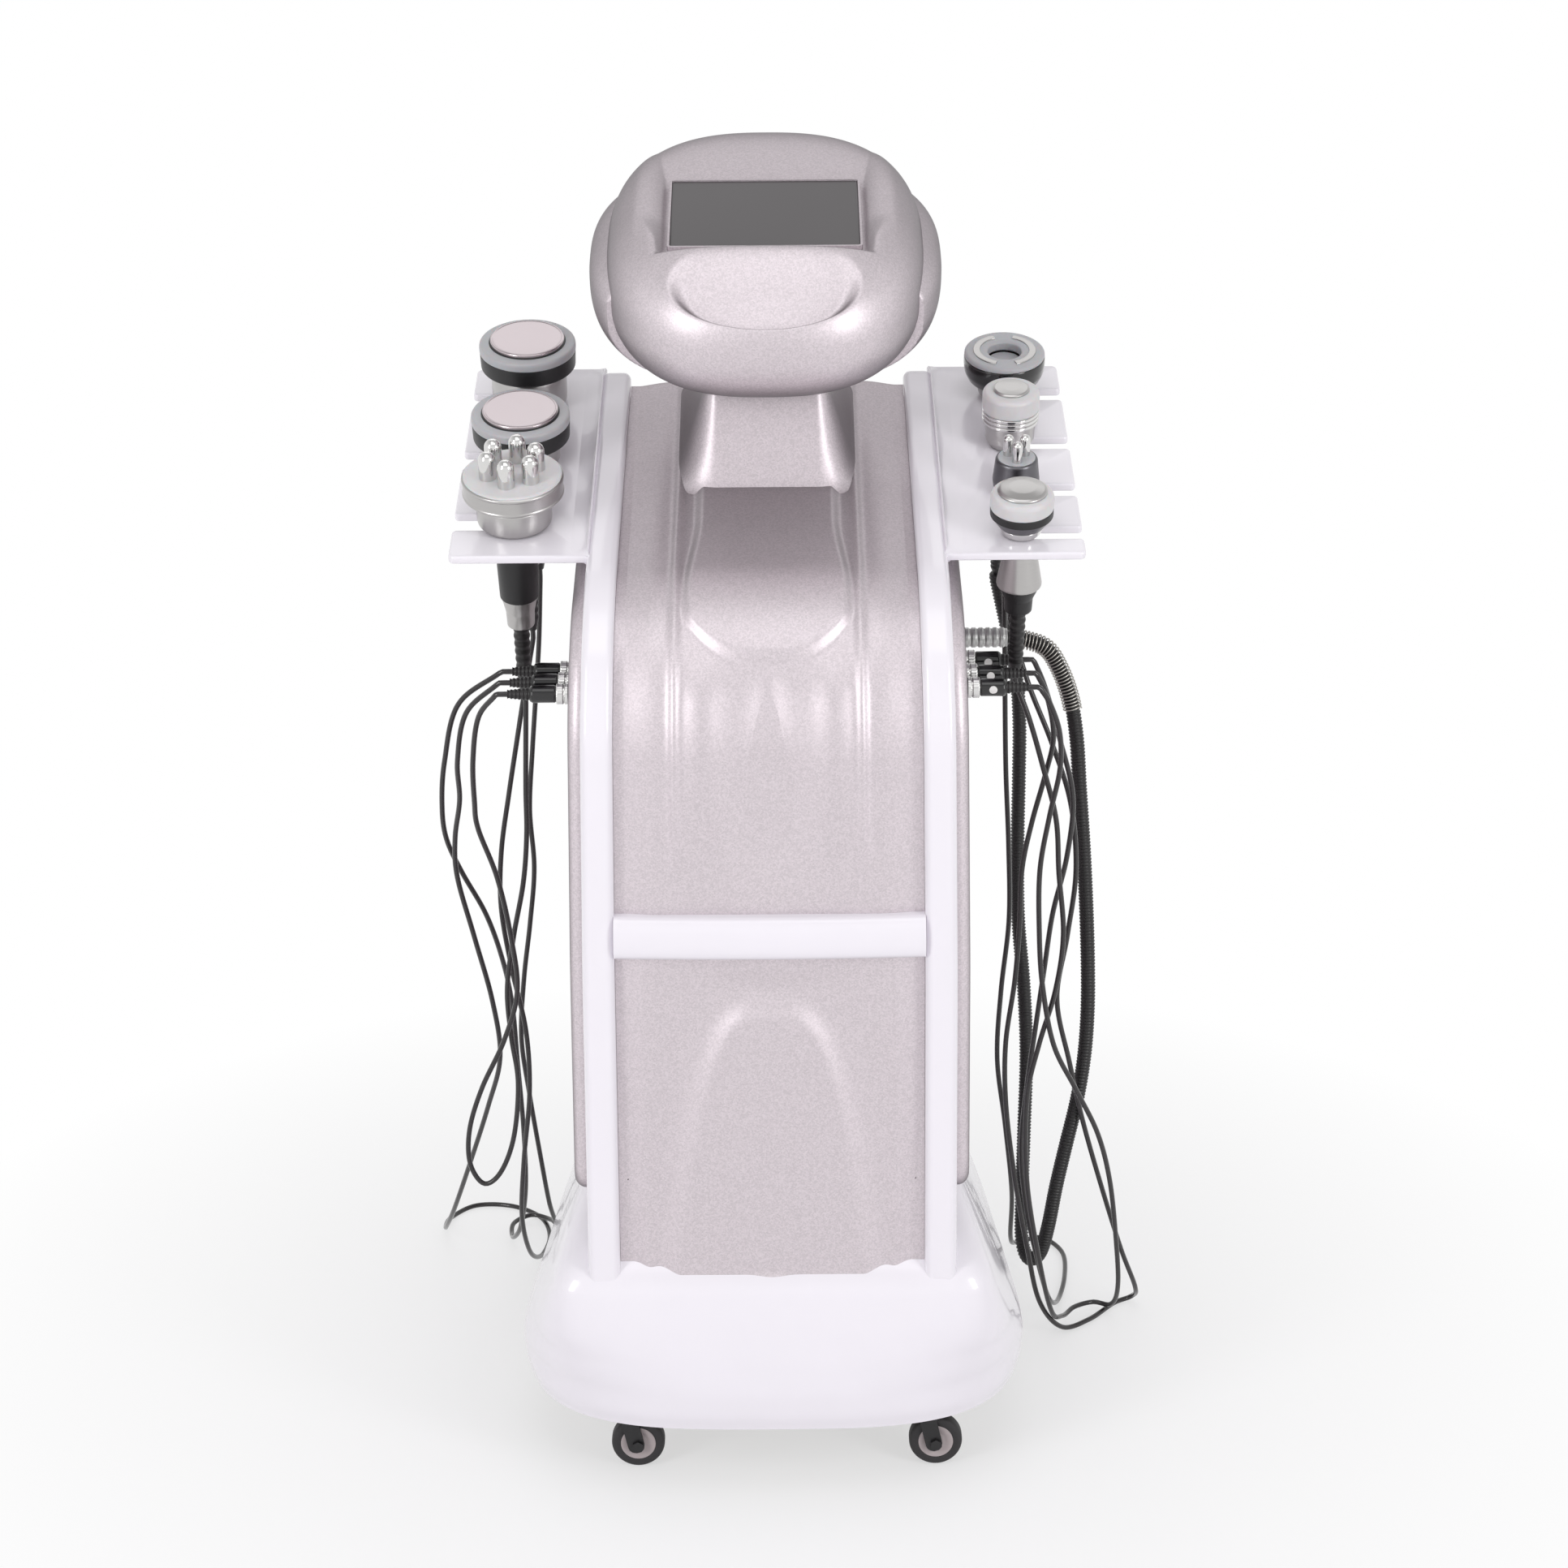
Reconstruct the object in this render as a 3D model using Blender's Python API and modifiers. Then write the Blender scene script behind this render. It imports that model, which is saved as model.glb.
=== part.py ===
"""Cavitation slimming machine: a base on casters, an arched body, two handpiece trays and a swivelling head.

Metres, +Z up, the front of the machine faces -Y and the floor is at z = 0.
"""

import math
from math import cos, pi, radians, sin, tan

import bmesh
import bpy
from mathutils import Matrix, Vector

# Shared clearances
GAP = 0.0003
OVERRUN = 0.02
MERGE = 0.00001

# Body: half its width at the foot and at the top, its front and rear planes, and the sloping deck line
BODY_HALF_FOOT = 0.168
BODY_HALF_TOP = 0.1568
BODY_FRONT = 0.224
BODY_REAR = 0.225
BODY_FOOT_Z = 0.200
BODY_TOP_Z = 0.970
NARROWING_SHARES = (0.0, 0.40, 0.70, 1.0)
DECK_CORNER_Z = 0.835
DECK_SLOPE = radians(16)
SHOULDER_RADIUS = 0.155
REAR_CORNER_RADIUS = 0.012
POCKET_FLOOR_Z = 0.155

# White side bands and the bar between them
BAND_WIDTH = 0.029
BAND_DEPTH = 0.030
BAND_ROUNDING = 0.004
CROSS_BAR_Z = 0.555
CROSS_BAR_HEIGHT = 0.040
CROSS_BAR_DEPTH = 0.026
CROSS_BAR_PROUD = 0.004

# Silver panels
PANEL_WALL = 0.004
PANEL_RECESS = 0.008
SIDE_PANEL_PROUD = 0.013
SIDE_PANEL_INNER = 0.016
SIDE_PANEL_FOOT_Z = 0.288
SIDE_PANEL_FOOT_INSET = 0.002
SIDE_PANEL_ROUNDING = 0.009
ARCH_RELIEF = 0.004
ARCH_HALF_WIDTH = 0.086
ARCH_TOP_MARGIN = 0.034
SHIELD_RELIEF = 0.004
SHIELD_HALF_WIDTH = 0.078
SHIELD_LENGTH = 0.232
SHIELD_TILT = radians(27.5)
SHIELD_SIDE_SHARE = 0.80

# Base skirt
BASE_RIM_Z = 0.068
BASE_TOP_Z = 0.285
BASE_HALF_WIDTH = 0.243
BASE_NARROWING = 0.13
BASE_NARROWS_FROM = -0.115
BASE_FRONT = 0.241
BASE_REAR = 0.237
BASE_WALL = 0.005
BASE_HOLLOW_SHARE = 0.34
BASE_POINTS = 32
BASE_REAR_EXPONENT = 14
PLATE_THICKNESS = 0.004
PLATE_RAISE = 0.003
BASE_PLATE_INSET = 0.010

# Rear of the body
REAR_COVER_WALL = 0.004
VENT_RADIUS = 0.045
VENT_BAR = 0.006
VENT_Z = 0.640
FAN_HUB_RADIUS = 0.014
FAN_BLADES = 5
FAN_DEPTH = 0.012
FAN_GAP = 0.0006
FAN_TIP_CLEARANCE = 0.006
INLET_WIDTH = 0.048
INLET_HEIGHT = 0.028
INLET_DEPTH = 0.030
INLET_Z = 0.360
INLET_X = -0.050
SWITCH_WIDTH = 0.021
SWITCH_HEIGHT = 0.015
SWITCH_DEPTH = 0.012
SWITCH_Z = 0.360
SWITCH_X = 0.030
SWITCH_PROUD = 0.003

# Inside the body
COLUMN_WIDTH = 0.110
COLUMN_DEPTH = 0.090
COLUMN_WALL = 0.003
COLUMN_TOP_Z = 0.780
SUPPLY_SIZE = (0.120, 0.050, 0.180)
PUMP_RADIUS = 0.036
PUMP_LENGTH = 0.120

# Casters
WHEEL_RADIUS = 0.025
WHEEL_WIDTH = 0.018
WHEEL_BORE = 0.0036
WHEEL_TYRE_ROUNDING = 0.004
CASTER_SIDE_INSET = 0.103
CASTER_FRONT_INSET = 0.066
CASTER_REAR_INSET = 0.062
CASTER_X = BASE_HALF_WIDTH - CASTER_SIDE_INSET
CASTER_FRONT_Y = BASE_FRONT - CASTER_FRONT_INSET
CASTER_REAR_Y = BASE_REAR - CASTER_REAR_INSET
CASTER_TRAIL = 0.012
CHEEK_THICKNESS = 0.0025
CHEEK_CLEARANCE = 0.0010
CHEEK_WIDTH = 0.016
FORK_TOP_THICKNESS = 0.003
FORK_TOP_RADIUS = 0.020
FORK_CROWN_CLEARANCE = 0.0015
AXLE_RADIUS = 0.003
AXLE_NUT_RADIUS = 0.0055
AXLE_NUT_LENGTH = 0.003

# Trays
TRAY_START_V = 0.130
TRAY_LENGTH = 0.337
TRAY_REACH = 0.129
TRAY_TIP_X = BODY_HALF_FOOT + TRAY_REACH
TRAY_THICKNESS = 0.008
TRAY_DROP = 0.002
TRAY_GUSSET = 0.012
RIGHT_SLOT_WIDTH = 0.019
LEFT_SLOT_WIDTH = 0.026
RIGHT_SLOT_SHARES = (0.1016, 0.3185, 0.5663, 0.8348)
LEFT_SLOT_SHARES = (0.1739, 0.4940, 0.8141)
HANDPIECE_OFFSET = 0.0705
HANDPIECE_X = BODY_HALF_FOOT + HANDPIECE_OFFSET

# Handpieces: the neck in a slot on each side, then each kind's widest radius and height above the tray,
# its seat, grip and collar radii, its length below the tray and how far down that its grip reaches
LEFT_NECK_RADIUS = 0.0115
RIGHT_NECK_RADIUS = 0.0082
CAVITATION_RADIUS = 0.0452
CAVITATION_HEIGHT = 0.0545
TALL_CAVITATION_HEIGHT = 0.0685
CAVITATION_SEAT_RADIUS = 0.0300
CAVITATION_GRIP_RADIUS = 0.0190
CAVITATION_COLLAR_RADIUS = 0.0125
CAVITATION_BELOW = 0.187
CAVITATION_GRIP_SHARE = 0.42
PIN_HEAD_RADIUS = 0.0460
PIN_HEAD_HEIGHT = 0.0510
PIN_HEAD_SEAT_RADIUS = 0.0240
PIN_HEAD_GRIP_RADIUS = 0.0185
PIN_HEAD_COLLAR_RADIUS = 0.0125
PIN_HEAD_BELOW = 0.187
PIN_HEAD_GRIP_SHARE = 0.42
VACUUM_RADIUS = 0.0385
VACUUM_HEIGHT = 0.0480
VACUUM_SEAT_RADIUS = 0.0200
VACUUM_GRIP_RADIUS = 0.0155
VACUUM_COLLAR_RADIUS = 0.0120
VACUUM_BELOW = 0.200
VACUUM_GRIP_SHARE = 0.70
RINGED_RADIUS = 0.0265
RINGED_HEIGHT = 0.0600
RINGED_SEAT_RADIUS = 0.0190
RINGED_GRIP_RADIUS = 0.0140
RINGED_COLLAR_RADIUS = 0.0110
RINGED_BELOW = 0.130
RINGED_GRIP_SHARE = 0.40
THREE_PIN_RADIUS = 0.0212
THREE_PIN_HEIGHT = 0.0350
THREE_PIN_SEAT_RADIUS = 0.0180
THREE_PIN_GRIP_RADIUS = 0.0140
THREE_PIN_COLLAR_RADIUS = 0.0110
THREE_PIN_BELOW = 0.130
THREE_PIN_GRIP_SHARE = 0.40
DOMED_RADIUS = 0.0284
DOMED_HEIGHT = 0.0485
DOMED_SEAT_RADIUS = 0.0165
DOMED_GRIP_RADIUS = 0.0142
DOMED_COLLAR_RADIUS = 0.0125
DOMED_BELOW = 0.150
DOMED_GRIP_SHARE = 0.36
PIN_RADIUS = 0.0070
PIN_HEIGHT = 0.026
PIN_CIRCLE = 0.0225
SMALL_PIN_RADIUS = 0.0047
SMALL_PIN_HEIGHT = 0.020
SMALL_PIN_CIRCLE = 0.0085

# Head and neck, in the frame of the sloping deck
HEAD_V = 0.346
HEAD_N = 0.176
HEAD_EXPONENT = 2.6
FACE_HALF_WIDTH = 0.143
FACE_HALF_LENGTH = 0.185
FACE_HALF_HEIGHT = 0.079
FACE_WALL = 0.005
BOWL_HALF_WIDTH = 0.159
BOWL_HALF_LENGTH = 0.158
BOWL_HALF_HEIGHT = 0.084
BOWL_TOP_HEIGHT = 0.050
BOWL_SHIFT_V = 0.014
BOWL_SHIFT_N = -0.009
BOWL_WALL = 0.005
BOWL_CHIN_GAP = 0.0015
PARTING_N = -0.012
CHIN_V = -0.084
SCREEN_WIDTH = 0.168
SCREEN_LENGTH = 0.128
SCREEN_V = -0.012
SCREEN_N = 0.053
SCREEN_THICKNESS = 0.003
SCREEN_BEZEL = 0.004
BAY_MARGIN = 0.004
BAY_FRONT_MARGIN = 0.014
BAY_DEPTH = 0.050
BAY_SIDE_FLARE = 0.034
BAY_REAR_FLARE = 0.022
BAY_FRONT_FLARE = 0.050
FLOOR_WALL = 0.006
DISPLAY_THICKNESS = 0.012
GRAB_EXPONENT = 2.5
GRAB_HALF_WIDTH = 0.100
GRAB_HALF_LENGTH = 0.052
GRAB_HALF_DEPTH = 0.065
GRAB_V = -0.140
GRAB_N = 0.075
NECK_RADIUS = 0.082
NECK_HEIGHT = 0.008
NECK_N = -0.090
SPINDLE_RADIUS = 0.020
SPINDLE_DROP = 0.040
SPINDLE_CLEARANCE = 0.001
PEDESTAL_HALF_WIDTH = 0.086
PEDESTAL_HALF_LENGTH = 0.105
PEDESTAL_ROUNDING = 0.018
PEDESTAL_WALL = 0.006

# Plugs, sockets and the hose fitting
PLUG_Z = 0.740
LEFT_PLUG_Y = -0.0625
LEFT_PLUG_PITCH = 0.0325
RIGHT_PLUG_Y = -0.045
RIGHT_PLUG_PITCH = 0.040
SOCKET_PLATE_HEIGHT = 0.030
SOCKET_PLATE_THICKNESS = 0.002
SOCKET_RADIUS = 0.0072
NUT_BORE = 0.0080
SOCKET_LENGTH = 0.004
NUT_RADIUS = 0.0095
NUT_LENGTH = 0.012
PLUG_RADIUS = 0.0080
PLUG_LENGTH = 0.024
BOOT_RADIUS = 0.0062
BOOT_TIP_RADIUS = 0.0040
BOOT_LENGTH = 0.020
CORD_RADIUS = 0.0025
CORD_POINTS = 26
CORD_LEAD_SHARE = 4
BEND_WEIGHT = 0.080
HOSE_FITTING_Y = 0.063
HOSE_FITTING_RADIUS = 0.0095
HOSE_FITTING_LENGTH = 0.046
HOSE_RADIUS = 0.0072
HOSE_GROOVE_SHARE = 0.84
HOSE_BORE = 0.0040
HOSE_BORE_POINTS = 28
HOSE_RIBS = 50
SPRING_WIRE = 0.0009
SPRING_CLEARANCE = 0.0009
SPRING_CURLS = 11
SPRING_POINTS = 8
SPRING_START = 0.006
SPRING_LENGTH = 0.100

# Cord routes, in metres, from the plug to the handpiece; the ends are added from the pieces they meet.
# They were drawn beside a body of this half width, and move with its sides
ROUTE_BODY_HALF = 0.168
LEFT_FRONT_ROUTE = [
    (-0.262, -0.077, 0.712), (-0.270, -0.060, 0.665), (-0.272, -0.040, 0.618), (-0.271, -0.025, 0.585),
    (-0.256, -0.013, 0.531), (-0.246, -0.001, 0.465), (-0.243, 0.010, 0.405), (-0.258, 0.020, 0.350),
    (-0.282, 0.027, 0.296), (-0.296, 0.031, 0.250), (-0.297, 0.033, 0.212), (-0.284, 0.033, 0.190),
    (-0.267, 0.033, 0.203), (-0.253, 0.032, 0.242), (-0.247, 0.031, 0.300), (-0.252, 0.030, 0.350),
    (-0.254, 0.028, 0.400), (-0.246, 0.027, 0.455), (-0.235, 0.026, 0.510), (-0.230, 0.024, 0.560),
    (-0.229, 0.021, 0.610),
]
LEFT_MIDDLE_ROUTE = [
    (-0.276, -0.043, 0.705), (-0.288, -0.021, 0.651), (-0.290, 0.005, 0.603), (-0.298, 0.027, 0.556),
    (-0.299, 0.043, 0.510), (-0.286, 0.053, 0.444), (-0.272, 0.063, 0.373), (-0.268, 0.081, 0.305),
    (-0.285, 0.115, 0.235), (-0.310, 0.160, 0.150), (-0.334, 0.215, 0.070), (-0.350, 0.275, 0.018),
    (-0.350, 0.325, 0.0034), (-0.325, 0.355, 0.0030), (-0.285, 0.353, 0.0030), (-0.252, 0.325, 0.0030),
    (-0.240, 0.280, 0.0030), (-0.246, 0.230, 0.0070), (-0.254, 0.185, 0.036), (-0.258, 0.150, 0.095),
    (-0.252, 0.127, 0.170), (-0.243, 0.115, 0.250), (-0.244, 0.109, 0.320), (-0.256, 0.107, 0.390),
    (-0.264, 0.108, 0.453), (-0.262, 0.111, 0.510), (-0.253, 0.115, 0.568), (-0.244, 0.119, 0.620),
    (-0.236, 0.122, 0.665),
]
LEFT_REAR_ROUTE = [
    (-0.286, -0.013, 0.703), (-0.303, 0.009, 0.640), (-0.309, 0.027, 0.590), (-0.308, 0.043, 0.550),
    (-0.296, 0.057, 0.510), (-0.276, 0.073, 0.460), (-0.264, 0.095, 0.405), (-0.258, 0.123, 0.344),
    (-0.256, 0.141, 0.270), (-0.254, 0.159, 0.190), (-0.256, 0.185, 0.110), (-0.266, 0.223, 0.045),
    (-0.278, 0.265, 0.0110), (-0.280, 0.300, 0.0090), (-0.262, 0.320, 0.0090), (-0.240, 0.305, 0.0110),
    (-0.232, 0.270, 0.0240), (-0.236, 0.237, 0.065), (-0.242, 0.215, 0.130), (-0.250, 0.203, 0.205),
    (-0.256, 0.197, 0.273), (-0.251, 0.193, 0.340), (-0.243, 0.193, 0.400), (-0.237, 0.195, 0.460),
    (-0.240, 0.201, 0.520), (-0.236, 0.209, 0.580), (-0.231, 0.217, 0.640), (-0.227, 0.223, 0.690),
]
RIGHT_FRONT_ROUTE = [
    (0.254, -0.081, 0.722), (0.264, -0.069, 0.690), (0.266, -0.055, 0.650), (0.258, -0.045, 0.600),
    (0.251, -0.037, 0.545), (0.252, -0.029, 0.482), (0.257, -0.017, 0.420), (0.270, -0.005, 0.352),
    (0.293, 0.008, 0.300), (0.317, 0.023, 0.245), (0.332, 0.041, 0.185), (0.342, 0.063, 0.110),
    (0.348, 0.087, 0.045), (0.344, 0.107, 0.0120), (0.326, 0.115, 0.0100), (0.306, 0.103, 0.0110),
    (0.292, 0.079, 0.0140), (0.278, 0.049, 0.036), (0.262, 0.023, 0.110), (0.248, 0.011, 0.200),
    (0.246, 0.005, 0.290), (0.256, -0.001, 0.350), (0.270, -0.009, 0.410), (0.276, -0.015, 0.470),
    (0.270, -0.021, 0.535), (0.266, -0.024, 0.590), (0.252, -0.024, 0.645), (0.239, -0.024, 0.690),
]
RIGHT_MIDDLE_ROUTE = [
    (0.254, -0.039, 0.716), (0.262, -0.025, 0.672), (0.256, -0.013, 0.630), (0.245, -0.005, 0.580),
    (0.237, 0.001, 0.530), (0.236, 0.007, 0.470), (0.233, 0.015, 0.410), (0.226, 0.025, 0.340),
    (0.228, 0.035, 0.270), (0.238, 0.041, 0.190), (0.252, 0.046, 0.110), (0.266, 0.053, 0.045),
    (0.290, 0.067, 0.0080), (0.320, 0.091, 0.0030), (0.348, 0.125, 0.0030), (0.368, 0.135, 0.0060),
    (0.368, 0.110, 0.030), (0.350, 0.087, 0.085), (0.328, 0.069, 0.160), (0.306, 0.057, 0.240),
    (0.290, 0.049, 0.310),
    (0.276, 0.041, 0.380), (0.284, 0.033, 0.450), (0.290, 0.025, 0.520), (0.283, 0.021, 0.590),
    (0.264, 0.021, 0.650), (0.244, 0.025, 0.700), (0.231, 0.030, 0.740),
]
RIGHT_REAR_ROUTE = [
    (0.255, -0.001, 0.712), (0.270, 0.005, 0.660), (0.284, 0.009, 0.600), (0.280, 0.011, 0.540),
    (0.268, 0.015, 0.480), (0.262, 0.025, 0.420), (0.255, 0.035, 0.350), (0.249, 0.046, 0.285),
    (0.245, 0.055, 0.215), (0.251, 0.061, 0.150), (0.263, 0.065, 0.090), (0.277, 0.081, 0.035),
    (0.290, 0.125, 0.0060), (0.302, 0.181, 0.0030), (0.304, 0.237, 0.0030), (0.284, 0.271, 0.0030),
    (0.258, 0.257, 0.0050), (0.248, 0.221, 0.030), (0.246, 0.187, 0.100), (0.236, 0.159, 0.190),
    (0.226, 0.145, 0.270), (0.228, 0.133, 0.350),
    (0.234, 0.123, 0.430), (0.232, 0.117, 0.510), (0.228, 0.115, 0.590), (0.226, 0.116, 0.670),
    (0.225, 0.118, 0.730),
]
HOSE_ROUTE = [
    (0.258, 0.063, 0.731), (0.272, 0.063, 0.712), (0.284, 0.063, 0.680), (0.291, 0.063, 0.640),
    (0.295, 0.063, 0.590), (0.300, 0.063, 0.530), (0.304, 0.063, 0.470), (0.307, 0.063, 0.410),
    (0.308, 0.063, 0.360), (0.306, 0.064, 0.310), (0.300, 0.065, 0.262), (0.291, 0.067, 0.215),
    (0.282, 0.071, 0.165), (0.275, 0.077, 0.115), (0.268, 0.085, 0.082), (0.258, 0.097, 0.070),
    (0.252, 0.113, 0.082), (0.252, 0.127, 0.120), (0.254, 0.141, 0.190), (0.256, 0.155, 0.270),
    (0.253, 0.167, 0.340), (0.247, 0.179, 0.410), (0.246, 0.191, 0.480), (0.247, 0.203, 0.550),
    (0.247, 0.213, 0.610), (0.242, 0.219, 0.660),
]

PARTS = "cavitation_slimming_machine"
CUTTERS = "cutters"


def start_clean():
    """Empties the scene and makes one collection for the pieces and one for the cutters."""
    for thing in list(bpy.data.objects):
        bpy.data.objects.remove(thing, do_unlink=True)
    for name in (PARTS, CUTTERS):
        collection = bpy.data.collections.new(name)
        bpy.context.scene.collection.children.link(collection)


def linear(channel):
    """An sRGB channel from 0 to 1 as linear light."""
    return channel / 12.92 if channel <= 0.04045 else ((channel + 0.055) / 1.055) ** 2.4


def material(name, hex_colour, roughness, metallic=0.0):
    """A Principled material, made once per name."""
    made = bpy.data.materials.get(name)
    if made:
        return made
    made = bpy.data.materials.new(name)
    made.use_nodes = True
    shader = made.node_tree.nodes["Principled BSDF"]
    channels = [linear(int(hex_colour[i : i + 2], 16) / 255) for i in (0, 2, 4)]
    shader.inputs["Base Color"].default_value = (*channels, 1.0)
    shader.inputs["Roughness"].default_value = roughness
    shader.inputs["Metallic"].default_value = metallic
    made.diffuse_color = (*channels, 1.0)
    return made


def white_gloss():
    return material("white_gloss_abs", "F2EEF5", 0.12)


def silver_paint():
    return material("silver_metallic_paint", "B9B2B6", 0.35, 0.6)


def black_plastic():
    return material("black_plastic", "232126", 0.45)


def dark_rubber():
    return material("black_rubber", "1E1B1D", 0.6)


def satin_silver():
    return material("satin_silver_coating", "C4C1C3", 0.3, 0.9)


def steel():
    return material("zinc_plated_steel", "A9A7A6", 0.35, 1.0)


def add_object(name, data, finish, collection=PARTS):
    """Wraps a mesh or curve in an object with its finish."""
    thing = bpy.data.objects.new(name, data)
    bpy.data.collections[collection].objects.link(thing)
    if finish is not None:
        data.materials.append(finish)
    return thing


def add_mesh(name, bm, finish, sharp=radians(35)):
    """An object from a bmesh whose faces are turned outwards."""
    bmesh.ops.recalc_face_normals(bm, faces=bm.faces)
    mesh = bpy.data.meshes.new(name)
    bm.to_mesh(mesh)
    bm.free()
    mesh.shade_smooth()
    mesh.set_sharp_from_angle(angle=sharp)
    return add_object(name, mesh, finish)


def place(thing, matrix):
    """Moves a piece's mesh by a matrix, so that its object stays at the origin."""
    thing.data.transform(matrix)
    return thing


def bake(thing):
    """Replaces a piece's mesh by its evaluated one and drops its modifiers."""
    bpy.context.view_layer.update()
    graph = bpy.context.evaluated_depsgraph_get()
    mesh = bpy.data.meshes.new_from_object(thing.evaluated_get(graph))
    bm = bmesh.new()
    bm.from_mesh(mesh)
    bmesh.ops.remove_doubles(bm, verts=bm.verts, dist=MERGE)
    bm.to_mesh(mesh)
    bm.free()
    thing.modifiers.clear()
    thing.data = mesh
    return thing


def combine(thing, other, operation):
    """Cuts, joins or intersects a piece with another one, and keeps the result as its mesh."""
    modifier = thing.modifiers.new(operation.lower(), "BOOLEAN")
    modifier.operation = operation
    modifier.solver = "EXACT"
    modifier.object = other
    bake(thing)
    if operation == "UNION":
        bpy.data.objects.remove(other, do_unlink=True)
        return thing
    bpy.data.collections[PARTS].objects.unlink(other)
    bpy.data.collections[CUTTERS].objects.link(other)
    other.hide_render = True
    other.display_type = "WIRE"
    return thing


def cut(thing, cutter):
    return combine(thing, cutter, "DIFFERENCE")


def join(thing, other):
    return combine(thing, other, "UNION")


def common(thing, other):
    return combine(thing, other, "INTERSECT")


def box(name, size, centre, finish=None):
    """A box of the given size round a centre."""
    bm = bmesh.new()
    bmesh.ops.create_cube(bm, size=1)
    bmesh.ops.scale(bm, vec=Vector(size), verts=bm.verts)
    bmesh.ops.translate(bm, vec=Vector(centre), verts=bm.verts)
    return add_mesh(name, bm, finish)


def rounding(thing, width, segments=2, limit=radians(40)):
    """Rounds a piece's edges."""
    modifier = thing.modifiers.new("rounding", "BEVEL")
    modifier.width = width
    modifier.segments = segments
    modifier.limit_method = "ANGLE"
    modifier.angle_limit = limit
    return bake(thing)


def cylinder(name, radius, length, finish=None, segments=24, end_radius=None):
    """A cylinder or cone from z = 0 up to its length."""
    bm = bmesh.new()
    top = radius if end_radius is None else end_radius
    bmesh.ops.create_cone(bm, cap_ends=True, segments=segments, radius1=radius, radius2=top, depth=length)
    bmesh.ops.translate(bm, vec=Vector((0, 0, length / 2)), verts=bm.verts)
    return add_mesh(name, bm, finish)


def turned(name, profile, finish, steps=20):
    """A turned piece: a profile of (radius, height) from top to bottom, swept about Z."""
    mesh = bpy.data.meshes.new(name)
    points = [(radius, 0, height) for radius, height in profile]
    mesh.from_pydata(points, [(i, i + 1) for i in range(len(points) - 1)], [])
    thing = add_object(name, mesh, finish)
    screw = thing.modifiers.new("turning", "SCREW")
    screw.steps = steps
    screw.render_steps = steps
    screw.use_merge_vertices = True
    screw.merge_threshold = MERGE
    screw.use_smooth_shade = True
    bake(thing)
    bm = bmesh.new()
    bm.from_mesh(thing.data)
    bmesh.ops.recalc_face_normals(bm, faces=bm.faces)
    bm.to_mesh(thing.data)
    bm.free()
    thing.data.set_sharp_from_angle(angle=radians(35))
    return thing


def rounded(corners, radii, steps=6):
    """A polygon's corners (a, b) with each one rounded by its radius."""
    outline = []
    count = len(corners)
    for i, corner in enumerate(corners):
        here = Vector(corner)
        to_last = (Vector(corners[i - 1]) - here).normalized()
        to_next = (Vector(corners[(i + 1) % count]) - here).normalized()
        radius = radii[i]
        if radius <= 0:
            outline.append(tuple(here))
            continue
        half = to_last.angle(to_next) / 2
        reach = radius / tan(half)
        middle = here + (to_last + to_next).normalized() * radius / sin(half)
        first = here + to_last * reach - middle
        last = here + to_next * reach - middle
        sweep = first.angle(last)
        for k in range(steps + 1):
            share = k / steps
            a = sin((1 - share) * sweep) / sin(sweep)
            b = sin(share * sweep) / sin(sweep)
            outline.append(tuple(middle + first * a + last * b))
    return outline


SIDE_VIEW = Matrix(((0, 0, 1, 0), (1, 0, 0, 0), (0, 1, 0, 0), (0, 0, 0, 1)))
FRONT_VIEW = Matrix(((1, 0, 0, 0), (0, 0, -1, 0), (0, 1, 0, 0), (0, 0, 0, 1)))


def plate(name, outline, thickness, finish=None, matrix=Matrix.Identity(4)):
    """A flat outline given a thickness, centred on its plane and laid by a matrix."""
    curve = bpy.data.curves.new(name + "_outline", "CURVE")
    curve.dimensions = "2D"
    curve.fill_mode = "BOTH"
    curve.extrude = thickness / 2
    spline = curve.splines.new("POLY")
    spline.points.add(len(outline) - 1)
    for point, (a, b) in zip(spline.points, outline):
        point.co = (a, b, 0, 1)
    spline.use_cyclic_u = True
    guide = add_object(name + "_outline", curve, None)
    bpy.context.view_layer.update()
    graph = bpy.context.evaluated_depsgraph_get()
    mesh = bpy.data.meshes.new_from_object(guide.evaluated_get(graph))
    bpy.data.objects.remove(guide, do_unlink=True)
    bm = bmesh.new()
    bm.from_mesh(mesh)
    bmesh.ops.remove_doubles(bm, verts=bm.verts, dist=MERGE)
    bmesh.ops.dissolve_limit(bm, angle_limit=radians(0.5), verts=bm.verts, edges=bm.edges)
    thing = add_mesh(name, bm, finish)
    return place(thing, matrix)


def loft(name, rings, finish=None):
    """A closed solid through rings of equally many points, with flat ends."""
    bm = bmesh.new()
    rows = [[bm.verts.new(point) for point in ring] for ring in rings]
    count = len(rows[0])
    for lower, upper in zip(rows, rows[1:]):
        for i in range(count):
            j = (i + 1) % count
            bm.faces.new((lower[i], lower[j], upper[j], upper[i]))
    bm.faces.new(list(reversed(rows[0])))
    bm.faces.new(rows[-1])
    return add_mesh(name, bm, finish)


def superellipsoid(name, axes, exponent, finish=None, segments=26, rings=14, top=None):
    """A rounded form where |x/a|^e + |y/b|^e + |z/c|^e is 1; its upper half may have its own height."""
    bm = bmesh.new()
    bmesh.ops.create_uvsphere(bm, u_segments=segments, v_segments=rings, radius=1)
    for vert in bm.verts:
        x, y, z = vert.co
        reach = (abs(x) ** exponent + abs(y) ** exponent + abs(z) ** exponent) ** (-1 / exponent)
        height = top if top and z > 0 else axes[2]
        vert.co = (axes[0] * x * reach, axes[1] * y * reach, height * z * reach)
    return add_mesh(name, bm, finish)


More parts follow.
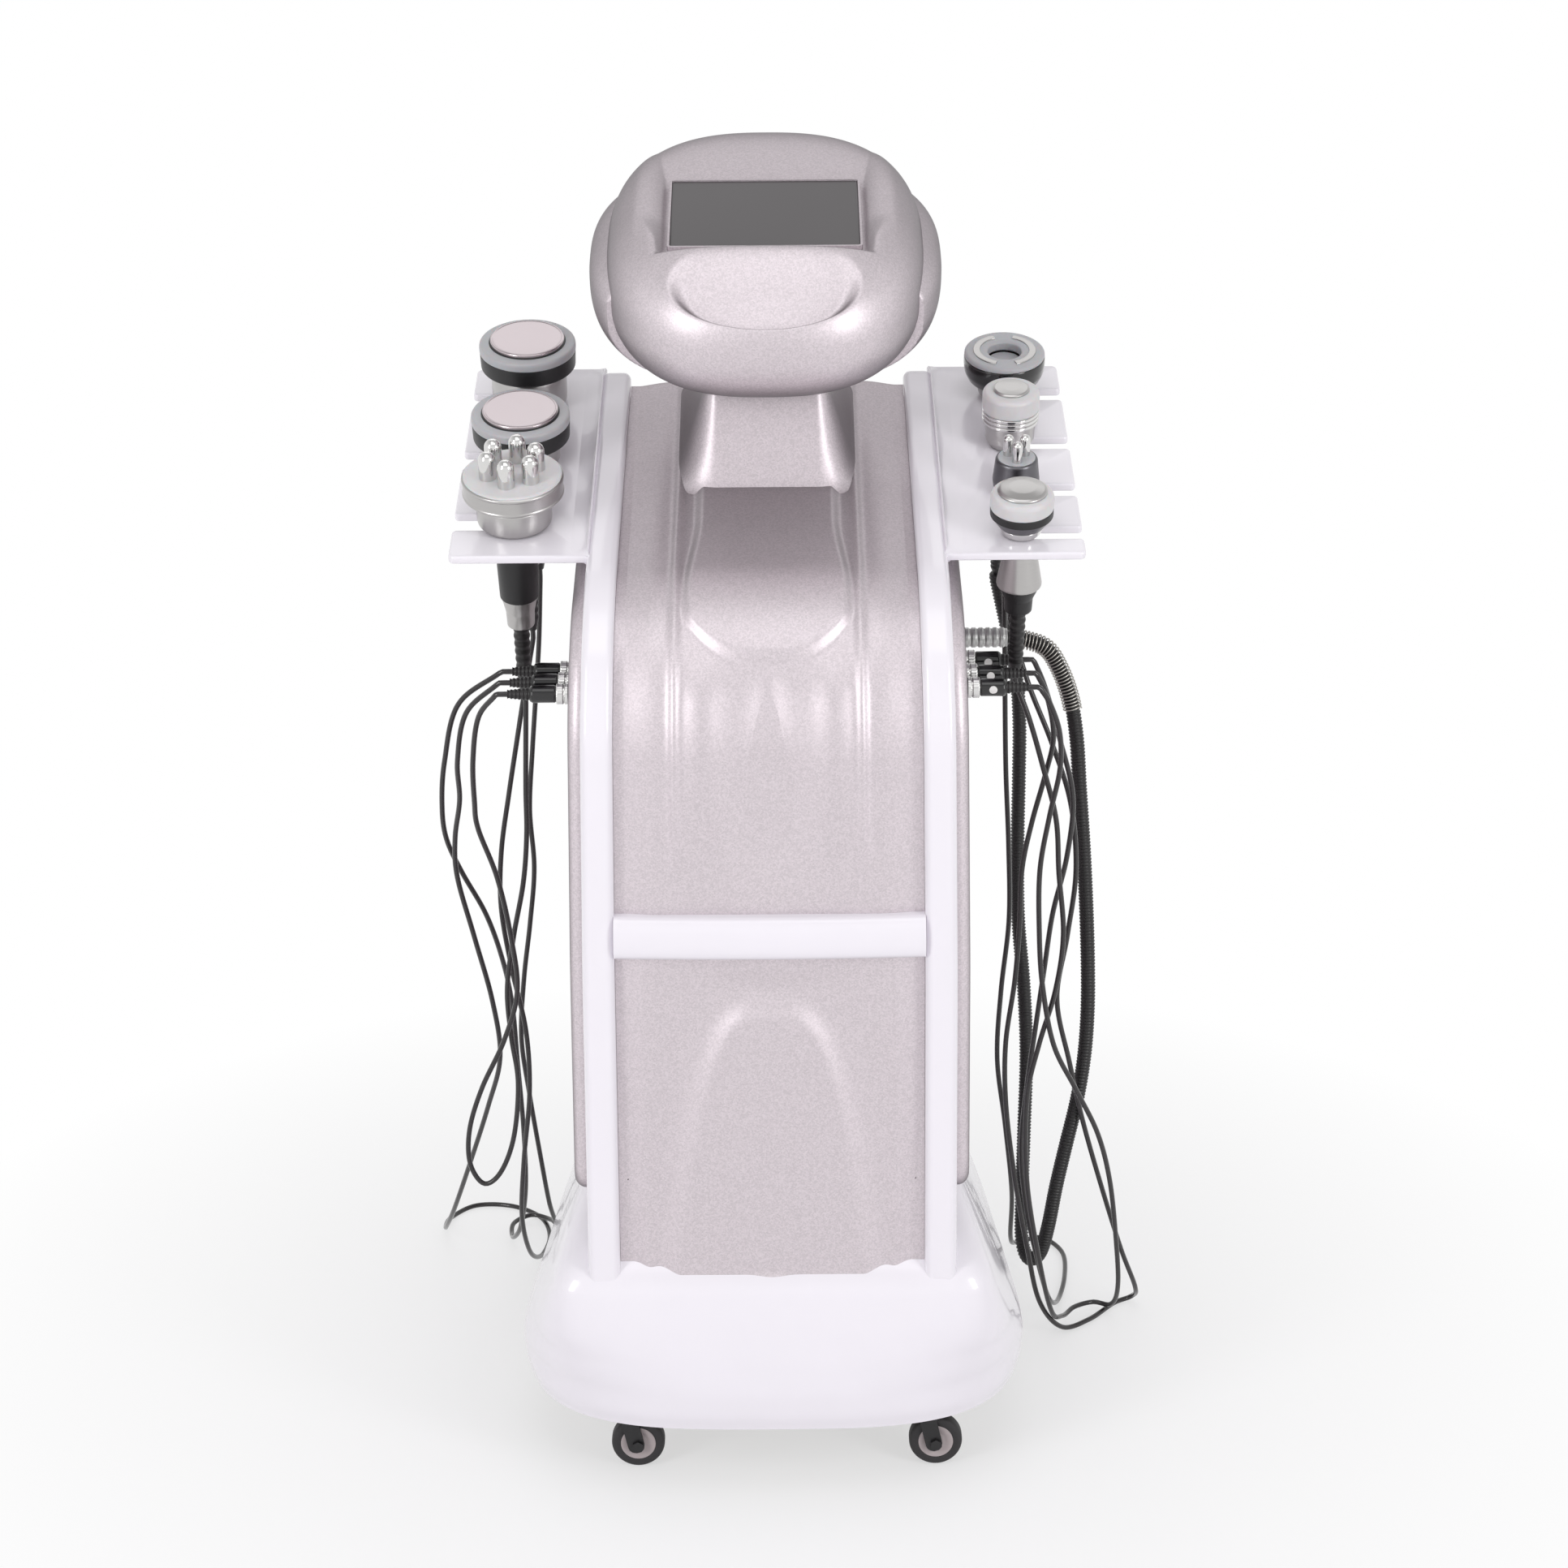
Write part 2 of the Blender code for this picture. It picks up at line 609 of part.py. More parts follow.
def smooth_path(points, count, bend_weight=0.0):
    """Points on a smooth curve through the given ones, evenly spaced or, with a weight, closer in bends."""
    route = [Vector(point) for point in points]
    dense = []
    for i in range(len(route) - 1):
        before = route[i - 1] if i > 0 else route[i] * 2 - route[i + 1]
        after = route[i + 2] if i + 2 < len(route) else route[i + 1] * 2 - route[i]
        for k in range(12):
            t = k / 12
            a = route[i] * 2
            b = (route[i + 1] - before) * t
            c = (before * 2 - route[i] * 5 + route[i + 1] * 4 - after) * t**2
            d = (route[i] * 3 - before - route[i + 1] * 3 + after) * t**3
            dense.append((a + b + c + d) / 2)
    dense.append(route[-1])
    walked = [0.0]
    length = 0.0
    heading = (dense[1] - dense[0]).normalized()
    for first, second in zip(dense, dense[1:]):
        step = second - first
        turn = heading.angle(step.normalized())
        heading = step.normalized()
        length += step.length
        walked.append(walked[-1] + step.length + turn * bend_weight)
    even = []
    k = 0
    for i in range(count):
        target = walked[-1] * i / (count - 1)
        while k < len(walked) - 2 and walked[k + 1] < target:
            k += 1
        share = (target - walked[k]) / (walked[k + 1] - walked[k])
        even.append(dense[k].lerp(dense[k + 1], share))
    return even, length


def led_path(start, out, end, down, route, lead, count, bend_weight=0.0):
    """A smooth path whose two ends run straight out of the pieces they meet."""
    middle = [start + out * lead] + [Vector(point) for point in route] + [end + down * lead]
    even, length = smooth_path(middle, count - 2, bend_weight)
    return [start + out * GAP] + even + [end + down * GAP], length + (lead - GAP) * 2


def tube(name, points, radius, finish, resolution=2, radii=None):
    """A round tube along points, as a curve with filled caps."""
    curve = bpy.data.curves.new(name, "CURVE")
    curve.dimensions = "3D"
    curve.bevel_depth = radius
    curve.bevel_resolution = resolution
    curve.use_fill_caps = True
    spline = curve.splines.new("POLY")
    spline.points.add(len(points) - 1)
    for i, (point, place_at) in enumerate(zip(spline.points, points)):
        point.co = (*place_at, 1)
        point.radius = radii[i] if radii else 1
    return add_object(name, curve, finish)


def tube_mesh(thing):
    """A tube curve made a closed mesh object."""
    name = thing.name
    finish = thing.data.materials[0] if thing.data.materials else None
    bpy.context.view_layer.update()
    graph = bpy.context.evaluated_depsgraph_get()
    mesh = bpy.data.meshes.new_from_object(thing.evaluated_get(graph))
    mesh.transform(thing.matrix_world)
    bpy.data.objects.remove(thing, do_unlink=True)
    bm = bmesh.new()
    bm.from_mesh(mesh)
    bmesh.ops.remove_doubles(bm, verts=bm.verts, dist=MERGE)
    return add_mesh(name, bm, finish)


def axis_empty(name, location, direction):
    """An empty on a joint's axis, with its Z along the axis."""
    empty = bpy.data.objects.new(name, None)
    bpy.data.collections[PARTS].objects.link(empty)
    turn = Vector(direction).to_track_quat("Z", "Y").to_matrix().to_4x4()
    empty.matrix_world = Matrix.Translation(location) @ turn
    bpy.context.view_layer.update()
    return empty


def hang_on(empty, *things):
    """Parents pieces to an empty without moving them."""
    for thing in things:
        thing.parent = empty
        thing.matrix_parent_inverse = empty.matrix_world.inverted()


def narrowing_heights():
    return [BODY_FOOT_Z + share * (BODY_TOP_Z - BODY_FOOT_Z) for share in NARROWING_SHARES]


def narrowing(z):
    """The body's width at a height as a share of its foot's, in straight stretches between set heights."""
    heights = narrowing_heights()
    widths = [1 - (1 - BODY_HALF_TOP / BODY_HALF_FOOT) * share**2 for share in NARROWING_SHARES]
    if z <= heights[0]:
        return 1.0
    for i in range(len(heights) - 1):
        if z <= heights[i + 1] or i == len(heights) - 2:
            share = (z - heights[i]) / (heights[i + 1] - heights[i])
            return widths[i] + (widths[i + 1] - widths[i]) * share


def taper(thing):
    """Narrows a piece as the body narrows, after cutting its faces at the heights where the slope changes."""
    bm = bmesh.new()
    bm.from_mesh(thing.data)
    for z in narrowing_heights()[:-1]:
        geometry = bm.verts[:] + bm.edges[:] + bm.faces[:]
        bmesh.ops.bisect_plane(bm, geom=geometry, dist=MERGE, plane_co=(0, 0, z), plane_no=(0, 0, 1))
    for vert in bm.verts:
        vert.co.x *= narrowing(vert.co.z)
    bm.to_mesh(thing.data)
    bm.free()
    return thing


DECK = Matrix.Translation((0, -BODY_FRONT, DECK_CORNER_Z)) @ Matrix.Rotation(DECK_SLOPE, 4, "X")
HEAD = DECK @ Matrix.Translation((0, HEAD_V, HEAD_N))
DECK_NORMAL = Vector((0, -sin(DECK_SLOPE), cos(DECK_SLOPE)))


def body_corners(inset, foot_z):
    """The side view's corners (y, z), moved inwards: front foot, shoulder, rear corner, rear foot."""
    front = -BODY_FRONT + inset
    rear = BODY_REAR - inset

    def deck_z(y):
        return DECK_CORNER_Z + (y + BODY_FRONT) * tan(DECK_SLOPE) - inset / cos(DECK_SLOPE)

    return [(front, foot_z), (front, deck_z(front)), (rear, deck_z(rear)), (rear, foot_z)]


def body_side(inset, foot_z, steps=5):
    """The side view with its shoulder and rear corner rounded."""
    radii = [0, SHOULDER_RADIUS - inset, REAR_CORNER_RADIUS - min(inset, REAR_CORNER_RADIUS / 2), 0]
    return rounded(body_corners(inset, foot_z), radii, steps)


def body_block(name, inset, half, foot_z, finish=None):
    """A solid of the body's side view, moved inwards, between x = -half and x = half, narrowed upwards."""
    block = plate(name, body_side(inset, foot_z), half * 2, finish, SIDE_VIEW)
    return taper(block)


def side_strip(name, outer, inner, x_from, x_to, foot_z, finish=None):
    """An arch that follows the body's side view between two insets and two widths."""
    outline = body_side(outer, foot_z) + list(reversed(body_side(inner, foot_z)))
    middle = (x_from + x_to) / 2
    strip = plate(name, outline, x_to - x_from, finish, Matrix.Translation((middle, 0, 0)) @ SIDE_VIEW)
    return strip


PANEL_HALF = BODY_HALF_FOOT - BAND_WIDTH - GAP


def base_ring(z, half, front, rear, exponent, inset=0.0):
    """A rounded plan section of the skirt, narrower towards its rear."""
    ring = []
    centre = (rear - front) / 2
    reach = (rear + front) / 2 - inset
    for k in range(BASE_POINTS):
        angle = 2 * pi * k / BASE_POINTS
        c, s = cos(angle), sin(angle)
        squareness = exponent if s < 0 else max(exponent, BASE_REAR_EXPONENT)
        y = centre + reach * math.copysign(abs(s) ** (2 / squareness), s)
        back = max(0.0, y - BASE_NARROWS_FROM) / (BASE_REAR - BASE_NARROWS_FROM)
        side = half * (1 - BASE_NARROWING * back) - inset
        x = side * math.copysign(abs(c) ** (2 / squareness), c)
        ring.append(Vector((x, y, z)))
    return ring


# Skirt sections from the rim up: shares of the height, the half width and the front and rear reach,
# and the exponent of the plan's rounding
BASE_SECTION_SHARES = [
    (0.00, 0.972, 0.959, 0.967, 3.4),
    (0.06, 0.992, 0.986, 0.995, 3.4),
    (0.18, 1.000, 1.000, 1.000, 3.4),
    (0.34, 0.945, 0.993, 0.978, 5.0),
    (0.50, 0.888, 0.977, 0.956, 9.0),
    (0.66, 0.835, 0.955, 0.934, 14.0),
    (0.72, 0.812, 0.914, 0.923, 14.0),
    (0.86, 0.755, 0.765, 0.890, 8.0),
    (1.00, 0.706, 0.602, 0.857, 6.0),
]


def base_sections(inset, top_share=1.0, drop=0.0):
    rings = []
    height = BASE_TOP_Z - BASE_RIM_Z
    for share, half, front, rear, exponent in BASE_SECTION_SHARES:
        if share > top_share:
            break
        z = BASE_RIM_Z + share * height - (drop if share == 0 else 0)
        ring = base_ring(z, half * BASE_HALF_WIDTH, front * BASE_FRONT, rear * BASE_REAR, exponent, inset)
        rings.append(ring)
    return rings


def build_base():
    """The white skirt, hollow from below, with a pocket on top for the body, and its steel plate."""
    skirt = loft("base_shell", base_sections(0), white_gloss())
    hollow = loft("base_hollow", base_sections(BASE_WALL, BASE_HOLLOW_SHARE, OVERRUN))
    cut(skirt, hollow)
    pocket = body_block("base_pocket", -GAP, BODY_HALF_FOOT + GAP, POCKET_FLOOR_Z)
    cut(skirt, pocket)

    plate_z = BASE_RIM_Z + PLATE_RAISE
    _, half_share, front_share, rear_share, exponent = BASE_SECTION_SHARES[0]
    half = half_share * BASE_HALF_WIDTH
    front = front_share * BASE_FRONT
    rear = rear_share * BASE_REAR
    low = base_ring(plate_z, half, front, rear, exponent, BASE_PLATE_INSET)
    high = [point + Vector((0, 0, PLATE_THICKNESS)) for point in low]
    base_plate = loft("base_plate", [low, high], steel())
    post = deck_post()
    join(base_plate, post)


def deck_post():
    """The square post that carries the body's column from the base plate."""
    low = BASE_RIM_Z + PLATE_RAISE + PLATE_THICKNESS / 2
    high = deck_underside() - GAP
    size = (COLUMN_WIDTH, COLUMN_DEPTH, high - low)
    return box("deck_post", size, (0, column_y(), (low + high) / 2))


def deck_underside():
    """The height of the skirt's hollow, under the deck that the body stands on."""
    shares = [section[0] for section in BASE_SECTION_SHARES if section[0] <= BASE_HOLLOW_SHARE]
    return BASE_RIM_Z + max(shares) * (BASE_TOP_Z - BASE_RIM_Z)


def column_y():
    return (BODY_REAR - BODY_FRONT) / 2


def caster_places():
    return [(x, y) for x in (-CASTER_X, CASTER_X) for y in (-CASTER_FRONT_Y, CASTER_REAR_Y)]


CASTER_NAMES = ("front_left", "rear_left", "front_right", "rear_right")


def build_casters():
    """Four swivel casters: a black fork with its axle bolt, and a black wheel with a hub."""
    fork_top = BASE_RIM_Z + PLATE_RAISE - GAP
    cheek_y = WHEEL_WIDTH / 2 + CHEEK_CLEARANCE + CHEEK_THICKNESS / 2
    crown_z = fork_top - FORK_TOP_THICKNESS
    for (x, y), name in zip(caster_places(), CASTER_NAMES):
        fork = cylinder("caster_fork_" + name, FORK_TOP_RADIUS, FORK_TOP_THICKNESS, black_plastic(), 14)
        place(fork, Matrix.Translation((x, y, crown_z)))
        wheel_x = x + CASTER_TRAIL
        for side in (-1, 1):
            cheek_outline = rounded(
                [
                    (wheel_x - CHEEK_WIDTH / 2, WHEEL_RADIUS - CHEEK_WIDTH / 2),
                    (wheel_x + CHEEK_WIDTH / 2, WHEEL_RADIUS - CHEEK_WIDTH / 2),
                    (x + CHEEK_WIDTH / 2, crown_z + FORK_TOP_THICKNESS / 2),
                    (x - CHEEK_WIDTH / 2, crown_z + FORK_TOP_THICKNESS / 2),
                ],
                [CHEEK_WIDTH * 0.45, CHEEK_WIDTH * 0.45, 0, 0],
                3,
            )
            lay = Matrix.Translation((0, y + side * cheek_y, 0)) @ FRONT_VIEW
            join(fork, plate("cheek", cheek_outline, CHEEK_THICKNESS, None, lay))
        reach = cheek_y + CHEEK_THICKNESS / 2
        along_y = Matrix.Rotation(pi / 2, 4, "X")
        bolt = cylinder("axle", AXLE_RADIUS, reach * 2 - CHEEK_THICKNESS, segments=8)
        place(bolt, Matrix.Translation((wheel_x, y + reach - CHEEK_THICKNESS / 2, WHEEL_RADIUS)) @ along_y)
        join(fork, bolt)
        for side in (-1, 1):
            nut = cylinder("nut", AXLE_NUT_RADIUS, AXLE_NUT_LENGTH + CHEEK_THICKNESS / 2, segments=6)
            start = y + (reach + AXLE_NUT_LENGTH if side > 0 else -reach + CHEEK_THICKNESS / 2)
            place(nut, Matrix.Translation((wheel_x, start, WHEEL_RADIUS)) @ along_y)
            join(fork, nut)
        edge = WHEEL_TYRE_ROUNDING
        half = WHEEL_WIDTH / 2
        wheel = turned(
            "caster_wheel_" + name,
            [
                (WHEEL_BORE, half),
                (WHEEL_RADIUS - edge, half),
                (WHEEL_RADIUS, half - edge),
                (WHEEL_RADIUS, -half + edge),
                (WHEEL_RADIUS - edge, -half),
                (WHEEL_BORE, -half),
                (WHEEL_BORE, half),
            ],
            dark_rubber(),
            steps=16,
        )
        place(wheel, Matrix.Translation((wheel_x, y, WHEEL_RADIUS)) @ along_y)
        swivel = axis_empty("swivel_" + name, (x, y, 0), (0, 0, 1))
        roll = axis_empty("roll_" + name, (wheel_x, y, WHEEL_RADIUS), (0, 1, 0))
        hang_on(swivel, fork, roll)
        hang_on(roll, wheel)


def build_bands():
    """The two white arches that edge the body, and the white bar between them."""
    foot = POCKET_FLOOR_Z + GAP
    for side, name in ((-1, "left"), (1, "right")):
        inner = BODY_HALF_FOOT - BAND_WIDTH
        x_from, x_to = sorted((side * inner, side * BODY_HALF_FOOT))
        band = side_strip("side_band_" + name, 0, BAND_DEPTH, x_from, x_to, foot, white_gloss())
        rounding(band, BAND_ROUNDING, 1)
        taper(band)
    bar_front = -BODY_FRONT - CROSS_BAR_PROUD
    half = CROSS_BAR_HEIGHT / 2
    outline = rounded(
        [
            (bar_front, CROSS_BAR_Z - half),
            (bar_front + CROSS_BAR_DEPTH, CROSS_BAR_Z - half),
            (bar_front + CROSS_BAR_DEPTH, CROSS_BAR_Z + half),
            (bar_front, CROSS_BAR_Z + half),
        ],
        [CROSS_BAR_DEPTH * 0.6, 0, 0, CROSS_BAR_DEPTH * 0.6],
        5,
    )
    bar = plate("cross_bar", outline, PANEL_HALF * 2, white_gloss(), SIDE_VIEW)
    taper(bar)


def build_panels():
    """The silver panels: lower front, upper front with its shield pad, and the two sides."""
    foot = POCKET_FLOOR_Z + GAP
    bar_low = CROSS_BAR_Z - CROSS_BAR_HEIGHT / 2
    panel_y = -BODY_FRONT + PANEL_RECESS
    middle_y = panel_y + PANEL_WALL / 2
    height = bar_low - GAP - foot
    size = (PANEL_HALF * 2, PANEL_WALL, height)
    lower = box("lower_front_panel", size, (0, middle_y, foot + height / 2), silver_paint())
    arch_top = bar_low - ARCH_TOP_MARGIN
    arch_foot = BODY_FOOT_Z + ARCH_RELIEF
    outline = rounded(
        [
            (-ARCH_HALF_WIDTH * 1.25, arch_foot),
            (ARCH_HALF_WIDTH * 1.25, arch_foot),
            (ARCH_HALF_WIDTH, arch_top),
            (-ARCH_HALF_WIDTH, arch_top),
        ],
        [0, 0, ARCH_HALF_WIDTH * 0.8, ARCH_HALF_WIDTH * 0.8],
        7,
    )
    lay = Matrix.Translation((0, panel_y, 0)) @ FRONT_VIEW
    join(lower, plate("arch_relief", outline, ARCH_RELIEF * 2, None, lay))
    taper(lower)

    bar_high = CROSS_BAR_Z + CROSS_BAR_HEIGHT / 2 + GAP
    upper = side_strip(
        "upper_front_panel",
        PANEL_RECESS,
        PANEL_RECESS + PANEL_WALL,
        -PANEL_HALF,
        PANEL_HALF,
        foot,
        silver_paint(),
    )
    low_block = box(
        "below_bar",
        (BODY_HALF_FOOT * 2, (BODY_FRONT + BODY_REAR) * 2, bar_high - foot + OVERRUN),
        (0, 0, (bar_high + foot - OVERRUN) / 2),
    )
    cut(upper, low_block)
    rear_block = box(
        "rear_cut",
        (BODY_HALF_FOOT * 2, OVERRUN * 4, BODY_TOP_Z),
        (0, BODY_REAR - REAR_CORNER_RADIUS + OVERRUN * 2, BODY_TOP_Z),
    )
    cut(upper, rear_block)
    shield = side_strip(
        "shield_pad",
        PANEL_RECESS - SHIELD_RELIEF,
        PANEL_RECESS + PANEL_WALL / 2,
        -PANEL_HALF,
        PANEL_HALF,
        foot,
    )
    outline = rounded(
        [
            (-SHIELD_HALF_WIDTH, 0),
            (SHIELD_HALF_WIDTH, 0),
            (SHIELD_HALF_WIDTH, -SHIELD_LENGTH * SHIELD_SIDE_SHARE),
            (0, -SHIELD_LENGTH),
            (-SHIELD_HALF_WIDTH, -SHIELD_LENGTH * SHIELD_SIDE_SHARE),
        ],
        [SHIELD_HALF_WIDTH * 0.12] * 2 + [SHIELD_HALF_WIDTH * 0.30] * 3,
        5,
    )
    top_edge = DECK @ Vector((0, pedestal_front_v() - GAP, -PANEL_RECESS))
    lay = Matrix.Translation(top_edge) @ Matrix.Rotation(SHIELD_TILT, 4, "X")
    prism = plate("shield_prism", outline, SHIELD_LENGTH * 1.6, None, lay)
    common(shield, prism)
    join(upper, shield)
    taper(upper)

    for side, name in ((-1, "left"), (1, "right")):
        inset = BAND_DEPTH + GAP
        x_from = BODY_HALF_FOOT - SIDE_PANEL_INNER
        x_to = BODY_HALF_FOOT + SIDE_PANEL_PROUD
        middle = side * (x_from + x_to) / 2
        corners = body_corners(inset, SIDE_PANEL_FOOT_Z)
        foot_radius = SIDE_PANEL_ROUNDING * 3
        radii = [foot_radius, SHOULDER_RADIUS - inset, REAR_CORNER_RADIUS / 2, foot_radius]
        outline = rounded(corners, radii, 5)
        lay = Matrix.Translation((middle, 0, 0)) @ SIDE_VIEW
        panel = plate("side_panel_" + name, outline, x_to - x_from, silver_paint(), lay)
        rounding(panel, SIDE_PANEL_ROUNDING, 1)
        wall_high = SIDE_PANEL_FOOT_Z + foot_radius + SIDE_PANEL_ROUNDING
        wall = box(
            "panel_foot",
            (SIDE_PANEL_INNER - SIDE_PANEL_FOOT_INSET, BODY_FRONT + BODY_REAR - inset * 2, wall_high - foot),
            (
                side * (x_from + (SIDE_PANEL_INNER - SIDE_PANEL_FOOT_INSET) / 2),
                (BODY_REAR - BODY_FRONT) / 2,
                (wall_high + foot) / 2,
            ),
        )
        join(panel, wall)
        taper(panel)


def pedestal_front_v():
    return HEAD_V - PEDESTAL_HALF_LENGTH


def build_pedestal():
    """The silver hump on the deck that carries the neck, hollow from below, and the dark ring on it."""
    low = -PANEL_RECESS + GAP
    high = HEAD_N + NECK_N - GAP
    size = (PEDESTAL_HALF_WIDTH * 2, PEDESTAL_HALF_LENGTH * 2, high - low)
    middle = (low + high) / 2
    hump = box("neck_pedestal", size, (0, HEAD_V, middle), silver_paint())
    corner = hump.modifiers.new("corners", "BEVEL")
    corner.width = PEDESTAL_ROUNDING
    corner.segments = 3
    corner.limit_method = "NONE"
    bake(hump)
    trim = box(
        "foot_trim",
        (size[0] * 2, size[1] * 2, PEDESTAL_ROUNDING * 4),
        (0, HEAD_V, low - PEDESTAL_ROUNDING * 2),
    )
    foot = box(
        "foot_block",
        (size[0] - PEDESTAL_ROUNDING, size[1] - PEDESTAL_ROUNDING, size[2] - PEDESTAL_ROUNDING * 2),
        (0, HEAD_V, middle - PEDESTAL_ROUNDING),
    )
    join(hump, foot)
    cut(hump, trim)
    inside = box(
        "pedestal_hollow",
        (
            size[0] - PEDESTAL_ROUNDING - PEDESTAL_WALL * 2,
            size[1] - PEDESTAL_ROUNDING - PEDESTAL_WALL * 2,
            size[2] - PEDESTAL_WALL * 2,
        ),
        (0, HEAD_V, middle - PEDESTAL_WALL * 2),
    )
    cut(hump, inside)
    bore = cylinder("pedestal_bore", SPINDLE_RADIUS + SPINDLE_CLEARANCE, OVERRUN * 2, segments=16)
    place(bore, Matrix.Translation((0, HEAD_V, high - OVERRUN)))
    cut(hump, bore)
    place(hump, DECK)

    ring = cylinder("neck_ring", NECK_RADIUS, NECK_HEIGHT - GAP, black_plastic(), 28)
    bore = cylinder("ring_bore", SPINDLE_RADIUS + SPINDLE_CLEARANCE, OVERRUN * 2, segments=16)
    place(bore, Matrix.Translation((0, 0, -OVERRUN)))
    cut(ring, bore)
    place(ring, HEAD @ Matrix.Translation((0, 0, NECK_N)))


def half_space(name, v_from, v_to, n_from, n_to):
    """A block across the whole head between two lengths and two heights of the head's frame."""
    size = (BOWL_HALF_WIDTH * 4, v_to - v_from, n_to - n_from)
    return box(name, size, (0, (v_from + v_to) / 2, (n_from + n_to) / 2))


def face_form(name, grow):
    """The face shell's outer form, grown by a clearance: the pod without its lower rear block."""
    axes = (FACE_HALF_WIDTH + grow, FACE_HALF_LENGTH + grow, FACE_HALF_HEIGHT + grow)
    form = superellipsoid(name, axes, HEAD_EXPONENT, silver_paint())
    lower_rear = half_space(
        name + "_lower_rear", CHIN_V + grow, FACE_HALF_LENGTH * 2, -FACE_HALF_HEIGHT * 3, PARTING_N - grow
    )
    return cut(form, lower_rear)


def build_head():
    """The swivelling head: face shell, rear bowl, glass, display module and spindle."""
    face = face_form("head_face_shell", 0)
    half = SCREEN_WIDTH / 2 + BAY_MARGIN
    front = SCREEN_V - SCREEN_LENGTH / 2 - BAY_FRONT_MARGIN
    rear = SCREEN_V + SCREEN_LENGTH / 2 + BAY_MARGIN
    floor_ring = [(-half, front), (half, front), (half, rear), (-half, rear)]
    half += BAY_SIDE_FLARE
    front -= BAY_FRONT_FLARE
    rear += BAY_REAR_FLARE
    open_ring = [(-half, front), (half, front), (half, rear), (-half, rear)]
    bay = loft(
        "screen_bay",
        [
            [Vector((x, v, SCREEN_N)) for x, v in floor_ring],
            [Vector((x, v, SCREEN_N + BAY_DEPTH)) for x, v in open_ring],
        ],
    )
    cut(face, bay)
    grab_size = (GRAB_HALF_WIDTH, GRAB_HALF_LENGTH, GRAB_HALF_DEPTH)
    grab = superellipsoid("grab_recess", grab_size, GRAB_EXPONENT, None, 20, 12)
    place(grab, Matrix.Translation((0, GRAB_V, GRAB_N)))
    cut(face, grab)
    window = box(
        "window",
        (SCREEN_WIDTH, SCREEN_LENGTH, FLOOR_WALL * 4),
        (0, SCREEN_V, SCREEN_N),
    )
    cut(face, window)
    inner = superellipsoid(
        "face_hollow",
        (FACE_HALF_WIDTH - FACE_WALL, FACE_HALF_LENGTH - FACE_WALL, FACE_HALF_HEIGHT - FACE_WALL),
        HEAD_EXPONENT,
        None,
        16,
        8,
    )
    room = half_space(
        "room",
        CHIN_V + FACE_WALL,
        FACE_HALF_LENGTH * 2,
        -FACE_HALF_HEIGHT * 2,
        SCREEN_N - FLOOR_WALL,
    )
    common(inner, room)
    cut(face, inner)
    place(face, HEAD)

    bowl_axes = (BOWL_HALF_WIDTH, BOWL_HALF_LENGTH, BOWL_HALF_HEIGHT)
    bowl = superellipsoid("head_rear_bowl", bowl_axes, HEAD_EXPONENT, silver_paint(), top=BOWL_TOP_HEIGHT)
    place(bowl, Matrix.Translation((0, BOWL_SHIFT_V, BOWL_SHIFT_N)))
    flat_n = NECK_N + NECK_HEIGHT
    under = half_space("under", -FACE_HALF_LENGTH * 2, FACE_HALF_LENGTH * 2, -FACE_HALF_HEIGHT * 3, flat_n)
    cut(bowl, under)
    hole = cylinder("spindle_hole", SPINDLE_RADIUS + GAP, OVERRUN * 2, segments=16)
    place(hole, Matrix.Translation((0, 0, flat_n - OVERRUN)))
    cut(bowl, hole)
    chin_end = CHIN_V + BOWL_CHIN_GAP
    far_n = FACE_HALF_HEIGHT * 3
    chin_side = half_space("chin_side", -FACE_HALF_LENGTH * 2, chin_end, -far_n, far_n)
    cut(bowl, chin_side)
    scoop = superellipsoid(
        "bowl_hollow",
        (FACE_HALF_WIDTH - BOWL_WALL * 3, BOWL_HALF_LENGTH - BOWL_WALL * 2, BOWL_HALF_HEIGHT - BOWL_WALL * 2),
        HEAD_EXPONENT,
        None,
        16,
        8,
    )
    place(scoop, Matrix.Translation((0, BOWL_SHIFT_V, BOWL_SHIFT_N)))
    keep = half_space("keep", CHIN_V + BOWL_WALL * 2, FACE_HALF_LENGTH * 2, -far_n, FACE_HALF_HEIGHT)
    common(scoop, keep)
    cut(bowl, scoop)
    cut(bowl, face_form("face_clearance", GAP))
    place(bowl, HEAD)

    spindle_low = NECK_N - SPINDLE_DROP
    spindle_high = flat_n + BOWL_WALL * 4
    spindle = cylinder("neck_spindle", SPINDLE_RADIUS, spindle_high - spindle_low, steel(), 16)
    place(spindle, HEAD @ Matrix.Translation((0, 0, spindle_low)))

    glass = box(
        "screen_glass",
        (SCREEN_WIDTH - GAP * 2, SCREEN_LENGTH - GAP * 2, SCREEN_THICKNESS),
        (0, SCREEN_V, SCREEN_N - SCREEN_BEZEL + SCREEN_THICKNESS / 2),
        material("dark_glass", "5A575B", 0.08),
    )
    place(glass, HEAD)
    display_high = SCREEN_N - SCREEN_BEZEL - GAP
    display = box(
        "display_module",
        (SCREEN_WIDTH - GAP * 2, SCREEN_LENGTH - GAP * 2, DISPLAY_THICKNESS),
        (0, SCREEN_V, display_high - DISPLAY_THICKNESS / 2),
        material("circuit_board", "2F4A38", 0.5),
    )
    place(display, HEAD)
    axis = axis_empty("head_axis", HEAD.translation, DECK_NORMAL)
    hang_on(axis, face, bowl, spindle, glass, display)


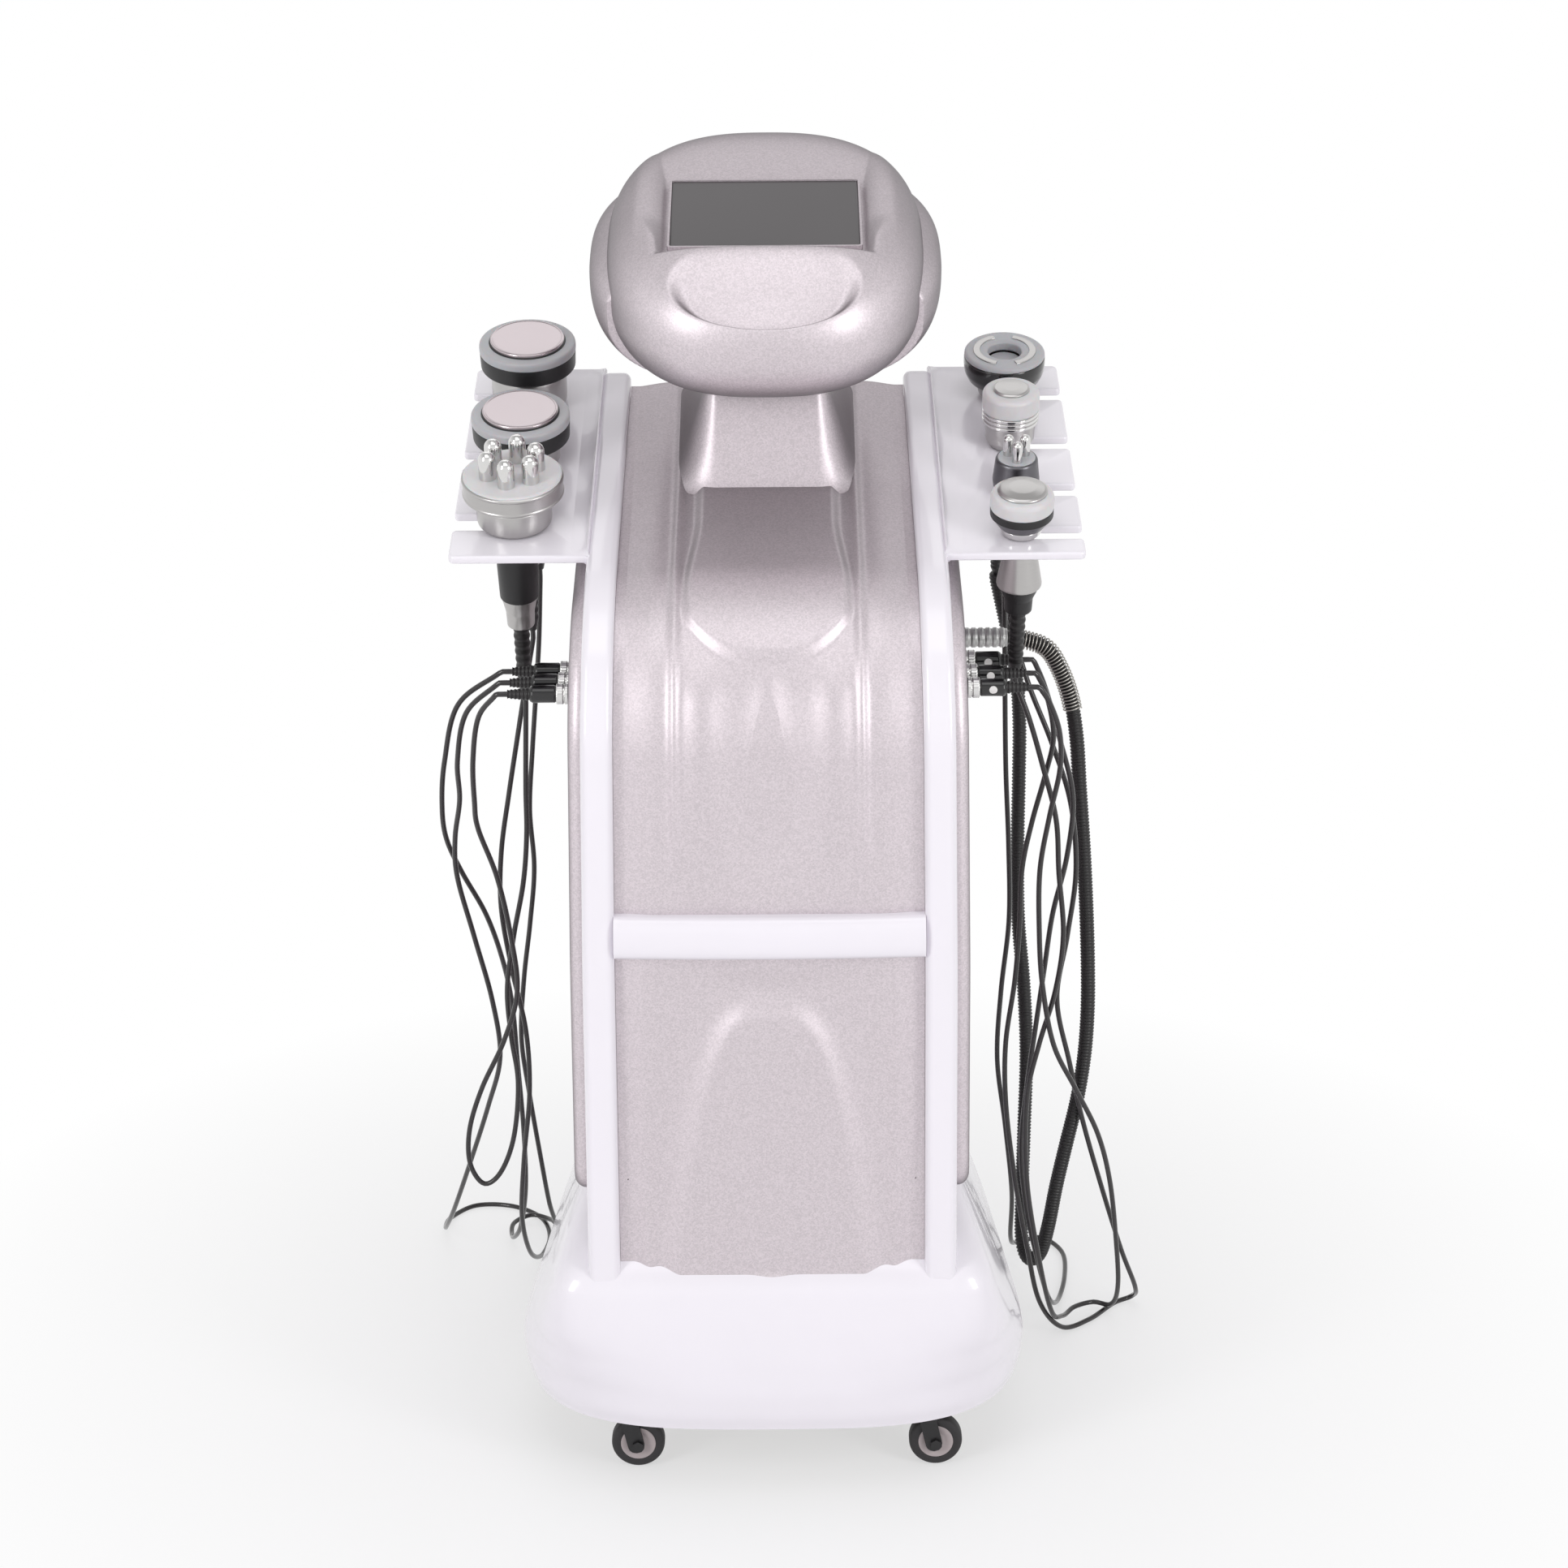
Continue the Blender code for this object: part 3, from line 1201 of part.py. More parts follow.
def build_trays():
    """The white trays: a shelf along the deck with slots open outwards and a gusset against the body."""
    for side, name, slot_shares, slot_width in (
        (-1, "left", LEFT_SLOT_SHARES, LEFT_SLOT_WIDTH),
        (1, "right", RIGHT_SLOT_SHARES, RIGHT_SLOT_WIDTH),
    ):
        inner = BODY_HALF_FOOT + GAP * 2
        outline = rounded(
            [
                (inner, 0),
                (TRAY_TIP_X, 0),
                (TRAY_TIP_X, -TRAY_THICKNESS),
                (inner + TRAY_GUSSET, -TRAY_THICKNESS),
                (inner, -TRAY_THICKNESS - TRAY_GUSSET),
            ],
            [0, TRAY_THICKNESS * 0.4, TRAY_THICKNESS * 0.4, TRAY_GUSSET * 0.5, 0],
            3,
        )
        middle = TRAY_START_V + TRAY_LENGTH / 2
        lay = Matrix.Translation((0, middle, -TRAY_DROP)) @ FRONT_VIEW
        tray = plate("tray_" + name, outline, TRAY_LENGTH, white_gloss(), lay)
        for share in slot_shares:
            v = TRAY_START_V + share * TRAY_LENGTH
            reach = TRAY_TIP_X + OVERRUN
            half = slot_width / 2
            slot_outline = rounded(
                [
                    (HANDPIECE_X - half, v - half),
                    (reach, v - half),
                    (reach, v + half),
                    (HANDPIECE_X - half, v + half),
                ],
                [half * 0.98, 0, 0, half * 0.98],
                4,
            )
            slot = plate("slot", slot_outline, OVERRUN * 3)
            cut(tray, slot)
        if side < 0:
            place(tray, Matrix.Scale(-1, 4, Vector((1, 0, 0))))
            tray.data.flip_normals()
        place(tray, DECK)
        taper(tray)


def seat(side, place_in_row):
    """The frame of a handpiece: its origin on the tray's top at a slot, its Z away from the deck."""
    share = (LEFT_SLOT_SHARES if side < 0 else RIGHT_SLOT_SHARES)[place_in_row]
    v = TRAY_START_V + share * TRAY_LENGTH
    point = DECK @ Vector((0, v, -TRAY_DROP))
    x = side * HANDPIECE_X * narrowing(point.z)
    return Matrix.Translation((x, point.y, point.z)) @ Matrix.Rotation(DECK_SLOPE, 4, "X")


def handle_profile(kind, neck):
    """The lower half of a handpiece from its seat on the tray: neck in the slot, grip, collar and boot."""
    grip_top = -TRAY_THICKNESS - GAP * 2
    grip_low = -kind.below * kind.grip_share
    boot_low = -kind.below
    boot = boot_low - grip_low
    boot_radius = max(kind.collar * 0.62, CORD_RADIUS * 2.4)
    return [
        (kind.seat_radius, GAP),
        (neck, GAP),
        (neck, grip_top),
        (kind.grip, grip_top - GAP),
        (kind.grip * 1.02, grip_top + (grip_low - grip_top) * 0.5),
        (kind.grip * 0.94, grip_low),
        (kind.collar, grip_low + boot * 0.28),
        (boot_radius, grip_low + boot * 0.32),
        (boot_radius * 0.9, grip_low + boot * 0.8),
        (CORD_RADIUS * 1.3, boot_low),
        (0, boot_low),
    ]


# Upper halves of the handpieces, top to seat: shares of the widest radius and of the height above the tray
CAVITATION_TOP_SHARES = [
    (0.000, 1.000), (0.763, 1.000), (0.779, 0.982), (0.779, 0.927), (0.973, 0.899), (1.000, 0.862),
    (1.000, 0.807), (0.996, 0.550), (0.940, 0.523), (0.841, 0.486), (0.841, 0.450), (0.785, 0.440),
    (0.785, 0.183), (0.741, 0.073),
]
PIN_HEAD_TOP_SHARES = [
    (0.000, 1.000), (0.957, 0.980), (1.000, 0.951), (1.000, 0.637), (0.967, 0.608), (0.761, 0.588),
    (0.761, 0.510), (0.735, 0.500), (0.728, 0.294), (0.652, 0.118),
]
VACUUM_TOP_SHARES = [
    (0.000, 0.658), (0.468, 0.658), (0.494, 1.000), (0.857, 0.987), (0.948, 0.947), (0.974, 0.868),
    (1.000, 0.737), (0.974, 0.592), (0.883, 0.461), (0.753, 0.395), (0.701, 0.382), (0.610, 0.105),
]
RINGED_TOP_SHARES = [
    (0.000, 1.000), (0.623, 0.983), (0.642, 0.950), (0.811, 0.942), (0.989, 0.900), (1.000, 0.667),
    (0.989, 0.550), (0.989, 0.483), (0.906, 0.450), (0.849, 0.217), (0.860, 0.117),
]
THREE_PIN_TOP_SHARES = [
    (0.000, 1.000), (0.840, 1.000), (0.896, 0.957), (1.000, 0.343), (0.967, 0.171),
]
DOMED_TOP_SHARES = [
    (0.000, 1.000), (0.528, 0.969), (0.792, 0.907), (0.803, 0.887), (0.951, 0.856), (1.000, 0.784),
    (1.000, 0.557), (0.979, 0.515), (0.958, 0.392), (0.704, 0.186), (0.669, 0.175), (0.634, 0.062),
]


class Kind:
    """The sizes of one kind of handpiece."""

    def __init__(self, radius, height, seat_radius, grip, collar, below, grip_share, top_shares):
        self.seat_radius = seat_radius
        self.grip = grip
        self.collar = collar
        self.below = below
        self.grip_share = grip_share
        self.top = [(radius * r, height * h) for r, h in top_shares]


CAVITATION = Kind(
    CAVITATION_RADIUS,
    CAVITATION_HEIGHT,
    CAVITATION_SEAT_RADIUS,
    CAVITATION_GRIP_RADIUS,
    CAVITATION_COLLAR_RADIUS,
    CAVITATION_BELOW,
    CAVITATION_GRIP_SHARE,
    CAVITATION_TOP_SHARES,
)
TALL_CAVITATION = Kind(
    CAVITATION_RADIUS,
    TALL_CAVITATION_HEIGHT,
    CAVITATION_SEAT_RADIUS,
    CAVITATION_GRIP_RADIUS,
    CAVITATION_COLLAR_RADIUS,
    CAVITATION_BELOW,
    CAVITATION_GRIP_SHARE,
    CAVITATION_TOP_SHARES,
)
PIN_HEAD = Kind(
    PIN_HEAD_RADIUS,
    PIN_HEAD_HEIGHT,
    PIN_HEAD_SEAT_RADIUS,
    PIN_HEAD_GRIP_RADIUS,
    PIN_HEAD_COLLAR_RADIUS,
    PIN_HEAD_BELOW,
    PIN_HEAD_GRIP_SHARE,
    PIN_HEAD_TOP_SHARES,
)
VACUUM = Kind(
    VACUUM_RADIUS,
    VACUUM_HEIGHT,
    VACUUM_SEAT_RADIUS,
    VACUUM_GRIP_RADIUS,
    VACUUM_COLLAR_RADIUS,
    VACUUM_BELOW,
    VACUUM_GRIP_SHARE,
    VACUUM_TOP_SHARES,
)
RINGED = Kind(
    RINGED_RADIUS,
    RINGED_HEIGHT,
    RINGED_SEAT_RADIUS,
    RINGED_GRIP_RADIUS,
    RINGED_COLLAR_RADIUS,
    RINGED_BELOW,
    RINGED_GRIP_SHARE,
    RINGED_TOP_SHARES,
)
THREE_PIN = Kind(
    THREE_PIN_RADIUS,
    THREE_PIN_HEIGHT,
    THREE_PIN_SEAT_RADIUS,
    THREE_PIN_GRIP_RADIUS,
    THREE_PIN_COLLAR_RADIUS,
    THREE_PIN_BELOW,
    THREE_PIN_GRIP_SHARE,
    THREE_PIN_TOP_SHARES,
)
DOMED = Kind(
    DOMED_RADIUS,
    DOMED_HEIGHT,
    DOMED_SEAT_RADIUS,
    DOMED_GRIP_RADIUS,
    DOMED_COLLAR_RADIUS,
    DOMED_BELOW,
    DOMED_GRIP_SHARE,
    DOMED_TOP_SHARES,
)

# Each handpiece's side and kind; on each side they are listed from the front slot to the rear one
HANDPIECES = {
    "handpiece_left_front": ("left", PIN_HEAD),
    "handpiece_left_middle": ("left", CAVITATION),
    "handpiece_left_rear": ("left", TALL_CAVITATION),
    "handpiece_right_front": ("right", DOMED),
    "handpiece_right_second": ("right", THREE_PIN),
    "handpiece_right_third": ("right", RINGED),
    "handpiece_right_rear": ("right", VACUUM),
}


def sign_of(which):
    """The sign of X on a side of the machine."""
    return -1 if which == "left" else 1


def slot_of(name):
    """A handpiece's side as a sign, its place among the slots from the front, and its kind."""
    which, kind = HANDPIECES[name]
    row = [other for other in HANDPIECES if HANDPIECES[other][0] == which]
    return sign_of(which), row.index(name), kind


def domed_pins(thing, count, circle, radius, height, foot_z, turn):
    """Chrome pins with round tops on a circle, joined to the face they stand on."""
    for k in range(count):
        angle = turn + 2 * pi * k / count
        profile = [(0, height)]
        for step in range(1, 3):
            lean = step * pi / 4
            profile.append((radius * sin(lean), height - radius + radius * cos(lean)))
        profile += [(radius, -radius), (0, -radius)]
        pin = turned("pin", profile, None, 6)
        place(pin, Matrix.Translation((circle * cos(angle), circle * sin(angle), foot_z)))
        join(thing, pin)


def build_handpieces():
    """Seven handpieces: each hangs in its slot by a neck, its head above the tray and its grip below."""
    for name in HANDPIECES:
        side, place_in_row, kind = slot_of(name)
        frame = seat(side, place_in_row)
        handle = handle_profile(kind, LEFT_NECK_RADIUS if side < 0 else RIGHT_NECK_RADIUS)
        finish = black_plastic() if kind is THREE_PIN else satin_silver()
        if side < 0:
            split_z = kind.top[-1][1]
            flange = kind.seat_radius * 0.9
            stem_profile = [(0, split_z - GAP), (flange, split_z - GAP)] + handle
            pieces = [
                turned(name, stem_profile, black_plastic(), 12),
                turned(
                    name.replace("handpiece", "applicator"),
                    kind.top + [(flange, split_z), (0, split_z)],
                    finish,
                    18,
                ),
            ]
        else:
            pieces = [turned(name, kind.top + handle, finish, 14)]
        foot_z = kind.top[0][1]
        if kind is PIN_HEAD:
            domed_pins(pieces[-1], 6, PIN_CIRCLE, PIN_RADIUS, PIN_HEIGHT, foot_z, radians(20))
        if kind is THREE_PIN:
            circle = SMALL_PIN_CIRCLE
            domed_pins(pieces[-1], 3, circle, SMALL_PIN_RADIUS, SMALL_PIN_HEIGHT, foot_z, radians(150))
        axis = axis_empty(name + "_axis", frame.translation, (side, 0, 0))
        for piece in pieces:
            place(piece, frame)
            hang_on(axis, piece)


def handle_end(name):
    """Where a handpiece's boot ends and which way its cord leaves."""
    side, place_in_row, kind = slot_of(name)
    frame = seat(side, place_in_row)
    point = frame @ Vector((0, 0, -kind.below))
    return point, -(frame.to_3x3() @ Vector((0, 0, 1)))


def panel_face(z):
    """The side panel's outer face at a height."""
    return (BODY_HALF_FOOT + SIDE_PANEL_PROUD) * narrowing(z)


def socket_face():
    """The outer face of the socket strips, which stand clear of the panel at both their edges."""
    half = SOCKET_PLATE_HEIGHT / 2
    return max(panel_face(PLUG_Z - half), panel_face(PLUG_Z + half)) + GAP + SOCKET_PLATE_THICKNESS


PLUG_POSITIONS = ("front", "middle", "rear")


def plug_places(side):
    centre, pitch = (LEFT_PLUG_Y, LEFT_PLUG_PITCH) if side < 0 else (RIGHT_PLUG_Y, RIGHT_PLUG_PITCH)
    return [centre - pitch, centre, centre + pitch]


def outward(side, y):
    """A frame on the socket strip's face with its Z pointing away from the body."""
    turn = Matrix.Rotation(side * pi / 2, 4, "Y")
    return Matrix.Translation((side * socket_face(), y, PLUG_Z)) @ turn


def build_connectors():
    """Socket strips, the six plugs, and the hose fitting."""
    for side, name in ((-1, "left"), (1, "right")):
        places = plug_places(side)
        ends = list(places)
        if side > 0:
            ends.append(HOSE_FITTING_Y)
        margin = SOCKET_PLATE_HEIGHT / 2
        low_y = min(ends) - margin
        high_y = max(ends) + margin
        corners = [
            (low_y, PLUG_Z - margin),
            (high_y, PLUG_Z - margin),
            (high_y, PLUG_Z + margin),
            (low_y, PLUG_Z + margin),
        ]
        middle = side * (socket_face() - SOCKET_PLATE_THICKNESS / 2)
        lay = Matrix.Translation((middle, 0, 0)) @ SIDE_VIEW
        outline = rounded(corners, [margin * 0.95] * 4, 5)
        strip = plate("socket_strip_" + name, outline, SOCKET_PLATE_THICKNESS, black_plastic(), lay)
        for y in places:
            socket = cylinder("socket", SOCKET_RADIUS, SOCKET_LENGTH + GAP, segments=10)
            place(socket, outward(side, y) @ Matrix.Translation((0, 0, -GAP)))
            join(strip, socket)
        for y, position in zip(places, PLUG_POSITIONS):
            nut_end = NUT_LENGTH
            body_end = nut_end + PLUG_LENGTH
            boot_end = body_end + BOOT_LENGTH
            profile = [
                (0, boot_end),
                (BOOT_TIP_RADIUS, boot_end),
                (BOOT_RADIUS, body_end + BOOT_LENGTH * 0.2),
                (BOOT_RADIUS, body_end),
                (PLUG_RADIUS, body_end - PLUG_RADIUS * 0.2),
                (PLUG_RADIUS, nut_end),
                (NUT_RADIUS, nut_end),
                (NUT_RADIUS, GAP),
                (NUT_BORE, GAP),
                (NUT_BORE, SOCKET_LENGTH + GAP),
                (0, SOCKET_LENGTH + GAP),
            ]
            plug = turned("plug_%s_%s" % (name, position), profile, black_plastic(), 10)
            place(plug, outward(side, y))
    profile = [(0, HOSE_FITTING_LENGTH)]
    rings = 3
    for k in range(rings):
        top = HOSE_FITTING_LENGTH * (1 - k / rings)
        low = HOSE_FITTING_LENGTH * (1 - (k + 1) / rings)
        profile.append((HOSE_FITTING_RADIUS, top))
        profile.append((HOSE_FITTING_RADIUS, low + (top - low) * 0.35))
        profile.append((HOSE_FITTING_RADIUS * 0.86, low + (top - low) * 0.25))
        profile.append((HOSE_FITTING_RADIUS * 0.86, low + GAP))
    profile.append((0, GAP))
    fitting = turned("hose_fitting", profile, steel(), 10)
    place(fitting, outward(1, HOSE_FITTING_Y))


def plug_end(side, index):
    """Where a plug's boot ends."""
    y = plug_places(side)[index]
    x = side * (socket_face() + NUT_LENGTH + PLUG_LENGTH + BOOT_LENGTH)
    return Vector((x, y, PLUG_Z))


def beside_body(route, side):
    """A route moved out or in with the body's side, which it was drawn for at ROUTE_BODY_HALF."""
    shift = Vector((side * (BODY_HALF_FOOT - ROUTE_BODY_HALF), 0, 0))
    return [Vector(point) + shift for point in route]


def cord_points(side, index, handpiece, route, count):
    """A cord's smooth path: straight out of its plug, through its route, and straight into the handpiece."""
    start = plug_end(side, index)
    end, down = handle_end(handpiece)
    lead = CORD_RADIUS * CORD_LEAD_SHARE
    moved = beside_body(route, side)
    return led_path(start, Vector((side, 0, 0)), end, down, moved, lead, count, BEND_WEIGHT)


CORDS = {
    "cord_left_front": ("left", "front", "handpiece_left_front", LEFT_FRONT_ROUTE),
    "cord_left_middle": ("left", "middle", "handpiece_left_middle", LEFT_MIDDLE_ROUTE),
    "cord_left_rear": ("left", "rear", "handpiece_left_rear", LEFT_REAR_ROUTE),
    "cord_right_front": ("right", "front", "handpiece_right_front", RIGHT_FRONT_ROUTE),
    "cord_right_middle": ("right", "middle", "handpiece_right_second", RIGHT_MIDDLE_ROUTE),
    "cord_right_rear": ("right", "rear", "handpiece_right_third", RIGHT_REAR_ROUTE),
}


def build_cords():
    """The six thin cords, each from its plug to its handpiece."""
    for name, (which, position, handpiece, route) in CORDS.items():
        index = PLUG_POSITIONS.index(position)
        points, length = cord_points(sign_of(which), index, handpiece, route, CORD_POINTS)
        tube(name, points, CORD_RADIUS, dark_rubber())
        print("%s is %.3f m long" % (name, length))


def hose_path(count):
    start = outward(1, HOSE_FITTING_Y) @ Vector((0, 0, HOSE_FITTING_LENGTH))
    end, down = handle_end("handpiece_right_rear")
    moved = beside_body(HOSE_ROUTE, 1)
    return led_path(start, Vector((1, 0, 0)), end, down, moved, HOSE_RADIUS, count)


def build_hose():
    """The ribbed vacuum hose with its bore, and the coil spring that keeps it from kinking at the fitting."""
    points, length = hose_path(HOSE_RIBS * 2 + 2)
    groove = HOSE_GROOVE_SHARE
    radii = [groove if i % 2 else 1 for i in range(len(points))]
    radii[0] = radii[-1] = groove
    hose = tube_mesh(tube("vacuum_hose", points, HOSE_RADIUS, dark_rubber(), 2, radii))
    middle, _ = hose_path(HOSE_BORE_POINTS)
    first = middle[0] * 2 - middle[1]
    last = middle[-1] * 2 - middle[-2]
    bore = tube_mesh(tube("hose_bore", [first] + middle + [last], HOSE_BORE, None, 2))
    cut(hose, bore)
    print("vacuum_hose is %.3f m long" % length)

    fine, _ = hose_path(601)
    coil_radius = HOSE_RADIUS + SPRING_CLEARANCE + SPRING_WIRE
    side = Vector((0, 1, 0))
    coil = []
    total = SPRING_CURLS * SPRING_POINTS
    for k in range(total + 1):
        share = k / total
        along = (SPRING_START + SPRING_LENGTH * share) / length * (len(fine) - 1)
        i = int(along)
        point = fine[i].lerp(fine[i + 1], along - i)
        ahead = (fine[i + 1] - fine[i]).normalized()
        side = (side - ahead * side.dot(ahead)).normalized()
        up = ahead.cross(side)
        angle = 2 * pi * k / SPRING_POINTS
        coil.append(point + (side * cos(angle) + up * sin(angle)) * coil_radius)
    least = min(
        (coil[i] - coil[j]).length - SPRING_WIRE * 2
        for i in range(len(coil))
        for j in range(i + SPRING_POINTS // 2, len(coil))
    )
    print("the spring's least gap to itself is %.2f mm" % (least * 1000))
    first = coil[0] + (coil[0] - coil[1]).normalized() * SPRING_WIRE * 2
    last = coil[-1] + (coil[-1] - coil[-2]).normalized() * SPRING_WIRE * 2
    tube("hose_spring", [first] + coil + [last], SPRING_WIRE, steel(), 1)


def build_rear():
    """The rear cover with its vent, the fan behind it, the mains inlet and the rocker switch."""
    cover_y = BODY_REAR - PANEL_RECESS
    foot = POCKET_FLOOR_Z + GAP
    top = body_corners(PANEL_RECESS + PANEL_WALL, foot)[2][1] - REAR_CORNER_RADIUS - GAP
    middle_y = cover_y - REAR_COVER_WALL / 2
    middle = Matrix.Translation((0, middle_y, 0))
    size = (PANEL_HALF * 2, REAR_COVER_WALL, top - foot)
    cover = box("rear_cover", size, (0, middle_y, (top + foot) / 2), silver_paint())
    taper(cover)
    lay = middle_at(middle, 0, VENT_Z)
    cut(cover, plate("vent_hole", ring_outline(VENT_RADIUS, 20), REAR_COVER_WALL * 3, None, lay))
    for tilt in (0, pi / 2):
        bar = box("vent_bar", (VENT_RADIUS * 2 + VENT_BAR, REAR_COVER_WALL, VENT_BAR), (0, 0, 0))
        place(bar, middle_at(middle, 0, VENT_Z, flat=False) @ Matrix.Rotation(tilt, 4, "Y"))
        join(cover, bar)
    inlet_hole = box(
        "inlet_hole",
        (INLET_WIDTH + GAP * 2, REAR_COVER_WALL * 3, INLET_HEIGHT + GAP * 2),
        (INLET_X, cover_y - REAR_COVER_WALL / 2, INLET_Z),
    )
    cut(cover, inlet_hole)
    switch_hole = box(
        "switch_hole",
        (SWITCH_WIDTH + GAP * 4, REAR_COVER_WALL * 3, SWITCH_HEIGHT + GAP * 4),
        (SWITCH_X, cover_y - REAR_COVER_WALL / 2, SWITCH_Z),
    )
    cut(cover, switch_hole)

    inlet = box(
        "mains_inlet",
        (INLET_WIDTH, INLET_DEPTH, INLET_HEIGHT),
        (INLET_X, cover_y - INLET_DEPTH / 2, INLET_Z),
        black_plastic(),
    )
    socket = box(
        "inlet_socket",
        (INLET_WIDTH * 0.5, INLET_DEPTH, INLET_HEIGHT * 0.55),
        (INLET_X, cover_y - INLET_DEPTH * 0.4 + INLET_DEPTH / 2, INLET_Z),
    )
    cut(inlet, socket)

    hub_y = cover_y - REAR_COVER_WALL - FAN_GAP
    fan = cylinder("fan_rotor", FAN_HUB_RADIUS, FAN_DEPTH, black_plastic(), 12)
    for k in range(FAN_BLADES):
        reach = VENT_RADIUS - FAN_TIP_CLEARANCE - FAN_HUB_RADIUS / 2
        blade = box("blade", (reach, FAN_DEPTH, REAR_COVER_WALL / 2), (reach / 2 + FAN_HUB_RADIUS / 2, 0, 0))
        turn = Matrix.Rotation(2 * pi * k / FAN_BLADES, 4, "Z")
        lean = Matrix.Rotation(radians(30), 4, "X")
        place(blade, turn @ Matrix.Translation((0, 0, FAN_DEPTH / 2)) @ lean)
        join(fan, blade)
    place(fan, Matrix.Translation((0, hub_y, VENT_Z)) @ Matrix.Rotation(pi / 2, 4, "X"))
    hang_on(axis_empty("fan_axis", (0, hub_y, VENT_Z), (0, 1, 0)), fan)

    half = SWITCH_HEIGHT / 2
    pivot_y = cover_y - SWITCH_DEPTH * 0.5
    outline = [
        (pivot_y, SWITCH_Z - half),
        (cover_y, SWITCH_Z - half),
        (cover_y + SWITCH_PROUD * 0.3, SWITCH_Z),
        (cover_y + SWITCH_PROUD, SWITCH_Z + half * 0.9),
        (pivot_y, SWITCH_Z + half * 0.8),
    ]
    lay = Matrix.Translation((SWITCH_X, 0, 0)) @ SIDE_VIEW
    rocker = plate("power_switch", outline, SWITCH_WIDTH, material("red_rocker", "8E1E22", 0.3), lay)
    hang_on(axis_empty("switch_axis", (SWITCH_X, pivot_y, SWITCH_Z), (1, 0, 0)), rocker)


def ring_outline(radius, count):
    return [(radius * cos(2 * pi * k / count), radius * sin(2 * pi * k / count)) for k in range(count)]


def middle_at(matrix, x, z, flat=True):
    moved = matrix @ Matrix.Translation((x, 0, z))
    return moved @ FRONT_VIEW if flat else moved


def build_inside():
    """The steel column that the body hangs on, with the power supply and the vacuum pump fixed to it."""
    low = POCKET_FLOOR_Z + GAP
    height = COLUMN_TOP_Z - low
    centre = (0, column_y(), low + height / 2)
    column = box("chassis_column", (COLUMN_WIDTH, COLUMN_DEPTH, height), centre, steel())
    hollow = box(
        "column_hollow",
        (COLUMN_WIDTH - COLUMN_WALL * 2, COLUMN_DEPTH - COLUMN_WALL * 2, height + OVERRUN),
        centre,
    )
    cut(column, hollow)
    front_y = column_y() - COLUMN_DEPTH / 2
    box(
        "power_supply",
        SUPPLY_SIZE,
        (0, front_y - GAP - SUPPLY_SIZE[1] / 2, low + SUPPLY_SIZE[2] / 2),
        material("bare_aluminium", "B4B4B2", 0.4, 1.0),
    )
    pump = cylinder("vacuum_pump", PUMP_RADIUS, PUMP_LENGTH, black_plastic(), 16)
    flat_to = front_y - GAP - PUMP_RADIUS
    place(pump, Matrix.Translation((0, flat_to, low + SUPPLY_SIZE[2] + GAP)))


def main():
    start_clean()
    build_base()
    build_casters()
    build_bands()
    build_panels()
    build_pedestal()
    build_head()
    build_trays()
    build_handpieces()
    build_connectors()
    build_cords()
    build_hose()
    build_rear()
    build_inside()
    total = 0
    graph = bpy.context.evaluated_depsgraph_get()
    for thing in bpy.data.collections[PARTS].objects:
        if thing.type in ("MESH", "CURVE"):
            mesh = bpy.data.meshes.new_from_object(thing.evaluated_get(graph))
            mesh.calc_loop_triangles()
            total += len(mesh.loop_triangles)
            bpy.data.meshes.remove(mesh)
    print("triangles in all: %d" % total)


main()
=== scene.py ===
# %% [markdown]
# # A cavitation slimming machine
# A salon trolley: a white and silver body on casters, a head with a screen, two trays of corded
# handpieces and a vacuum hose. Each cell adds one piece over the plain CAD model, which keeps the
# sizes and the joints. Lengths are metres, +Z is up and the front faces -Y.

# %% The model underneath
from math import cos, pi, radians, sin, tan

import bmesh
import bpy
import numpy as np
from mathutils import Matrix, Vector


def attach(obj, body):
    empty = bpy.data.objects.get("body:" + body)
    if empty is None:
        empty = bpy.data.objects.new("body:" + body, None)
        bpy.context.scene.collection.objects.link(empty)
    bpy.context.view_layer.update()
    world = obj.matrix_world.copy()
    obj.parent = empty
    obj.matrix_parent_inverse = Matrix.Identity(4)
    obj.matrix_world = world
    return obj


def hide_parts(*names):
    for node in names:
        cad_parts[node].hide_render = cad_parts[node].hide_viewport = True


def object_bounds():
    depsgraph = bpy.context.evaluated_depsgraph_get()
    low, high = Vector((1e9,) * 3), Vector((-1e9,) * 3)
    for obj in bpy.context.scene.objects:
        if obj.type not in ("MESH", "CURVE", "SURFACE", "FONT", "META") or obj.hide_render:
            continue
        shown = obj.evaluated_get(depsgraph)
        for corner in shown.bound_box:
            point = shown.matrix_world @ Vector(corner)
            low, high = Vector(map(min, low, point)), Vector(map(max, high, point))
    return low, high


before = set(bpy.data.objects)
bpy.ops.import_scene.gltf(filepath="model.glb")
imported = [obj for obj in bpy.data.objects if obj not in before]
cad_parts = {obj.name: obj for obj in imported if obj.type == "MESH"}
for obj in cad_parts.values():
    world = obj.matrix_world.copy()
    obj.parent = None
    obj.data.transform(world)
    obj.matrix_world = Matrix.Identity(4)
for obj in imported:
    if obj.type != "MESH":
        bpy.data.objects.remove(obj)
size_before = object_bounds()

# %% [markdown]
# The photograph was taken from a little above, square to the front, with a long lens. Setting the
# camera first means that every later piece can be compared with the picture at once.

# %% Camera
def add_object(name, data):
    """An object with its data, linked into the scene."""
    made = bpy.data.objects.new(name, data)
    bpy.context.scene.collection.objects.link(made)
    return made


camera = add_object("camera", bpy.data.cameras.new("camera"))
camera.data.lens = 80.03
camera.data.sensor_width = 36
camera.location = (0.0135, -3.055, 1.73)
aim = Matrix.Rotation(radians(70), 4, "X") @ Matrix.Rotation(radians(-0.4), 4, "Z")
camera.rotation_euler = aim.to_euler()
bpy.context.scene.camera = camera

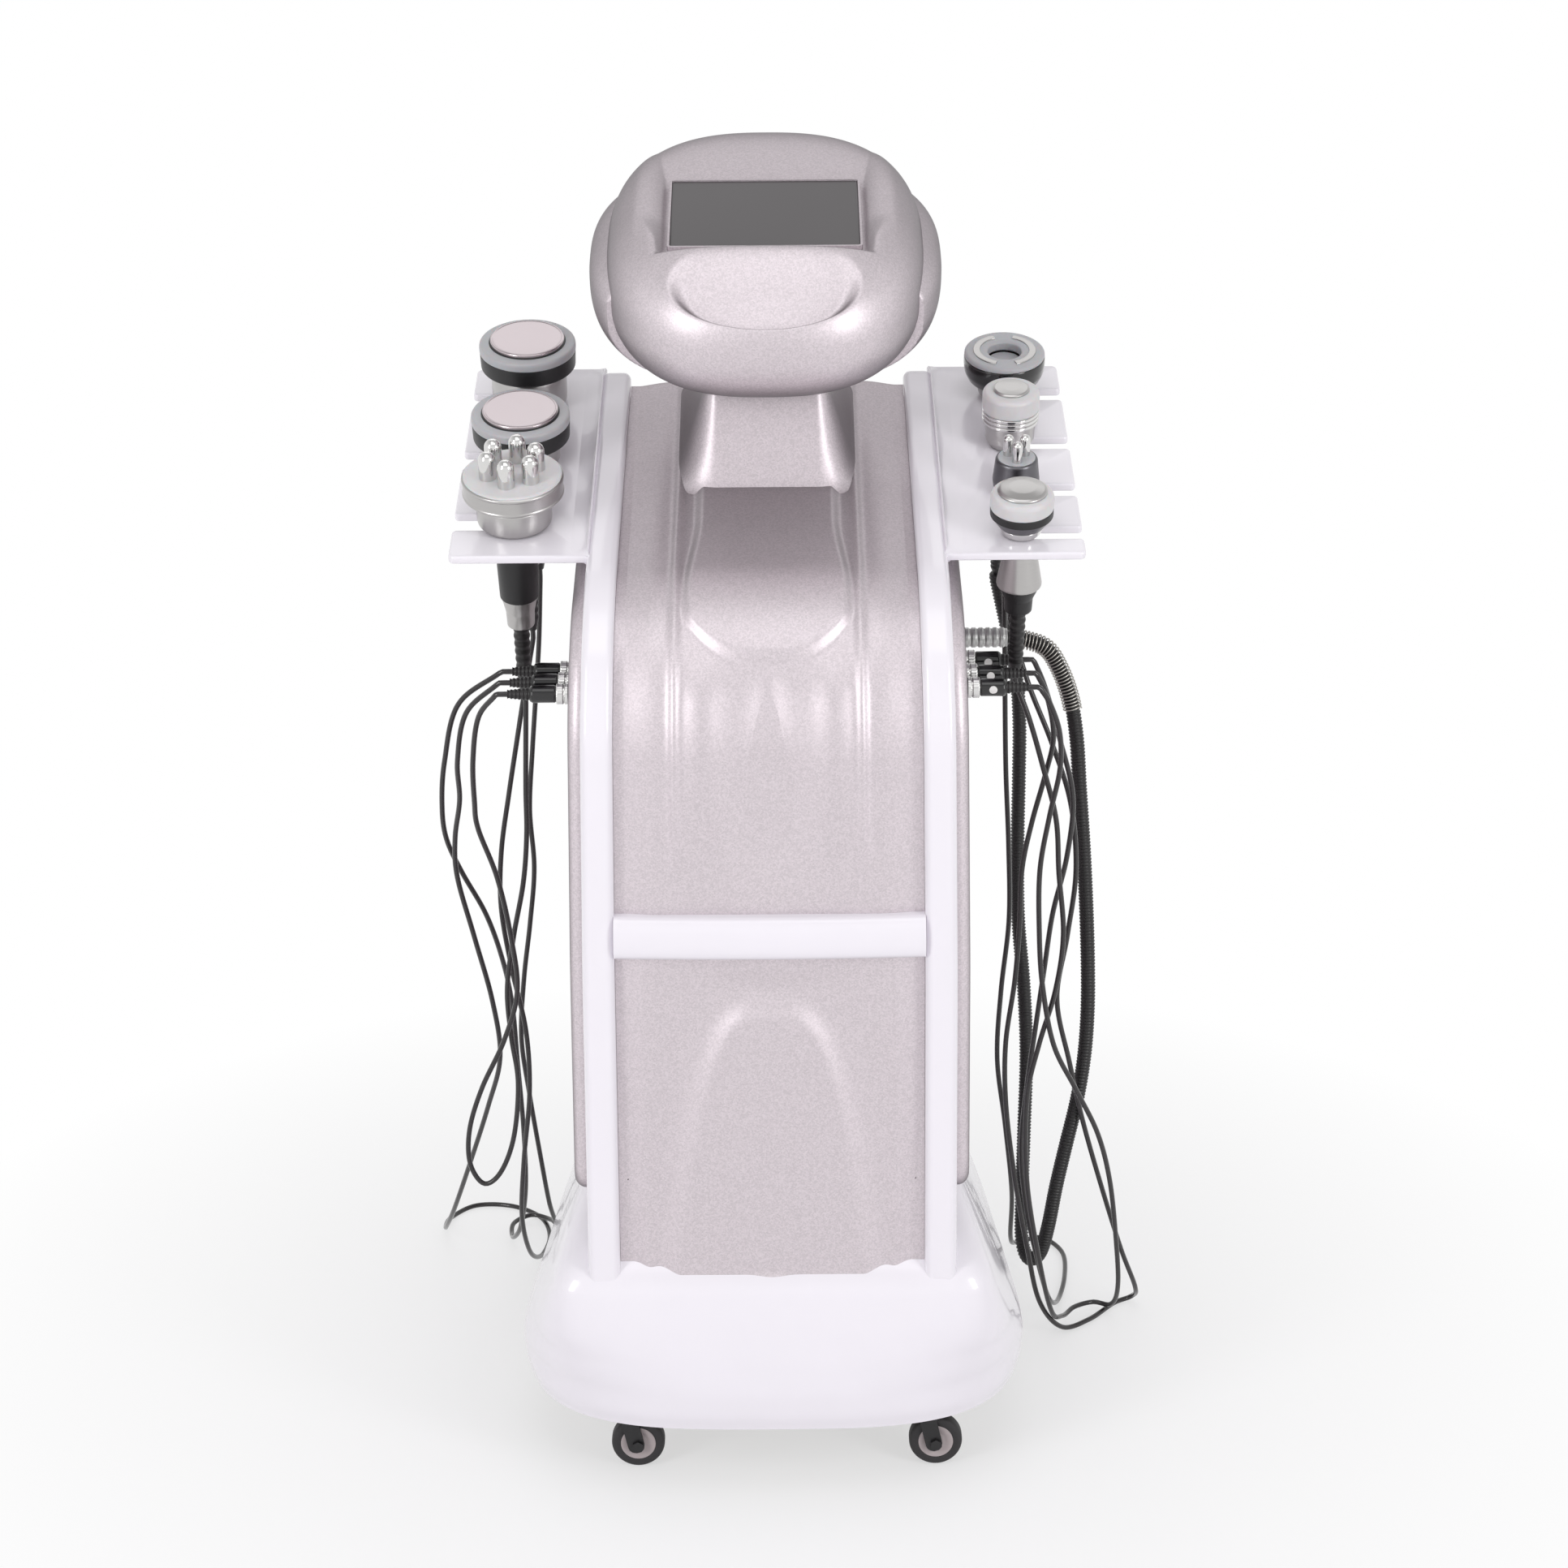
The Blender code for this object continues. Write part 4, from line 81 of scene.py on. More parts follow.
# %% [markdown]
# A studio has one tall soft lamp each side, a softer one overhead, a weak one behind and a pale
# floor. The side lamps are tall so that their reflections in gloss paint are upright bars. The world
# looks white only to the camera and in reflections, and darkens overhead, where a studio has its
# ceiling, so that metal has something dark to show. What it lends to the surfaces is a plain grey.

# %% Studio
def linear(hex_colour):
    """An sRGB hex colour as the linear RGBA that a socket takes."""
    shares = [int(hex_colour[i : i + 2], 16) / 255 for i in (0, 2, 4)]
    return tuple([s / 12.92 if s <= 0.04045 else ((s + 0.055) / 1.055) ** 2.4 for s in shares] + [1.0])


def add_node(tree, kind, inputs=(), **settings):
    """One shader node: settings are its properties, inputs its sockets' values or the links into them."""
    made = tree.nodes.new(kind)
    for name, value in settings.items():
        setattr(made, name, value)
    for socket, value in dict(inputs).items():
        if isinstance(value, bpy.types.NodeSocket):
            tree.links.new(value, made.inputs[socket])
        else:
            made.inputs[socket].default_value = value
    return made


def add_lamp(name, location, target, size, power):
    """An area lamp, size[0] wide and size[1] tall, that looks at a point."""
    lamp = add_object(name, bpy.data.lights.new(name, "AREA"))
    lamp.data.shape = "RECTANGLE"
    lamp.data.size, lamp.data.size_y = size
    lamp.data.energy = power
    lamp.location = location
    lamp.rotation_euler = (Vector(target) - Vector(location)).to_track_quat("-Z", "Y").to_euler()


def seen_by(tree, *kinds):
    """1 where the ray is of one of these kinds, such as Is Camera Ray, and 0 elsewhere."""
    path = add_node(tree, "ShaderNodeLightPath")
    seen = path.outputs[kinds[0]]
    for kind in kinds[1:]:
        seen = add_node(tree, "ShaderNodeMath", [(0, seen), (1, path.outputs[kind])],
                        operation="MAXIMUM").outputs[0]
    return seen


BODY_MIDDLE = (0, 0, 0.65)  # what the side lamps look at
add_lamp("lamp_left", (-1.9, -1.9, 1.5), BODY_MIDDLE, (0.7, 1.7), 24)
add_lamp("lamp_right", (2.0, -1.8, 1.4), BODY_MIDDLE, (0.7, 1.7), 23)
add_lamp("lamp_top", (0.0, -0.9, 2.8), (0, 0, 0.7), (1.8, 1.2), 9)
add_lamp("lamp_rear", (0.0, 1.6, 2.7), (0, 0.1, 0.9), (2.4, 0.9), 5)

# A Map Range node's sockets 1 to 4 are From Min, From Max, To Min and To Max
world = bpy.data.worlds.new("studio")
bpy.context.scene.world = world
world.use_nodes = True
tree = world.node_tree
tree.nodes.clear()
seen = seen_by(tree, "Is Camera Ray", "Is Glossy Ray", "Is Transmission Ray")
direction = add_node(tree, "ShaderNodeTexCoord").outputs["Generated"]
heading = add_node(tree, "ShaderNodeSeparateXYZ", [(0, direction)])
shown = add_node(tree, "ShaderNodeMapRange",
                 [(0, heading.outputs["Z"]), (1, 0.3), (2, 0.95), (3, 1.0), (4, 0.55)])
strength = add_node(tree, "ShaderNodeMapRange", [(0, seen), (3, 0.5), (4, shown.outputs[0])])
sky = add_node(tree, "ShaderNodeBackground", [("Color", linear("FFFFFF")), ("Strength", strength.outputs[0])])
add_node(tree, "ShaderNodeOutputWorld", [("Surface", sky.outputs[0])])
bpy.context.scene.view_settings.view_transform = "Standard"

# %% [markdown]
# The floor is a pale disc that fades into the background. It is one big flat square, and its shader
# mixes towards plain white for the camera away from the machine, so no horizon shows.

# %% Floor
def new_material(name):
    """An empty node material with its output node."""
    material = bpy.data.materials.new(name)
    material.use_nodes = True
    material.node_tree.nodes.clear()
    return material, material.node_tree, add_node(material.node_tree, "ShaderNodeOutputMaterial")


floor_mesh = bpy.data.meshes.new("floor")
FLOOR_HALF = 6
floor_mesh.from_pydata([(x * FLOOR_HALF, y * FLOOR_HALF, 0) for x, y in ((-1, -1), (1, -1), (1, 1), (-1, 1))],
                       [], [(0, 1, 2, 3)])
floor = add_object("floor", floor_mesh)
floor.location.z = size_before[0][2] - 0.0005
floor_finish, tree, output = new_material("floor_white")
place_on = add_node(tree, "ShaderNodeTexCoord")
grain = add_node(tree, "ShaderNodeTexNoise", [("Vector", place_on.outputs["Object"]), ("Scale", 40.0)])
rough = add_node(tree, "ShaderNodeMapRange", [(0, grain.outputs[0]), (3, 0.45), (4, 0.6)])
matt = add_node(tree, "ShaderNodeBsdfPrincipled",
                [("Base Color", linear("F4F3F5")), ("Roughness", rough.outputs[0])])
glow = add_node(tree, "ShaderNodeEmission", [("Color", linear("FFFFFF")), ("Strength", 1.0)])
away = add_node(tree, "ShaderNodeVectorMath", [(0, place_on.outputs["Object"])], operation="LENGTH")
fade = add_node(tree, "ShaderNodeMapRange",
                [(0, away.outputs["Value"]), (1, 0.30), (2, 1.0), (3, 0.55), (4, 1.0)])
seen = seen_by(tree, "Is Camera Ray", "Is Glossy Ray")
amount = add_node(tree, "ShaderNodeMath", [(0, seen), (1, fade.outputs[0])], operation="MULTIPLY")
mixed = add_node(tree, "ShaderNodeMixShader",
                 [(0, amount.outputs[0]), (1, matt.outputs[0]), (2, glow.outputs[0])])
tree.links.new(mixed.outputs[0], output.inputs["Surface"])
floor_mesh.materials.append(floor_finish)

# %% [markdown]
# Most finishes here are one base colour with a fine unevenness: moulded plastic has a faint cloudy
# tone and an orange-peel surface, rubber is dusty, metal is blotchy. One function makes that from
# two noise textures, so each material below only states its own numbers.

# %% Plain finishes
def tinted(base, factor):
    """A linear colour times a factor, kept at most 1, as RGBA."""
    return tuple([min(1, c * factor) for c in base[:3]] + [1])


def add_finish(name, colour, roughness, metallic=0.0, grain=0.004, tone=0.06, spread=0.06, peel=0.0,
               peel_size=0.002, stretch=(1, 1, 1), **sockets):
    """A Principled material whose tone, roughness and surface vary by noise of the real size `grain`."""
    material, tree, output = new_material(name)
    place_on = add_node(tree, "ShaderNodeTexCoord")
    scaled = add_node(tree, "ShaderNodeMapping", [("Vector", place_on.outputs["Object"]), ("Scale", stretch)])
    noise = add_node(tree, "ShaderNodeTexNoise",
                     [("Vector", scaled.outputs[0]), ("Scale", 1 / grain), ("Detail", 4.0)])
    base = linear(colour)
    shade = add_node(tree, "ShaderNodeMix",
                     [(0, noise.outputs[0]), (6, tinted(base, 1 - tone)), (7, tinted(base, 1 + tone))],
                     data_type="RGBA")
    rough = add_node(tree, "ShaderNodeMapRange",
                     [(0, noise.outputs[0]), (3, max(0.02, roughness - spread)), (4, roughness + spread)])
    surface_of = [("Base Color", shade.outputs[2]), ("Roughness", rough.outputs[0]), ("Metallic", metallic)]
    surface_of += [(key.replace("_", " "), value) for key, value in sockets.items()]
    if peel:
        waves = add_node(tree, "ShaderNodeTexNoise",
                         [("Vector", scaled.outputs[0]), ("Scale", 1 / peel_size), ("Detail", 2.0)])
        bump = add_node(tree, "ShaderNodeBump", [("Height", waves.outputs[0]), ("Distance", peel)])
        surface_of.append(("Normal", bump.outputs[0]))
    shader = add_node(tree, "ShaderNodeBsdfPrincipled", surface_of)
    tree.links.new(shader.outputs[0], output.inputs["Surface"])
    return material


# Moulded ABS, polished in the mould: a faint lilac white under a clear gloss that shows the lamps.
WHITE = add_finish("white_abs", "F1EDF4", 0.22, grain=0.05, tone=0.012, spread=0.03, peel=0.00004,
                   peel_size=0.012, Coat_Weight=0.5, Coat_Roughness=0.06)
# Injection-moulded black polyamide: almost black, with a fine grain that dulls it.
BLACK = add_finish("black_polyamide", "1B1A1C", 0.42, grain=0.003, tone=0.25, spread=0.08, peel=0.00005,
                   peel_size=0.0009)
# Glossy black polycarbonate: deep and mirror-like, for the vacuum bowl and the plug bodies.
GLOSS_BLACK = add_finish("black_polycarbonate", "121113", 0.16, grain=0.01, tone=0.2, spread=0.04,
                         Coat_Weight=0.4)
# Turned and bead-blasted aluminium: a soft even sheen with fine rings that run round the piece.
SATIN = add_finish("satin_aluminium", "B9B7B6", 0.30, 1.0, grain=0.003, tone=0.05, spread=0.05,
                   stretch=(0.25, 0.25, 3), peel=0.00001, peel_size=0.0008)
# Chromed brass: bright, and only slightly uneven from handling.
CHROME = add_finish("chrome", "DAD9D8", 0.09, 1.0, grain=0.008, tone=0.03, spread=0.04)
# Dark grey anodised metal, for the three-pin probe's body.
DARK_METAL = add_finish("anodised_grey", "6B6A6E", 0.34, 1.0, grain=0.004, tone=0.08, spread=0.06)
# Zinc plate has blotches where the bath left it uneven.
ZINC = add_finish("zinc_plate", "B4B1AB", 0.34, 1.0, grain=0.006, tone=0.12, spread=0.1)
# Lapped aluminium that touches the skin: a pinkish mid-grey with a soft sheen.
PLATE = add_finish("lapped_plate", "BDB3B6", 0.24, 1.0, grain=0.01, tone=0.04, spread=0.05)
# Bead-blasted acrylic, pale grey: light enters it and scatters, so its edges stay pale.
FROST_GREY = add_finish("frosted_grey", "B6B6BA", 0.42, grain=0.006, tone=0.05, spread=0.05,
                        peel=0.00003, peel_size=0.0007, Subsurface_Weight=0.25, Subsurface_Scale=0.004)
FROST_WHITE = add_finish("frosted_white", "D6D4D6", 0.40, grain=0.006, tone=0.03, spread=0.05,
                         peel=0.00003, peel_size=0.0007, Subsurface_Weight=0.3, Subsurface_Scale=0.004)
# PVC cord jacket: brown-black and glossy, so that a thin light line runs along it.
JACKET = add_finish("pvc_jacket", "231F21", 0.24, grain=0.004, tone=0.2, spread=0.06, peel=0.00003,
                    peel_size=0.002, Coat_Weight=0.3)
# Nitrile rubber of the hose and boots: darker and duller than the jackets, with small glints.
RUBBER = add_finish("nitrile_rubber", "1D1B1C", 0.40, grain=0.003, tone=0.3, spread=0.1)
# Polyurethane tread: matt, greyed by the dust of the floor.
TREAD = add_finish("tread_rubber", "2A282A", 0.62, grain=0.004, tone=0.3, spread=0.1, peel=0.00006,
                   peel_size=0.001)
HUB = add_finish("hub_nylon", "B5AAAB", 0.45, grain=0.006, tone=0.06, spread=0.06)
STICKER = add_finish("sticker_paper", "F2F1EF", 0.55, grain=0.002, tone=0.02, spread=0.05)
RED = add_finish("red_rocker", "B3201F", 0.28, grain=0.004, tone=0.08, spread=0.05, Coat_Weight=0.3)
BARE = add_finish("bare_aluminium", "C3C3C2", 0.38, 1.0, grain=0.003, tone=0.08, spread=0.08,
                  stretch=(0.2, 3, 3))

# %% [markdown]
# The silver is metallic paint: aluminium flakes lie at slightly different angles in a clear lacquer,
# so the colour sparkles finely while the lacquer reflects the lamps. The flakes are about 0.05 mm
# and are drawn at 1.2 mm here, the finest that shows at this size. A Voronoi texture gives each
# flake its own tilt and brightness. Layer Weight mixes a much darker shade into the colour where the
# paint is seen at a slant. This is partly the flop of flat-lying flakes and partly painted shade on
# surfaces turned away, such as the top of the head.

# %% Metallic paint
FLAKE = 0.0012


def add_paint(name, colour, roughness):
    """Metallic paint: Voronoi flakes under a lacquer coat."""
    material, tree, output = new_material(name)
    place_on = add_node(tree, "ShaderNodeTexCoord")
    flakes = add_node(tree, "ShaderNodeTexVoronoi",
                      [("Vector", place_on.outputs["Object"]), ("Scale", 1 / FLAKE)])
    one = add_node(tree, "ShaderNodeSeparateColor", [(0, flakes.outputs["Color"])])
    base = linear(colour)
    shade = add_node(tree, "ShaderNodeMix",
                     [(0, one.outputs[0]), (6, tinted(base, 0.9)), (7, tinted(base, 1.1))], data_type="RGBA")
    edge = add_node(tree, "ShaderNodeLayerWeight", [("Blend", 0.35)])
    # Darker where the paint is seen at a slant: partly flop, partly painted shade
    flop_and_painted_shade = add_node(tree, "ShaderNodeMapRange",
                    [(0, edge.outputs["Facing"]), (1, 0.25), (2, 0.9), (3, 0.0), (4, 0.85)])
    shade = add_node(tree, "ShaderNodeMix",
                     [(0, flop_and_painted_shade.outputs[0]), (6, shade.outputs[2]), (7, tinted(base, 0.22))], data_type="RGBA")
    tilt = add_node(tree, "ShaderNodeBump", [("Height", one.outputs[1]), ("Distance", 0.000008)])
    clouds = add_node(tree, "ShaderNodeTexNoise",
                      [("Vector", place_on.outputs["Object"]), ("Scale", 14.0), ("Detail", 3.0)])
    rough = add_node(tree, "ShaderNodeMapRange",
                     [(0, clouds.outputs[0]), (3, roughness - 0.03), (4, roughness + 0.03)])
    shader = add_node(tree, "ShaderNodeBsdfPrincipled", [
        ("Base Color", shade.outputs[2]), ("Metallic", 0.65), ("Roughness", rough.outputs[0]),
        ("Specular Tint", (0.3, 0.29, 0.3, 1)), ("Normal", tilt.outputs[0]), ("Coat Weight", 0.12),
        ("Coat Roughness", 0.15)])
    tree.links.new(shader.outputs[0], output.inputs["Surface"])
    return material


SILVER = add_paint("silver_paint", "D3CACF", 0.46)
DARK_SILVER = add_paint("dark_silver_paint", "4E4A4C", 0.30)

# %% [markdown]
# Every shape below is a grid of points worked out with numpy and turned into a mesh in one go.
# `surface` takes rows of points: each row is a ring, and the first and last rows are closed with a
# face, joined to each other, or shrink to a point. Normals are turned outwards once it is closed.
# Turned pieces are given as a turner's drawing would, by radius and height in millimetres.

# %% Shapes from grids
MM = 0.001


def add_piece(name, mesh, finish, body="machine", replaces=()):
    """An object from a finished mesh, riding on a body, in place of the CAD nodes named."""
    mesh.materials.clear()
    mesh.materials.append(finish)
    piece = add_object(name, mesh)
    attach(piece, body)
    if replaces:
        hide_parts(*replaces)
    return piece


def cleaned(mesh, sharp=35):
    """The mesh with doubled points merged and faces outwards; edges over `sharp` degrees stay crisp."""
    bm = bmesh.new()
    bm.from_mesh(mesh)
    bmesh.ops.remove_doubles(bm, verts=bm.verts, dist=1e-6)
    bmesh.ops.recalc_face_normals(bm, faces=bm.faces)
    bm.to_mesh(mesh)
    bm.free()
    mesh.shade_smooth()
    mesh.set_sharp_from_angle(angle=radians(sharp))
    return mesh


def surface(name, rows, matrix=None, loop=False, sharp=35):
    """A mesh over rows of points (m, n, 3), each a closed ring; ends are capped, or joined if loop."""
    rows = np.asarray(rows, float)
    m, n = rows.shape[:2]
    index = np.arange(m * n).reshape(m, n)
    if loop:
        index = np.vstack([index, index[:1]])
    following = np.roll(index, -1, axis=1)
    quads = np.stack([index[:-1], following[:-1], following[1:], index[1:]], axis=-1).reshape(-1, 4)
    faces = quads.tolist()
    if not loop:
        faces += [index[0].tolist(), index[-1].tolist()]
    points = rows.reshape(-1, 3)
    if matrix is not None:
        turn = np.array(matrix)
        points = points @ turn[:3, :3].T + turn[:3, 3]
    mesh = bpy.data.meshes.new(name)
    mesh.from_pydata(points.tolist(), [], faces)
    return cleaned(mesh, sharp)


def slab(name, front, back, matrix=None, sharp=35):
    """A closed sheet between two grids of points (m, n, 3)."""
    return surface(name, np.concatenate([front, back[:, ::-1]], axis=1), matrix, sharp=sharp)


def soften(profile, radius, steps=5, closed=False):
    """The polyline with each corner replaced by a short curve (1-t)^2 A + 2t(1-t) B + t^2 C."""
    points = np.array(profile, float)
    count = len(points)
    out = [] if closed else [points[0]]
    t = np.linspace(0, 1, steps)[:, None]
    for i in range(0 if closed else 1, count if closed else count - 1):
        before, here, after = points[i - 1], points[i], points[(i + 1) % count]
        reach_in = min(radius, 0.45 * np.linalg.norm(before - here))
        reach_out = min(radius, 0.45 * np.linalg.norm(after - here))
        start = here + (before - here) / max(np.linalg.norm(before - here), 1e-9) * reach_in
        end = here + (after - here) / max(np.linalg.norm(after - here), 1e-9) * reach_out
        out.extend((1 - t) ** 2 * start + 2 * t * (1 - t) * here + t**2 * end)
    if not closed:
        out.append(points[-1])
    return np.array(out)


def turned(line, angle, scale=1.0):
    """Rows of a turned profile: (r, z) -> (r cos a, r sin a, z), with r times a scale."""
    r = line[:, :1] * scale
    return np.stack([r * np.cos(angle), r * np.sin(angle), line[:, 1:] + 0 * angle], axis=-1)


def in_metres(profile):
    """A turner's profile, (radius, height) in mm, in metres."""
    return [(r * MM, z * MM) for r, z in profile]


def lathe(name, profile, matrix, soft=0.6, steps=72, loop=False):
    """A turned piece from its profile in mm, closed on the axis, or a ring if it is a loop.

    `soft` is how far its corners are rounded, in mm."""
    line = in_metres(profile)
    if not loop and line[0][0] > 0:
        line.insert(0, (0, line[0][1]))
    if not loop and line[-1][0] > 0:
        line.append((0, line[-1][1]))
    line = soften(line, soft * MM, closed=loop)
    angle = np.linspace(0, 2 * pi, steps, endpoint=False)
    return surface(name, turned(line, angle), matrix, loop=loop, sharp=40)


def smooth_step(x):
    """0 below 0, 1 above 1, and 3x^2 - 2x^3 between."""
    x = np.clip(x, 0, 1)
    return x * x * (3 - 2 * x)


def swell(distance, width):
    """A bell curve, 1 where the distance is 0: exp(-(distance/width)^2)."""
    return np.exp(-((distance / width) ** 2))


def signed_power(x, power):
    """|x|^power with the sign of x, the step from a circle to a superellipse."""
    return np.sign(x) * np.abs(x) ** power


def at_height(ring, height):
    """A flat ring of (x, y) as points at a height."""
    return np.column_stack([ring, np.full(len(ring), height)])


# %% [markdown]
# ## Cords
# Each cord leaves its plug, hangs in a long loop that nearly reaches the floor, and comes up under
# its handpiece. The route is a list of points measured against the photograph, and a Catmull-Rom
# curve runs through them, so the cord has no corners. The slots in which the handpieces stand are
# places along the deck, so each cord's end is worked out from its slot.

# %% Cord routes
BODY_FRONT, BODY_REAR = 0.224, 0.225
SLOPE = radians(16)  # of the deck
DECK_FOOT = 0.835  # the height at which the deck's plane meets the body's front
NECK_V, HEAD_LIFT = 0.346, 0.176  # the head's place along the deck and its height over it
DECK = Matrix.Translation((0, -BODY_FRONT, DECK_FOOT)) @ Matrix.Rotation(SLOPE, 4, "X")
HEAD = DECK @ Matrix.Translation((0, NECK_V, HEAD_LIFT))
SOCKET_X = 0.17763  # the face that the plugs stand on
PLUG_Z, PLUG_LENGTH = 0.740, 0.056
PLUGS = {"left_front": -0.095, "left_middle": -0.0625, "left_rear": -0.030,
         "right_front": -0.085, "right_middle": -0.045, "right_rear": -0.005}
HOSE_Y, HOSE_START = 0.063, 0.046

LEFT_FRONT_ROUTE = [
    (-0.262, -0.077, 0.712), (-0.270, -0.060, 0.665), (-0.272, -0.040, 0.618), (-0.271, -0.025, 0.585),
    (-0.256, -0.013, 0.531), (-0.246, -0.001, 0.465), (-0.243, 0.010, 0.405), (-0.258, 0.020, 0.350),
    (-0.282, 0.027, 0.296), (-0.296, 0.031, 0.250), (-0.297, 0.033, 0.212), (-0.284, 0.033, 0.190),
    (-0.267, 0.033, 0.203), (-0.253, 0.032, 0.242), (-0.247, 0.031, 0.300), (-0.252, 0.030, 0.350),
    (-0.254, 0.028, 0.400), (-0.246, 0.027, 0.455), (-0.235, 0.026, 0.510), (-0.230, 0.024, 0.560),
    (-0.229, 0.021, 0.610),
]
LEFT_MIDDLE_ROUTE = [
    (-0.276, -0.043, 0.705), (-0.288, -0.021, 0.651), (-0.290, 0.005, 0.603), (-0.298, 0.027, 0.556),
    (-0.299, 0.043, 0.510), (-0.286, 0.053, 0.444), (-0.272, 0.063, 0.373), (-0.268, 0.081, 0.305),
    (-0.285, 0.115, 0.235), (-0.310, 0.160, 0.150), (-0.334, 0.215, 0.070), (-0.350, 0.275, 0.018),
    (-0.350, 0.325, 0.0034), (-0.325, 0.355, 0.0030), (-0.285, 0.353, 0.0030), (-0.252, 0.325, 0.0030),
    (-0.240, 0.280, 0.0030), (-0.246, 0.230, 0.0070), (-0.254, 0.185, 0.036), (-0.258, 0.150, 0.095),
    (-0.252, 0.127, 0.170), (-0.243, 0.115, 0.250), (-0.244, 0.109, 0.320), (-0.256, 0.107, 0.390),
    (-0.264, 0.108, 0.453), (-0.262, 0.111, 0.510), (-0.253, 0.115, 0.568), (-0.244, 0.119, 0.620),
    (-0.236, 0.122, 0.665),
]
LEFT_REAR_ROUTE = [
    (-0.286, -0.013, 0.703), (-0.303, 0.009, 0.640), (-0.309, 0.027, 0.590), (-0.308, 0.043, 0.550),
    (-0.296, 0.057, 0.510), (-0.276, 0.073, 0.460), (-0.264, 0.095, 0.405), (-0.258, 0.123, 0.344),
    (-0.256, 0.141, 0.270), (-0.254, 0.159, 0.190), (-0.256, 0.185, 0.110), (-0.266, 0.223, 0.045),
    (-0.278, 0.265, 0.0110), (-0.280, 0.300, 0.0090), (-0.262, 0.320, 0.0090), (-0.240, 0.305, 0.0110),
    (-0.232, 0.270, 0.0240), (-0.236, 0.237, 0.065), (-0.242, 0.215, 0.130), (-0.250, 0.203, 0.205),
    (-0.256, 0.197, 0.273), (-0.251, 0.193, 0.340), (-0.243, 0.193, 0.400), (-0.237, 0.195, 0.460),
    (-0.240, 0.201, 0.520), (-0.236, 0.209, 0.580), (-0.231, 0.217, 0.640), (-0.227, 0.223, 0.690),
]
RIGHT_FRONT_ROUTE = [
    (0.254, -0.081, 0.722), (0.264, -0.069, 0.690), (0.266, -0.055, 0.650), (0.258, -0.045, 0.600),
    (0.251, -0.037, 0.545), (0.252, -0.029, 0.482), (0.257, -0.017, 0.420), (0.270, -0.005, 0.352),
    (0.293, 0.008, 0.300), (0.317, 0.023, 0.245), (0.332, 0.041, 0.185), (0.342, 0.063, 0.110),
    (0.348, 0.087, 0.045), (0.344, 0.107, 0.0120), (0.326, 0.115, 0.0100), (0.306, 0.103, 0.0110),
    (0.292, 0.079, 0.0140), (0.278, 0.049, 0.036), (0.262, 0.023, 0.110), (0.248, 0.011, 0.200),
    (0.246, 0.005, 0.290), (0.256, -0.001, 0.350), (0.270, -0.009, 0.410), (0.276, -0.015, 0.470),
    (0.270, -0.021, 0.535), (0.266, -0.024, 0.590), (0.252, -0.024, 0.645), (0.239, -0.024, 0.690),
]
RIGHT_MIDDLE_ROUTE = [
    (0.254, -0.039, 0.716), (0.262, -0.025, 0.672), (0.256, -0.013, 0.630), (0.245, -0.005, 0.580),
    (0.237, 0.001, 0.530), (0.236, 0.007, 0.470), (0.233, 0.015, 0.410), (0.226, 0.025, 0.340),
    (0.228, 0.035, 0.270), (0.238, 0.041, 0.190), (0.252, 0.046, 0.110), (0.266, 0.053, 0.045),
    (0.290, 0.067, 0.0080), (0.320, 0.091, 0.0030), (0.348, 0.125, 0.0030), (0.368, 0.135, 0.0060),
    (0.368, 0.110, 0.030), (0.350, 0.087, 0.085), (0.328, 0.069, 0.160), (0.306, 0.057, 0.240),
    (0.290, 0.049, 0.310), (0.276, 0.041, 0.380), (0.284, 0.033, 0.450), (0.290, 0.025, 0.520),
    (0.283, 0.021, 0.590), (0.264, 0.021, 0.650), (0.244, 0.025, 0.700), (0.231, 0.030, 0.740),
]
RIGHT_REAR_ROUTE = [
    (0.255, -0.001, 0.712), (0.270, 0.005, 0.660), (0.284, 0.009, 0.600), (0.280, 0.011, 0.540),
    (0.268, 0.015, 0.480), (0.262, 0.025, 0.420), (0.255, 0.035, 0.350), (0.249, 0.046, 0.285),
    (0.245, 0.055, 0.215), (0.251, 0.061, 0.150), (0.263, 0.065, 0.090), (0.277, 0.081, 0.035),
    (0.290, 0.125, 0.0060), (0.302, 0.181, 0.0030), (0.304, 0.237, 0.0030), (0.284, 0.271, 0.0030),
    (0.258, 0.257, 0.0050), (0.248, 0.221, 0.030), (0.246, 0.187, 0.100), (0.236, 0.159, 0.190),
    (0.226, 0.145, 0.270), (0.228, 0.133, 0.350), (0.234, 0.123, 0.430), (0.232, 0.117, 0.510),
    (0.228, 0.115, 0.590), (0.226, 0.116, 0.670), (0.225, 0.118, 0.730),
]
HOSE_ROUTE = [
    (0.258, 0.063, 0.731), (0.272, 0.063, 0.712), (0.284, 0.063, 0.680), (0.291, 0.063, 0.640),
    (0.295, 0.063, 0.590), (0.300, 0.063, 0.530), (0.304, 0.063, 0.470), (0.307, 0.063, 0.410),
    (0.308, 0.063, 0.360), (0.306, 0.064, 0.310), (0.300, 0.065, 0.262), (0.291, 0.067, 0.215),
    (0.282, 0.071, 0.165), (0.275, 0.077, 0.115), (0.268, 0.085, 0.082), (0.258, 0.097, 0.070),
    (0.252, 0.113, 0.082), (0.252, 0.127, 0.120), (0.254, 0.141, 0.190), (0.256, 0.155, 0.270),
    (0.253, 0.167, 0.340), (0.247, 0.179, 0.410), (0.246, 0.191, 0.480), (0.247, 0.203, 0.550),
    (0.247, 0.213, 0.610), (0.242, 0.219, 0.660),
]

